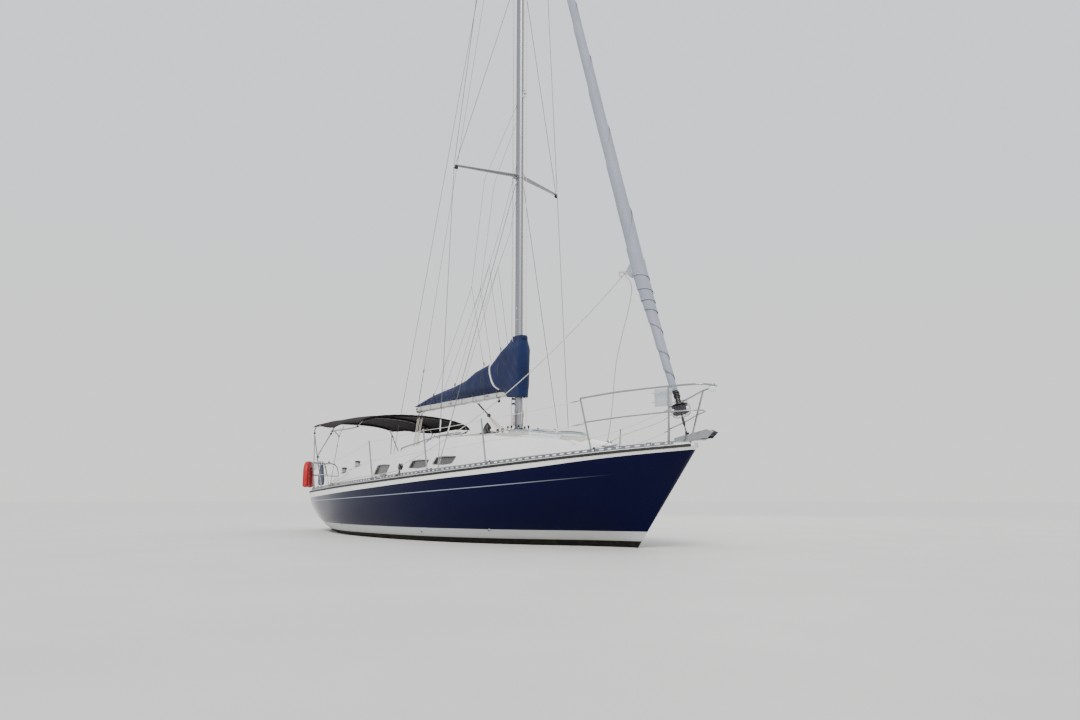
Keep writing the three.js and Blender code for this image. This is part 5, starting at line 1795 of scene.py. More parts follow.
def mastDetails():
    steel, black, rubber, lamps = Shape(), Shape(), Shape(), Shape()
    # collar and gaiter where the mast passes the roof
    low = onRoof(1.31, -0.12).z
    rings = []
    for grow, up in ((0.045, 0.0), (0.048, 0.012), (0.030, 0.020), (0.026, 0.05), (0.012, 0.075),
                     (0.009, mastGear["collarHigh"]),
                     (0.001, mastGear["collarHigh"])):
        ring = []
        for k in range(40):
            a = 2 * math.pi * k / 40
            way = Vector((math.cos(a), math.sin(a) * 0.85, 0)).normalized()
            spot = onMast(2.0, way) + way * grow
            ring.append(Vector((spot.x, spot.y, low - 0.004 + up)))
        rings.append(ring)
    rubber.rings(rings)
    clamp = [onMast(2.0, (math.cos(a), math.sin(a), 0)) + Vector((math.cos(a), math.sin(a), 0)) * 0.0125
             for a in circle(40)]
    steel.strip([Vector((p.x, p.y, low + 0.066)) for p in clamp + clamp[:1]], 0.010, 0.0016,
                [Vector((p.x - mastX, p.y, 0)) for p in clamp + clamp[:1]])
    # cleats on both sides of the mast, low down, and a row of halyard exits above them
    for side in (-1, 1):
        for z, ahead in ((2.03, 0.10), (1.86, -0.25)):
            skin = onMast(z, (ahead, side, 0))
            cleat(steel, skin, upward, (ahead, side, 0), 0.115)
        for z in (2.19, 2.27):
            skin = onMast(z, (-0.55, side, 0))
            pulley(black, skin + Vector((-0.030, side * 0.012, 0)), (0.9, -side * 0.4, 0.1), upward, 0.052)
        for z in (3.55, 3.75):
            skin = onMast(z, (0.1, side, 0))
            black.block(skin, (0.018, 0.012, 0.11), soften=0.45)
    # steaming and deck lamp on the front
    skin = onMast(mastGear["steaming"], (1, 0, 0))
    black.block(skin + Vector((0.030, 0, 0.0)), (0.062, 0.060, 0.085), soften=0.3)
    lamps.turned(skin + Vector((0.030, 0, -0.045)), (0.25, 0, -1),
                 ((0, 0.028), (0.012, 0.033), (0.030, 0.030), (0.040, 0.014)), 18)
    lamps.block(skin + Vector((0.064, 0, 0.008)), (0.012, 0.046, 0.045), soften=0.4)
    black.turned(skin + Vector((0.030, 0, 0.042)), upward, ((0, 0.030), (0.006, 0.030), (0.012, 0.018),
                                                            (0.016, 0.016)), 16)
    # spreader roots, tips and their boots
    for z, half, sweep in mastGear["spreaders"]:
        for side in (-1, 1):
            skin = onMast(z, (-0.25, side, 0))
            steel.block(skin + Vector((0, side * 0.006, 0)), (0.135, 0.012, 0.075), soften=0.4)
            screwHeads(steel, [skin + Vector((dx, side * 0.012, dz)) for dx in (-0.05, 0.05)
                               for dz in (-0.025, 0.025)], (0, side, 0), 0.005)
            tip = Vector((mastX - sweep, side * half, z))
            root = Vector((1.30, side * 0.05, z))
            way = (tip - root).normalized()
            rubber.turned(tip - way * 0.055, way,
                          ((0, 0.018), (0.01, 0.023), (0.045, 0.024), (0.058, 0.018), (0.066, 0.008)), 14)
    # masthead: lamp, wind vane and aerial
    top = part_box("mast")[1].z
    steel.block((1.20, 0, top + 0.004), (0.40, 0.075, 0.008), soften=0.45)
    lamps.turned((1.30, 0, top + 0.006), upward, ((0, 0.034), (0.012, 0.034), (0.016, 0.030),
                                                  (0.062, 0.030), (0.070, 0.020), (0.074, 0.006)), 20)
    black.turned((1.30, 0, top + 0.006), upward, ((0, 0.036), (0.012, 0.036), (0.013, 0.030)), 20)
    steel.tube([(1.12, 0.0, top), (1.12, 0.0, top + 0.23)], 0.0035, 8)
    black.turned((1.12, 0, top + 0.215), upward, ((0, 0.008), (0.010, 0.010), (0.022, 0.008),
                                                  (0.028, 0.002)), 12)
    black.block((1.21, 0, top + 0.232), (0.15, 0.003, 0.010), soften=0.4)
    black.block((1.03, 0, top + 0.232), (0.10, 0.003, 0.055), soften=0.4, taper=0.7)
    for side in (-1, 1):
        black.block((1.05, side * 0.07, top + 0.222), (0.006, 0.15, 0.003), ahead=(1, side * 0.4, 0),
                    soften=0.4)
    steel.tube([(1.42, 0.0, top - 0.02), (1.42, 0.0, top + 0.33)], [0.004, 0.0018], 8)
    black.turned((1.42, 0, top - 0.02), upward, ((0, 0.012), (0.07, 0.011), (0.075, 0.006)), 12)
    steel.piece("mast_fittings", "steel")
    black.piece("mast_blocks", "black steel")
    rubber.piece("mast_boots", "rubber", sharp=45)
    lamps.piece("mast_lamps", "lens")


mastTrack()
mastDetails()
gooseneckHigh = 2.41


def onBoom(x, way):
    way = Vector(way).normalized()
    start = Vector((x, 0, along(boomLine, x)))
    hit = boomTree.ray_cast(start + way * 0.4, -way)
    return hit[0] if hit[0] else start + way * 0.05


def boomFittings():
    steel, black = Shape(), Shape()
    low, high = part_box("boom")
    middle = (onBoom(low.x + 0.03, upward).z + onBoom(low.x + 0.03, (0, 0, -1)).z) / 2
    tall = onBoom(low.x + 0.03, upward).z - middle
    wide = onBoom(low.x + 0.03, (0, -1, 0)).y
    # cast end cap with its sheave and the eye for the topping lift
    black.turned((low.x + 0.045, 0, middle), (-1, 0, 0),
                 ((0, tall * 1.05), (0.035, tall * 1.05), (0.052, tall * 0.95), (0.062, tall * 0.6)),
                 28, abs(wide) / tall * 1.02, across=upward)
    black.turned((low.x - 0.008, -0.010, middle + 0.004), (0, 1, 0),
                 ((0, 0.026), (0.006, 0.021), (0.014, 0.021), (0.020, 0.026)), 20)
    eye(steel, (low.x - 0.014, 0, middle + tall + 0.004), (0, 1, 0), 0.012, 0.0035)
    eye(steel, (low.x + 0.030, 0, middle - tall - 0.012), (0, 1, 0), 0.014, 0.004)
    # bails under the boom for the sheet, the vang and the small block
    for x, out in ((-1.90, 0.02), (0.10, 0.025), (0.74, 0.012)):
        skin = onBoom(x, (0, 0, -1))
        path = [(x, y, z) for y, z in ((-0.050, skin.z + 0.045), (-0.046, skin.z + 0.01),
                                       (-0.026, skin.z - out), (0.0, skin.z - out - 0.008),
                                       (0.026, skin.z - out), (0.046, skin.z + 0.01),
                                       (0.050, skin.z + 0.045))]
        steel.tube(curveThrough(path, 26), 0.0042, 8)
        screwHeads(steel, [(x, -0.052, skin.z + 0.045)], (0, -1, 0), 0.008)
        screwHeads(steel, [(x, 0.052, skin.z + 0.045)], (0, 1, 0), 0.008)
    pulley(black, onBoom(0.74, (0, 0, -1)) + upBy(-0.052), upward, (0, 1, 0), 0.050)
    # reefing and outhaul cleats
    for x, side in ((-0.75, -1), (0.45, -1), (0.45, 1)):
        skin = onBoom(x, (0, side, -0.2))
        cleat(steel, skin, (1, 0, 0), (0, side, -0.2), 0.10)
    # gooseneck toggle
    near = Vector((high.x, 0, gooseneckHigh))
    black.turned(near + Vector((-0.045, 0, 0)), (1, 0, 0),
                 ((0, tall * 1.04), (0.040, tall * 1.04), (0.055, tall * 0.8), (0.060, 0.022)), 28,
                 abs(wide) / tall * 1.02, across=upward)
    steel.block(near + Vector((0.035, 0, 0)), (0.07, 0.022, 0.030), soften=0.3)
    steel.piece("boom_fittings", "steel", "boom")
    black.piece("boom_end_caps", "black steel", "boom")
    # the mast's half of the gooseneck
    fixed = Shape()
    skin = onMast(gooseneckHigh, (-1, 0, 0))
    fixed.block(skin + Vector((-0.002, 0, 0)), (0.010, 0.060, 0.150), soften=0.45)
    for dz in (-0.030, 0.030):
        fixed.block((skin.x - 0.040, 0, gooseneckHigh + dz), (0.080, 0.034, 0.012), soften=0.4)
    fixed.turned((skin.x - 0.060, 0, gooseneckHigh - 0.045), upward,
                 ((0, 0.010), (0.004, 0.0065), (0.086, 0.0065), (0.090, 0.010)), 14)
    fixed.piece("gooseneck", "steel")


boomFittings()
print("mast and boom fitted out")

# running rigging
lines = {"thin": 0.0032, "halyard": 0.0052, "sheet": 0.0065}


def withBoom(piece, start, end):
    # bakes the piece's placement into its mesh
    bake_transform(piece)
    return piece


tackle = {"boom": (-1.965, 0, 2.235), "car": (-2.330, 0, 0.965), "apart": 0.034, "block": 0.062,
          "beam": (-2.34, 0.50), "beamWide": 0.042}


def mainsheet():
    high, low = Vector(tackle["boom"]), Vector(tackle["car"])
    way = (low - high).normalized()
    turn = way.cross(Vector((0, 1, 0)))
    falls = Shape()
    for side in (-1, 1):
        across = Vector((0, side * tackle["apart"], 0))
        for off in (-0.026, 0.026):
            start = high + across + turn * off + way * 0.01
            end = low + across * 0.8 + turn * off * 0.8 - way * 0.01
            falls.tube(hanging(start, end, 0.0, 9), lines["sheet"] * 1.15, 9)
    falls = falls.piece("mainsheet", "rope", None, sharp=35)
    upper, lower, beam = Shape(), Shape(), Shape()
    for side in (-1, 1):
        across = Vector((0, side * tackle["apart"], 0))
        pulley(upper, high + across, -way, (0, 1, 0), tackle["block"])
        pulley(lower, low + across * 0.8, way, (0, 1, 0), tackle["block"] * 0.9)
    upper.use(1).tube([high + Vector((0, -0.042, 0.052)), high + Vector((0, 0.042, 0.052))], 0.005, 8)
    for side in (-1, 1):
        upper.tube(curveThrough([high + Vector((0, side * 0.034, 0.052)),
                                 high + Vector((0.03, side * 0.03, 0.075)),
                                 (-1.90, side * 0.016, 2.305)], 10), 0.0038, 8)
    upper.piece("mainsheet_boom_block", "black steel", "boom")
    lower.use(1).block(low + Vector((-0.008, 0, -0.062)), (0.11, 0.062, 0.026), soften=0.35)
    lower.use(0).block(low + Vector((-0.008, 0, -0.088)), (0.13, 0.072, 0.022), soften=0.3)
    lower.use(1).block(low + Vector((0.062, 0, -0.02)), (0.045, 0.034, 0.03), ahead=(1, 0, 0.4), soften=0.3)
    lower.piece("mainsheet_car", "black steel")
    x, half = tackle["beam"]
    beam.use(0).block((x, 0, 0.822), (tackle["beamWide"], half * 2, 0.036), soften=0.25)
    beam.block((x, 0, 0.846), (0.026, half * 2, 0.012), soften=0.3)
    for y in np.arange(-0.45, 0.46, 0.1):
        screwHeads(beam.use(1), [(x + dx, y, 0.8405) for dx in (-0.0165, 0.0165)], upward)
    for side in (-1, 1):
        beam.use(2).block((x, side * half, 0.836), (0.058, 0.030, 0.056), soften=0.4)
        beam.use(1).block((x, side * (half - 0.05), 0.808), (0.12, 0.10, 0.010), soften=0.45)
        beam.use(2).block((x, side * 0.30, 0.862), (0.036, 0.026, 0.026), soften=0.35)
        beam.use(3).tube(hanging((x, side * 0.29, 0.875), (x - 0.01, side * 0.05, 0.880), 0.006), 0.004, 7)
    beam.piece("traveller", "alloyDark steel black darkRope")
    return withBoom(falls, (-2.25, 0, 1.1), (-1.97, 0, 2.2))


vangSet = {"bail": (0.10, 0, 2.300), "block": (0.44, 0, 2.070), "feet": ((0.71, 1.765), (0.855, 1.752))}


def vang():
    bail, block = Vector(vangSet["bail"]), Vector(vangSet["block"])
    way = (block - bail).normalized()
    rope, gear, foot = Shape(), Shape(), Shape()
    for side in (-1, 1):
        rope.use(0).strip([bail + Vector((0, side * 0.008, 0.005)),
                           bail.lerp(block, 0.5) + Vector((0, side * 0.007, 0)),
                           block - way * 0.03], 0.026, 0.005, (0, 1, 0))
    for number, (x, z) in enumerate(vangSet["feet"]):
        for y in (-0.03, 0.03):
            rope.use(1 + (number == 1)).tube(hanging(block + Vector((0.02, y * 0.5, -0.03)),
                                                     (x, y, z + 0.06), 0.004),
                                             0.0052 - 0.0012 * number, 8)
    rope.use(1).tube(hanging(block + Vector((0.0, 0, -0.04)), ((vangSet["feet"][0][0] + 0.06), 0, 1.80),
                             0.004), 0.0052, 8)
    gear.use(0)
    pulley(gear, block, -way, (0, 1, 0), 0.066)
    for x, z in vangSet["feet"]:
        low = onRoof(x, 0)
        pulley(foot, low + upBy(0.058), (0, 0, -1), (0, 1, 0), 0.052)
        foot.use(1).block(low + upBy(0.004), (0.075, 0.05, 0.007), soften=0.45)
        eye(foot, low + upBy(0.014), (1, 0, 0), 0.012, 0.0035)
    foot.piece("vang_feet", "black steel")
    span = ((0.80, 0, 1.80), (0.45, 0, 2.07))
    withBoom(gear.piece("vang_block", "black steel", None), *span)
    return withBoom(rope.piece("vang_falls", "webbing paleRope darkRope", None, sharp=35), *span)


jacks = {"nodes": ((-0.02, 4.44), (0.54, 4.72)), "high": ((0.38, 6.37), (0.87, 5.24)), "side": 0.095,
         "ends": (((-1.30, 2.58), (0.39, 2.95)), ((0.11, 4.08), (-0.54, 2.69), (0.90, 3.14)))}


def lazyJacks():
    shape = Shape()
    for side in (-1, 1):
        for node, high, ends in zip(jacks["nodes"], jacks["high"], jacks["ends"]):
            at = Vector((node[0], side * jacks["side"], node[1]))
            up = Vector((high[0], side * 0.11, high[1]))
            root = onMast(up.z + 1.1, (-0.2, side, 0))
            shape.use(0).tube([root, up, at], lines["thin"], 6)
            eye(shape.use(1), at, (0, 1, 0), 0.008, 0.0022)
            for x, z in ends:
                near = Vector((x, side * jacks["side"] * (0.9 if z < 4 else 1), z))
                shape.use(0).tube(hanging(at, near, 0.015, 11), lines["thin"], 6)
                if z < 4:
                    edge = along(cover["edge"], min(x, 0.7))
                    skin = Vector((x, side * 0.066, edge - 0.02))
                    shape.tube([near, near.lerp(skin, 0.5) + Vector((0, side * 0.075, 0)), skin],
                               lines["thin"], 6)
                    shape.use(1).turned(near + upBy(0.05), near - at,
                                        ((0, 0.004), (0.01, 0.009), (0.055, 0.010), (0.065, 0.004)), 10)
    made = shape.piece("lazy_jacks", "darkRope black", None, sharp=35)
    return withBoom(made, (0, 0, 6.3), (0, 0, 2.95))


def toppingLift():
    shape = Shape()
    end, head = Vector((-2.06, 0, 2.462)), Vector((0.985, 0, 13.25))
    shape.use(0).tube([end.lerp(head, k / 24) for k in range(25)], 0.0034, 7)
    for low, high, radius in ((0.006, 0.055, 0.0062), (0.060, 0.066, 0.011)):
        shape.use(1).tube([end.lerp(head, low), end.lerp(head, high)], radius, 8)
    return withBoom(shape.piece("topping_lift", "darkRope black", None, sharp=35), head, end)


def halyards():
    shape = Shape()
    roofAt = lambda x, y: onRoof(x, y, 0.012)
    for number, (x, y, high) in enumerate(((1.235, -0.088, 13.1), (1.20, -0.070, 9.9),
                                           (1.26, 0.092, 13.1), (1.22, 0.075, 5.9))):
        low = Vector((x, y, 1.80))
        shape.use(number % 2).tube([(x, y, high), (x, y, 3.4), (x, y * 0.8, 3.2), (x, y * 0.7, 2.36),
                                    (x - 0.01, y * 0.9, 2.2), low], lines["halyard"] * 0.85, 7)
    for y in (-0.055, 0.05):
        shape.use(0).tube([(1.46, y * 0.6, 12.9), (1.465, y * 0.6, 3.36), (1.468, y * 0.4, 3.2),
                           (1.468, y * 0.4, 2.34), (1.47, y * 0.7, 2.2),
                           (1.455, y, 1.84)],
                          lines["halyard"], 7)
    # made-up tails in long figures on the mast's cleats
    for side in (-1, 1):
        skin = onMast(1.95, (-0.25, side, 0))
        for turn in range(5):
            out = 0.024 + 0.006 * turn
            shape.use(turn % 2).tube([skin
                                      + Vector((0.010 * math.sin(a) - 0.012,
                                                side * (out + 0.004 * math.cos(2 * a)),
                                                     (0.075 + 0.006 * turn) * math.cos(a) - 0.02))
                                      for a in circle(24)],
                                     lines["halyard"] * 0.8, 6, loop=True)
    # from the mast's foot through the organisers to the clutches by the hatch
    for side in (-1, 1):
        for number, (xFoot, yFoot, yTurn, yEnd) in enumerate(((1.24, 0.11, 0.24, 0.44),
                                                              (1.20, 0.12, 0.27, 0.475),
                                                              (1.16, 0.13, 0.30, 0.51),
                                                              (1.12, 0.13, 0.33, 0.545))):
            path = [roofAt(xFoot, side * yFoot) + upBy(0.035), roofAt(0.98, side * yTurn) + upBy(0.006)]
            path += [roofAt(x, side * between(yTurn, yEnd, (0.98 - x) / 2.3))
                     for x in (0.6, 0.2, -0.3, -0.8, -1.1)]
            path += [roofAt(-1.34, side * yEnd) + upBy(0.004), roofAt(-1.62, side * yEnd)]
            shape.use((number + (side > 0)) % 3).tube(curveThrough(path, 60), lines["halyard"], 7)
    return shape.piece("halyards", "paleRope rope darkRope", sharp=35)


def deckOrganisers():
    steel, black = Shape(), Shape()
    # cowl vent ahead of the vang's foot
    vent = onRoof(0.55, -0.10)
    black.turned(vent - upBy(0.004), upward,
                 ((0, 0.070), (0.014, 0.070), (0.024, 0.054), (0.095, 0.050), (0.105, 0.066),
                  (0.128, 0.066),
                  (0.160, 0.048), (0.190, 0.026), (0.208, 0.010), (0.214, 0.004)), 24)
    for side in (-1, 1):
        turnAt, clutchAt = onRoof(0.98, side * 0.285), onRoof(-1.38, side * 0.49)
        steel.block(turnAt + upBy(0.003), (0.055, 0.17, 0.005), ahead=(1, side * 0.06, 0), soften=0.45)
        steel.block(turnAt + upBy(0.033), (0.050, 0.165, 0.004), ahead=(1, side * 0.06, 0), soften=0.45)
        for k in range(4):
            spot = turnAt + Vector((0, side * (k - 1.5) * 0.036, 0.005))
            black.turned(spot, upward, ((0, 0.016), (0.004, 0.0165), (0.012, 0.012), (0.020, 0.0165),
                                        (0.024, 0.016)), 18)
            screwHeads(steel, [spot + upBy(0.030)], upward, 0.006)
            low = clutchAt + Vector((0, side * (k - 1.5) * 0.035, 0))
            black.block(low + upBy(0.026), (0.125, 0.030, 0.046), soften=0.35, taper=0.8)
            black.block(low + Vector((-0.024, 0, 0.056)), (0.105, 0.022, 0.014), ahead=(1, 0, 0.10),
                        soften=0.45)
            screwHeads(steel, [low + Vector((0.052, 0, 0.049))], upward, 0.005)
        steel.block(clutchAt + upBy(0.002), (0.15, 0.155, 0.004), soften=0.4)
        # two small cleats on each side
        cleat(steel, onRoof(-1.72, side * 0.60), (1, side * 0.15, 0), upward, 0.14)
        cleat(steel, onRoof(-1.72, side * 0.48), (1, side * 0.1, 0), upward, 0.14)
    # plate under the mast's collar with its line eyes
    low = onRoof(1.31, 0)
    steel.block(low + upBy(0.002), (0.34, 0.30, 0.006), soften=0.45)
    for x, y in ((1.17, 0.115), (1.17, -0.115), (1.30, 0.135), (1.30, -0.135), (1.45, 0.10), (1.45, -0.10)):
        spot = Vector((x, y, low.z + 0.005))
        eye(steel, spot + upBy(0.010), (1, 0, 0), 0.011, 0.0032)
        pulley(black, spot + upBy(0.050), (0, 0, -1), (0.3, 1, 0), 0.040)
    steel.piece("deck_organisers", "steel")
    return black.piece("clutches", "black steel")


genoaSet = {"lead": (0.30, -1.60, 1.155), "sag": 0.27, "foot": (-3.22, 1.215), "track": (-0.42, 0.84),
            "lazy": ((3.98, 0.02, 3.52), (3.30, 0.35, 2.68), (2.87, 0.64, 2.01), (2.36, 0.97, 1.50),
                     (1.70, 1.24, 1.17), (0.9, 1.49, 1.10))}


def trackHalf(x):
    return 1.60 + skinHalf(x) - skinHalf(0.3)


def genoaSheets():
    ropes, gear, tracks = Shape(), Shape(), Shape()
    clew = clewRing
    eye(gear.use(1), clew, (1, -1, 0.3), 0.018, 0.0045)
    for turn in range(3):
        eye(ropes.use(0), clew + Vector((-0.014, -0.012 + 0.006 * turn, -0.012)),
            (0.4, 1, 0.5 * turn - 0.4), 0.017, 0.0062)
    # two round turns of the knots' tails stand off the ring
    for low, lean in ((0.030, 0.35), (0.012, -0.5)):
        eye(ropes.use(0), clew + Vector((-0.045, -0.050, -low)), (1, -0.8, lean), 0.036, 0.0058)
    footX, footHalf = genoaSet["foot"]
    for side in (-1, 1):
        lead = Vector((genoaSet["lead"][0], side * abs(genoaSet["lead"][1]), genoaSet["lead"][2]))
        if side < 0:
            run = hanging(clew + Vector((-0.045, -0.045, -0.065)), lead + Vector((0.02, 0, 0.02)),
                          genoaSet["sag"], 41)
        else:
            run = curveThrough([clew + Vector((-0.015, -0.01, -0.05)), *genoaSet["lazy"],
                                lead + Vector((0.02, 0, 0.0))], 60)
        ropes.use(0).tube(run, lines["sheet"], 8)
        # from the lead block aft to a foot block and round the fore winch
        foot = onDeck(footX, side * footHalf, 0.045)
        stops = [lead + Vector((-0.02, 0, -0.055))] + [onDeck(x, side * (trackHalf(x) - 0.07),
                                                              0.10 - 0.02 * abs(x + 0.9))
                                                      for x in (-0.4, -1.3, -2.2)] + [foot
                                                              + Vector((0.03, 0, 0.005))]
        ropes.tube(curveThrough(stops, 50), lines["sheet"], 8)
        drum = Vector((-2.82, side * 0.89, 1.257))
        wraps = [drum + Vector((0.0495 * math.cos(a), side * 0.0495 * math.sin(a),
                                0.040 + 0.0135 * a / (2 * math.pi)))
                 for a in np.linspace(-2.4, 2 * math.pi * 2.6, 60)]
        ropes.tube([foot + Vector((-0.015, 0, 0.012))]
                   + curveThrough([foot + Vector((0.03, -side * 0.02, 0.03)), wraps[0]], 6) + wraps[1:],
                   lines["sheet"], 8)
        gear.use(1).block(foot + upBy(-0.040), (0.10, 0.05, 0.006), soften=0.45)
        for up in (-0.018, 0.022):
            gear.use(0).turned(foot + upBy(up), upward, ((0, 0.030), (0.004, 0.034), (0.010, 0.034),
                                                         (0.013, 0.028)), 22, 0.8)
        gear.turned(foot + upBy(-0.01), upward,
                    ((0, 0.026), (0.01, 0.020), (0.022, 0.020), (0.034, 0.026)), 18)
        # stand-up block on its car
        base = onDeck(lead.x - 0.06, side * trackHalf(lead.x - 0.06))
        lean = (lead - base).normalized()
        pulley(gear, lead, -lean, (0, 1, 0), 0.088)
        gear.use(0).turned(base + lean * 0.026, lean,
                           ((0, 0.016), (0.05, 0.014), (0.070, 0.014), (0.075, 0.010)), 14)
        gear.block(base + upBy(0.028), (0.095, 0.046, 0.026), soften=0.35)
        x0, x1 = genoaSet["track"]
        rail = [onDeck(x, side * trackHalf(x)) for x in np.linspace(x0, x1, 24)]
        tracks.use(0).rings([[p + Vector((0, dy, dz)) for dy,
                              dz in ((-0.016, 0.0), (-0.016, 0.004), (-0.006, 0.006), (-0.006, 0.011),
                             (-0.014, 0.013), (-0.014, 0.017), (0.014, 0.017), (0.014, 0.013),
                             (0.006, 0.011), (0.006, 0.006), (0.016, 0.004), (0.016, 0.0))]
                             for p in rail])
        for p in rail[1::2]:
            tracks.use(1).turned(p + upBy(0.0165), upward,
                                 ((0, 0.0052), (0.0012, 0.005), (0.0014, 0.003)), 10)
        for p in (rail[0], rail[-1]):
            tracks.use(2).block(p + upBy(0.014), (0.022, 0.042, 0.026), soften=0.45)
    ropes.piece("genoa_sheets", "rope", sharp=35)
    gear.piece("sheet_leads", "black steel")
    return tracks.piece("genoa_tracks", "alloyDark steel black")


finish["alloyDark"] = metal("black_anodised_rail", tone(62, 64, 68), 0.38, (60, 2, 60))
mainsheet()
vang()
lazyJacks()
toppingLift()
halyards()
deckOrganisers()
genoaSheets()
print("running rigging led")

# bow: furler cage, turnbuckle, furling line, lamp and blank board
furler = {"cage": (0.300, 0.465), "radius": 0.126, "bars": 6, "line": 0.0050}


def furlerGear():
    steel, rope, dark = Shape(), Shape(), Shape()
    low, high = furler["cage"]
    for up, grow in ((low, 0.85), (between(low, high, 0.5), 1.02), (high, 0.85)):
        steel.tube([onStay(up, furler["radius"] * grow, a) for a in circle(32)], 0.0034, 7, loop=True)
    for k in range(furler["bars"]):
        a = 2 * math.pi * (k + 0.25) / furler["bars"]
        steel.tube(curveThrough([onStay(low, furler["radius"] * 0.35, a),
                                 onStay(low, furler["radius"] * 0.85, a),
                                 onStay(between(low, high, 0.5), furler["radius"] * 1.02, a),
                                 onStay(high, furler["radius"] * 0.85, a)], 14), 0.0030, 7)
    # line wound on the spool
    turns = [onStay(0.352 + 0.060 * (0.5 - 0.5 * math.cos(a * 0.13)), 0.0745 + 0.0015 * math.sin(a * 1.7),
                    a) for a in np.linspace(0, 2 * math.pi * 9, 220)]
    rope.use(1).tube(turns, furler["line"], 7)
    lead = [turns[-1], (4.70, -0.22, 1.62), (4.35, -0.545, 1.455)]
    lead += [onDeck(x, -(skinHalf(x) - 0.115), 0.055) for x in (3.93, 3.1, 2.3, 1.5, 1.06, 0.2, -0.6,
                                                                -1.6, -2.4)]
    rope.use(0).tube(curveThrough(lead, 150), furler["line"], 7)
    for x in (3.93, 2.3, 1.06, -0.6):
        spot = onDeck(x, -(skinHalf(x) - 0.115), 0.055)
        dark.turned(spot - Vector((0.014, 0, 0)), (1, 0, 0), ((0, 0.013), (0.004, 0.016), (0.024, 0.016),
                                                              (0.028, 0.013)), 14)
        dark.block(spot + Vector((0, 0.012, -0.028)), (0.022, 0.012, 0.050), soften=0.35)
    cleat(steel, onDeck(-2.5, -(skinHalf(-2.5) - 0.14)), (1, 0, 0), upward, 0.13)
    # turnbuckle between the drum and the bow fitting
    for run, sides in ((((0.02, 0.007), (0.03, 0.013), (0.075, 0.013), (0.085, 0.008)), 14),
                          (((0.085, 0.0075), (0.15, 0.0075), (0.16, 0.014), (0.168, 0.014),
                            (0.176, 0.017), (0.255, 0.017), (0.262, 0.014), (0.270, 0.014),
                            (0.275, 0.010), (0.302, 0.010)), 16)):
        rings = [[onStay(up, radius, a) for a in circle(sides)] for up, radius in run]
        steel.rings(rings)
    for side in (-1, 1):
        steel.block(onStay(0.02) + Vector((0, side * 0.018, 0)), (0.034, 0.006, 0.085), up=stayWay,
                    soften=0.45)
    steel.tube([onStay(-0.008) + Vector((0, -0.026, 0)), onStay(-0.008) + Vector((0, 0.026, 0))], 0.006, 10)
    # tack swivel and its dark lashing over the drum
    for up, radius in ((0.545, 0.043), (0.565, 0.046), (0.590, 0.042), (0.612, 0.045)):
        dark.rings([[onStay(up + dz, radius * grow, a) for a in circle(20)]
                    for dz, grow in ((-0.010, 0.85), (-0.006, 1.0), (0.006, 1.0), (0.010, 0.85))])
    steel.piece("furler_cage", "black")
    dark.piece("furler_fittings", "black")
    return rope.piece("furling_line", "rope darkRope", sharp=35)


bowBoard = {"low": (4.722, -0.335, 1.805), "high": (4.945, -0.245, 2.030), "thick": 0.007}


def bowLamps():
    lamp, lens, board = Shape(), Shape(), Shape()
    # white housing under the top rail, with its lens ahead
    spot = Vector((5.405, 0, 1.995))
    lamp.use(0).block(spot + Vector((-0.022, 0, 0.004)), (0.052, 0.082, 0.082), soften=0.3)
    lamp.block(spot + Vector((-0.010, 0, 0.047)), (0.060, 0.050, 0.014), soften=0.4)
    lamp.use(1).tube([spot + Vector((0.015 + 0.019 * math.cos(a), 0, 0.045 + 0.019 * math.sin(a)))
                      for a in circle(16)],
                     0.0030, 7, loop=True)
    lens.turned(spot + Vector((-0.004, 0, -0.030)), upward, ((0, 0.030), (0.005, 0.034), (0.055, 0.034),
                                                             (0.060, 0.030)), 24)
    lamp.use(0).turned(spot + Vector((-0.004, 0, -0.038)), upward,
                       ((0, 0.030), (0.004, 0.036), (0.008, 0.036)), 24)
    low, high = Vector(bowBoard["low"]), Vector(bowBoard["high"])
    middle, ahead = (low + high) / 2, Vector((high.x - low.x, high.y - low.y, 0))
    board.use(0).block(middle, (ahead.length, bowBoard["thick"], high.z - low.z), ahead=ahead, soften=0.3)
    face = ahead.normalized().cross(upBy(1))
    for sx in (-0.44, 0.44):
        for sz in (-0.43, 0.43):
            screwHeads(board.use(1), [middle + ahead * sx + upBy((high.z - low.z) * sz)
                                      + face * bowBoard["thick"] / 2], face, 0.005)
    for part in (0.25, 0.78):
        spot = low.lerp(Vector((low.x, low.y, high.z)), part)
        board.use(1).tube([spot + Vector((0.03, 0.014, 0)), spot, spot + Vector((-0.02, -0.028, 0)),
                           spot + Vector((0.015, -0.03, 0))], 0.003, 7)
    lens.piece("bow_lamp_lens", "lens")
    lamp.piece("bow_lamp", "white steel")
    return board.piece("blank_board", "board steel")


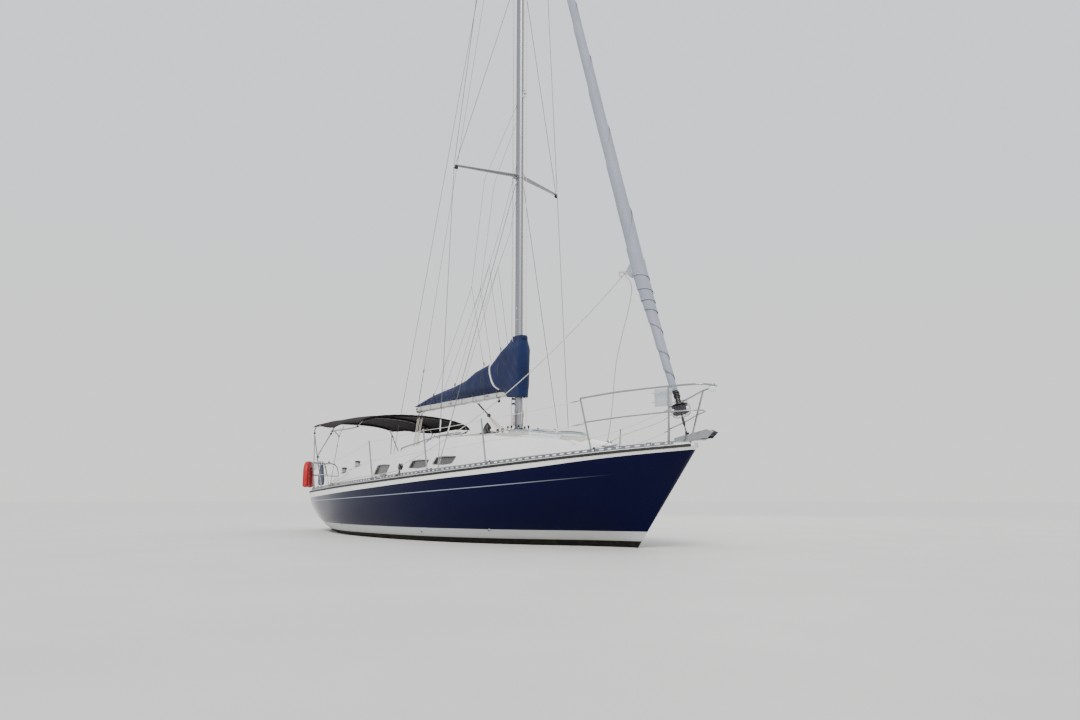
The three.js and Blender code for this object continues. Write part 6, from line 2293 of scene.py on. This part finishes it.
def sternGear():
    steel, lens, black = Shape(), Shape(), Shape()
    skin = lambda y, z: hullTree.ray_cast(Vector((-7, y, z)), Vector((1, 0, 0)))[0] or Vector((-5.09, y, z))
    # folded bathing ladder
    for side in (-1, 1):
        path = [skin(side * 0.17, z) + Vector((-0.052, 0, 0)) for z in (0.20, 0.45, 0.70, 0.86)]
        path += [skin(side * 0.17, 0.86) + Vector((-0.055, 0, 0.075)),
                 skin(side * 0.17, 0.86) + Vector((0.045, 0, 0.115))]
        steel.tube(curveThrough(path, 40), 0.0125, 12)
        for z in (0.24, 0.78):
            spot = skin(side * 0.17, z)
            steel.tube([spot + Vector((0.002, 0, 0)), spot + Vector((-0.05, 0, 0))], 0.010, 10)
            steel.turned(spot + Vector((0.003, 0, 0)), (-1, 0, 0),
                         ((0, 0.028), (0.006, 0.027), (0.008, 0.016)), 18)
    for z in (0.26, 0.40, 0.54, 0.68):
        a, b = skin(-0.17, z), skin(0.17, z)
        steel.tube([a + Vector((-0.066, 0, 0)), b + Vector((-0.066, 0, 0))], 0.0105, 10)
        black.block((a + b) / 2 + Vector((-0.068, 0, 0.004)), (0.044, 0.26, 0.016), soften=0.4)
    # exhaust, cockpit drains and bilge outlets in the transom
    for y, z, size in ((0.52, 0.14, 0.034), (-0.36, 0.20, 0.020), (0.30, 0.20, 0.020),
                       (-0.55, 0.42, 0.014)):
        spot = skin(y, z) + Vector((0.004, 0, 0))
        steel.turned(spot, (-1, 0, 0), ((0, size * 1.35), (0.006, size * 1.3), (0.010, size),
                                        (0.016, size * 0.96), (0.016, size * 0.74), (0.006, size * 0.70)),
                     24)
        black.turned(spot + Vector((0.001, 0, 0)), (-1, 0, 0), ((0, size * 0.72), (0.006, size * 0.68)), 20)
    # stern light on the pushpit
    spot = Vector((-5.008, -0.55, 1.432))
    black.block(spot, (0.030, 0.034, 0.036), soften=0.3)
    lens.turned(spot + Vector((-0.010, 0, 0.004)), upward, ((0, 0.016), (0.004, 0.019), (0.028, 0.019),
                                                            (0.032, 0.015)), 18)
    black.turned(spot + Vector((-0.010, 0, 0.034)), upward, ((0, 0.019), (0.004, 0.020), (0.008, 0.012)),
                 18)
    # skin fittings along the boot stripe
    for side in (-1, 1):
        for x, z in ((-3.55, 0.16), (-2.1, 0.19), (0.75, 0.15), (2.1, 0.20)):
            spot, normal = onSide(x, z, side)
            steel.turned(spot - normal * 0.002, normal, ((0, 0.024), (0.006, 0.022), (0.009, 0.016),
                                                         (0.009, 0.012), (0.003, 0.011)), 18)
    black.piece("stern_treads", "black")
    lens.piece("stern_lamp_lens", "lens")
    return steel.piece("stern_fittings", "steel")


def deckFittings():
    steel, black = Shape(), Shape()
    for side in (-1, 1):
        for x, half, length in ((4.10, 0.56, 0.24), (-0.30, None, 0.22), (-4.52, 0.98, 0.24)):
            half = half or skinHalf(x) - 0.10
            spot = onDeck(x, side * half)
            ahead = Vector((1, side * (skinHalf(x + 0.2) - skinHalf(x - 0.2)) / 0.4,
                            sheerAt(x + 0.5) - sheerAt(x - 0.5)))
            cleat(steel, spot, ahead, upward, length)
            screwHeads(steel, [spot + ahead.normalized() * dx * length + upBy(length * 0.03)
                               for dx in (-0.26, 0.26)], upward, 0.006)
        for x in (4.62, -4.80):
            half = skinHalf(x) - 0.055
            spot = onDeck(x, side * half)
            for dx in (-0.045, 0.045):
                steel.tube(curveThrough([spot + Vector((dx, 0, 0.004)),
                                         spot + Vector((dx * 1.1, 0, 0.035)),
                                         spot + Vector((dx * 0.5, 0, 0.052)),
                                         spot + Vector((dx * 0.25, 0, 0.044))], 12),
                           [0.012 - 0.0004 * k for k in range(12)], 10)
            steel.block(spot + upBy(0.005), (0.15, 0.040, 0.010), soften=0.45)
    for x, side, inset in ((1.55, 1, 0.24), (2.05, -1, 0.22), (-1.25, 1, 0.22), (-3.95, 1, 0.20)):
        spot = onDeck(x, side * (skinHalf(x) - inset))
        steel.turned(spot, upward, ((0, 0.042), (0.003, 0.041), (0.006, 0.036), (0.007, 0.026),
                                    (0.0055, 0.025)), 28)
        for a in (0, math.pi):
            black.turned(spot + Vector((0.014 * math.cos(a), 0.014 * math.sin(a), 0.0055)), upward,
                         ((0, 0.003), (0.0012, 0.003)), 10)
    # chain-locker lid: seam, hinges and latch
    seam = [(3.80, 0.30), (3.80, -0.30), (4.02, -0.33), (4.45, -0.20), (4.52, 0), (4.45, 0.20),
            (4.02, 0.33)]
    loop = curveThrough([(x, y, 0) for x, y in seam + seam[:1]], 90, 0.3)
    black.tube([onDeck(p.x, p.y, 0.0008) for p in loop[:-1]], 0.0042, 6, loop=True)
    for y in (-0.17, 0.17):
        spot = onDeck(3.80, y, 0.004)
        steel.block(spot, (0.075, 0.032, 0.005), soften=0.45)
        steel.tube([spot + Vector((0, -0.017, 0.004)), spot + Vector((0, 0.017, 0.004))], 0.0042, 8)
    steel.turned(onDeck(4.44, 0), upward, ((0, 0.026), (0.004, 0.025), (0.005, 0.018)), 20)
    # vents on the roof: the low cones by the mast and mushroom vents
    for y in (-0.40, 0.40):
        low = onRoof(0.93, y)
        black.turned(low, upward, ((0, 0.095), (0.010, 0.095), (0.014, 0.060), (0.050, 0.048),
                                   (0.080, 0.034), (0.100, 0.014)), 26)
    for x, y in ((3.22, 0.26), (-0.35, 0.62), (-0.35, -0.62)):
        low = onRoof(x, y)
        steel.turned(low, upward, ((0, 0.052), (0.006, 0.050), (0.010, 0.030), (0.022, 0.030),
                                   (0.024, 0.056), (0.032, 0.054), (0.044, 0.030), (0.047, 0.008)), 28)
    # grab rails along the roof
    for side in (-1, 1):
        feet = [onRoof(x, side * y) for x, y in ((-1.20, 0.80), (-0.55, 0.80), (0.10, 0.78), (0.75, 0.75))]
        path = [feet[0]] + [p + Vector((0.03 * (k == 0) - 0.03 * (k == 3), 0, 0.062)) for k,
                            p in enumerate(feet)] + [feet[-1]]
        steel.tube(curveThrough(path, 70, 0.35), 0.0125, 12)
        for p in feet[1:3]:
            steel.tube([p, p + upBy(0.06)], 0.010, 10)
        for p in feet:
            steel.turned(p - upBy(0.002), upward, ((0, 0.028), (0.005, 0.027), (0.009, 0.015)), 18)
    # hatch runners
    for side in (-1, 1):
        run = [onRoof(x, side * 0.372) for x in np.linspace(-1.88, -0.62, 20)]
        steel.rings([[p + Vector((0, dy, dz)) for dy,
                      dz in ((-0.010, 0.0), (-0.010, 0.018), (-0.006, 0.022), (0.012, 0.022),
                             (0.014, 0.018), (0.014, 0.0))] for p in run])
    black.piece("deck_plastics", "black")
    return steel.piece("deck_fittings", "steel")


def chafeSleeves():
    # pale sleeves on the shrouds, where the sheets rub
    shape = Shape()
    for name in ("cap_shroud_low", "lower_shroud"):
        for side in sides:
            foot, head = endsOf(name + "_" + side)
            way = (head - foot).normalized()
            start = foot + way * ((1.70 - foot.z) / way.z)
            rings = []
            for k in range(15):
                radius = 0.0088 + 0.0008 * math.sin(k * 1.9)
                spot = start + way * 0.17 * k / 14
                u = way.orthogonal().normalized()
                v = way.cross(u)
                rings.append([spot + (u * math.cos(a) + v * math.sin(a)) * radius for a in circle(12)])
            shape.rings(rings)
    return shape.piece("chafe_sleeves", "tape", sharp=50)


furlerGear()
bowLamps()
sternGear()
deckFittings()
chafeSleeves()
print("deck fitted out")

# cockpit
cockpit = {"seat": 0.80, "sole": 0.35, "from": -4.06, "to": -2.03, "slat": 0.046, "gap": 0.006,
           "thick": 0.008}
bulkhead = lambda y, z: roofTree.ray_cast(Vector((-3.2, y, z)),
                                          Vector((1, 0, 0)))[0] or Vector((-1.9, y, z))


def cockpitWood():
    shape = Shape()
    step = cockpit["slat"] + cockpit["gap"]
    skip = (tackle["beam"][0] - 0.075, tackle["beam"][0] + 0.075)
    for side in (-1, 1):
        for y in np.arange(0.412, 0.76, step):
            for x0, x1 in ((cockpit["from"], skip[0]), (skip[1], cockpit["to"])):
                shape.block(((x0 + x1) / 2, side * (y + cockpit["slat"] / 2),
                             cockpit["seat"] + cockpit["thick"] / 2),
                            (x1 - x0, cockpit["slat"], cockpit["thick"]), soften=0.25)
    for y in np.arange(-0.335, 0.33, step):
        shape.block(((cockpit["from"] + cockpit["to"]) / 2 - 0.02, y + cockpit["slat"] / 2,
                     cockpit["sole"] + 0.010), (1.90, cockpit["slat"], 0.012), soften=0.25)
    for x in (-3.9, -3.3, -2.7, -2.15):
        shape.block((x, 0, cockpit["sole"] + 0.003), (0.05, 0.66, 0.006), soften=0.3)
    # wooden treads on the companion's sill
    shape.block((-1.955, 0, 0.862), (0.10, 0.62, 0.014), soften=0.4)
    return shape.piece("cockpit_slats", "teak", sharp=35)


def cockpitGear():
    steel, black, face = Shape(), Shape(), Shape()
    # instruments either side of the companion
    for y, z, size in ((0.50, 1.16, 0.055), (0.66, 1.16, 0.055), (-0.56, 1.14, 0.065)):
        spot = bulkhead(y, z)
        black.turned(spot + Vector((0.004, 0, 0)), (-1, 0, 0),
                     ((0, size * 1.1), (0.012, size * 1.1), (0.020, size), (0.021, size * 0.86),
                      (0.014, size * 0.84)), 32)
        face.turned(spot + Vector((0.003, 0, 0)), (-1, 0, 0),
                    ((0, size * 0.86), (0.016, size * 0.85), (0.018, size * 0.6)), 28)
        screwHeads(steel, [spot + Vector((-0.008, dy * size * 0.98, dz * size * 0.98)) for dy,
                           dz in ((1, 0), (-1, 0))], (-1, 0, 0), 0.004)
    # engine panel, sunk in the well's side
    wall = hullTree.ray_cast(Vector((-3.0, 0, 0.60)), Vector((0, -1, 0)))[0] or Vector((-3.0, -0.38, 0.60))
    black.block(wall + Vector((0, 0.004, 0)), (0.24, 0.008, 0.16), soften=0.4)
    face.turned(wall + Vector((-0.05, 0.006, 0.02)), (0, 1, 0),
                ((0, 0.040), (0.006, 0.040), (0.008, 0.034)), 26)
    for dx in (0.02, 0.05, 0.08):
        steel.turned(wall + Vector((dx, 0.007, -0.03)), (0, 1, 0),
                     ((0, 0.010), (0.005, 0.010), (0.012, 0.006)), 14)
    steel.turned(wall + Vector((0.06, 0.007, 0.03)), (0, 1, 0),
                 ((0, 0.014), (0.004, 0.014), (0.014, 0.008), (0.016, 0.004)), 16)
    # locker lids: seams, hinges and hasps along the seats
    for side in (-1, 1):
        for x in (-3.98, -3.05, -2.55):
            black.tube([(x, side * 0.395, 0.8015), (x, side * 0.795, 0.8015)], 0.0035, 6)
        for x in (-3.7, -3.3, -2.85):
            steel.block((x, side * 0.784, 0.8105), (0.055, 0.020, 0.005), soften=0.45)
        steel.block((-3.5, side * 0.381, 0.765), (0.030, 0.008, 0.055), soften=0.4)
        eye(steel, (-3.5, side * 0.372, 0.742), (1, 0, 0), 0.009, 0.003)
        # drain grids in the sole's corners
        steel.turned((-4.0, side * 0.28, cockpit["sole"] + 0.001), upward,
                     ((0, 0.034), (0.003, 0.033), (0.004, 0.026)), 22)
        # fold-down coaming cleats beside each winch pair
        cleat(steel, onTop(-3.12, side * 0.89), (1, 0, 0), upward, 0.15)
    # companion hatch: handle and teak strips
    low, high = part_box("companion_hatch")
    hatchTree = treeOf("companion_hatch")
    lid = Shape()
    bar = [onTop(low.x + 0.06, y, 0.0, hatchTree) for y in (-0.11, 0.11)]
    lid.use(0).tube(curveThrough([bar[0], bar[0] + Vector((0, 0.004, 0.038)),
                                  bar[1] + Vector((0, -0.004, 0.038)), bar[1]], 26, 0.3), 0.0075, 10)
    for y in np.linspace(-0.26, 0.26, 9):
        a, b = onTop(low.x + 0.13, y, 0.001, hatchTree), onTop(high.x - 0.04, y, 0.001, hatchTree)
        lid.use(1).block((a + b) / 2, ((b - a).length, 0.042, 0.006), ahead=b - a, soften=0.35)
    lid.piece("companion_hatch_trim", "steel teak", "companion_hatch")
    # washboard's vent, lock and beading
    board = Shape()
    for z in (1.02, 1.045, 1.07, 1.095, 1.12):
        board.use(0).block((-1.892, 0, z), (0.010, 0.22, 0.010), ahead=(1, 0, -0.5), soften=0.4)
    board.use(1).turned((-1.888, 0, 1.33), (-1, 0, 0), ((0, 0.018), (0.006, 0.017), (0.008, 0.010)), 18)
    board.use(1).block((-1.896, 0, 1.405), (0.016, 0.05, 0.045), soften=0.4)
    board.use(0).block((-1.893, 0, 1.18), (0.012, 0.56, 0.018), soften=0.4)
    board.piece("washboard_fittings", "varnish steel")
    # tiller: head fitting, strap bolts and folding extension
    tiller = Shape()
    tiller.use(0).block((-4.30, 0, 0.992), (0.16, 0.072, 0.070), ahead=(1, 0, 0.12), soften=0.3)
    tiller.turned((-4.345, 0, 0.935), upward, ((0, 0.040), (0.05, 0.040), (0.06, 0.030), (0.11, 0.030),
                                               (0.116, 0.018)), 24)
    for x in (-4.33, -4.27):
        z = 0.992 + (x + 4.30) * 0.12
        tiller.tube([(x, -0.044, z), (x, 0.044, z)], 0.006, 10)
    run = [Vector((x, 0.0, 1.13 + (x + 3.18) * 0.124 + 0.030)) for x in (-3.26, -3.9)]
    tiller.use(1).tube(run, 0.0085, 12)
    tiller.use(2).tube([run[1].lerp(run[0], 0.02), run[1].lerp(run[0], -0.14)], 0.0135, 14)
    tiller.use(0).block(run[0] + Vector((0.01, 0, -0.010)), (0.05, 0.024, 0.026), soften=0.35)
    tiller.use(2).block(run[1].lerp(run[0], 0.2) + upBy(-0.012), (0.03, 0.028, 0.022), soften=0.3)
    tiller.piece("tiller_fittings", "steel alloy black", "rudder")
    black.piece("cockpit_plastics", "black")
    face.piece("instrument_faces", "grey")
    return steel.piece("cockpit_fittings", "steel")


def winchTops():
    # ribbed drum band, stripper ring and handle socket, turning with each drum
    for place in ("aft", "fore"):
        for side, name in bothSides:
            low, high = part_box("winch_%s_%s" % (place, name))
            foot = Vector(((low.x + high.x) / 2, (low.y + high.y) / 2, low.z))
            shape = Shape()
            for k in range(24):
                a = 2 * math.pi * k / 24
                out = Vector((math.cos(a), math.sin(a), 0))
                shape.use(0).block(foot + out * 0.0425 + upBy(0.042), (0.005, 0.0045, 0.034), ahead=out,
                                   soften=0.4)
            shape.use(1).turned(foot + upBy(0.104), upward,
                                ((0, 0.0545), (0.004, 0.0565), (0.012, 0.0565), (0.016, 0.050),
                                 (0.020, 0.046)), 36)
            shape.use(0).turned(foot + upBy(0.118), upward, ((0, 0.045), (0.005, 0.044), (0.010, 0.034),
                                                             (0.0105, 0.013), (0.004, 0.012)), 32)
            shape.use(1).turned(foot + upBy(0.119), upward, ((0, 0.0125), (0.004, 0.0115)), 8)
            for k in range(12):
                a = 2 * math.pi * k / 12
                out = Vector((math.cos(a), math.sin(a), 0))
                shape.use(1).block(foot + out * 0.0555 + upBy(0.112), (0.006, 0.008, 0.012), ahead=out,
                                   soften=0.4)
            shape.piece("winch_%s_%s_top" % (place, name), "chrome black", "winch_%s_%s" % (place, name),
                        sharp=35)


def canopyTrim():
    # web straps, hinges on the frame, end caps and the patches that take the frame's fittings
    straps, fittings, patches = Shape(), Shape(), Shape()
    for side in (-1, 1):
        joint = Vector((-3.05, side * 1.20, 1.865))
        anchor = Vector((-3.0, side * (skinHalf(-3.0) - 0.10), sheerAt(-3.0) + 0.03))
        for start in ((-3.42, side * 1.165, 2.02), (-2.86, side * 1.190, 2.055)):
            straps.strip([Vector(start), Vector(start).lerp(joint, 0.5), joint], 0.022, 0.0025,
                         (0, side, 0.1))
        straps.strip([joint, joint.lerp(anchor, 0.5), anchor], 0.022, 0.0025, (0, side, 0.1))
        fittings.use(1).block(joint, (0.045, 0.010, 0.040), soften=0.4)
        fittings.use(1).block(anchor, (0.034, 0.014, 0.05), soften=0.4)
        fittings.use(0).block(joint.lerp(anchor, 0.2), (0.040, 0.014, 0.05), soften=0.4)
        for x, z, y in ((-4.555, 1.53, 0.995), (-3.56, 1.95, 1.15), (-2.20, 2.0, 1.206),
                        (-3.42, 1.992, 1.185), (-4.925, 2.06, 0.945)):
            fittings.use(1).turned((x, side * (y + 0.018), z), (0, -side, 0),
                                   ((0, 0.017), (0.005, 0.019), (0.032, 0.019), (0.037, 0.015)), 16)
            fittings.use(0).turned((x, side * (y + 0.021), z), (0, side, 0),
                                   ((0, 0.008), (0.003, 0.007), (0.004, 0.003)), 10)
        x = -4.45
        rows = [[canopyPoint(x + dx, side * part) + Vector((0, side * 0.002, 0.0032))
                 for part in np.linspace(0.90, 0.995, 7)] for dx in np.linspace(-0.06, 0.06, 5)]
        patches.sheet(rows if side > 0 else [list(reversed(r)) for r in rows])
        spot = canopyPoint(x, side * 0.965)
        fittings.use(1).block(spot + Vector((0, side * 0.008, -0.012)), (0.060, 0.018, 0.050), soften=0.35)
        for dx in (-0.02, 0.02):
            screwHeads(fittings.use(0), [spot + Vector((dx, side * 0.018, -0.012))], (0, side, 0), 0.004)
    # leather ring where the backstay passes
    foot, head = endsOf("backstay")
    way = (head - foot).normalized()
    best = min((foot + way * run for run in np.linspace(1.2, 2.0, 200)),
               key=lambda p: abs(p.z - canopyZ(p.x, p.y)))
    for up, radii in ((0.002, (0.011, 0.040)), (-0.006, (0.011, 0.038))):
        patches.rings([[Vector((best.x + r * math.cos(a), best.y + r * math.sin(a),
                                canopyZ(best.x + r * math.cos(a), best.y + r * math.sin(a)) + up + dz))
                        for a in circle(24)] for r, dz in ((radii[0], 0.003), (radii[1], 0.002),
                                                           (radii[1], 0.0), (radii[0], 0.0),
                                                           (radii[0], 0.003))], caps=False)
    straps.piece("canopy_straps", "webbing", sharp=50)
    fittings.piece("canopy_fittings", "steel black")
    made = patches.piece("canopy_patches", "patch", sharp=50)
    thicken(made, 0.0014)
    return made


finish["patch"] = cloth("canopy_patch_cloth", tone(74, 60, 54), tone(98, 82, 74))
cockpitWood()
cockpitGear()
winchTops()
canopyTrim()
print("cockpit fitted out")


def underwater():
    shape = Shape()
    for x, y, size in ((-3.0, 0.16, 1.0), (-2.2, -0.30, 0.55), (1.3, 0.35, 0.55)):
        hit = hullTree.ray_cast(Vector((x, y, -3)), upBy(1))
        if hit[0]:
            shape.turned(hit[0] - hit[1] * 0.002, hit[1],
                         ((0, 0.055 * size), (0.012 * size, 0.052 * size), (0.020 * size, 0.036 * size),
                          (0.022 * size, 0.010 * size)), 24, 0.6)
    return shape.piece("hull_anodes", "alloy")


underwater()
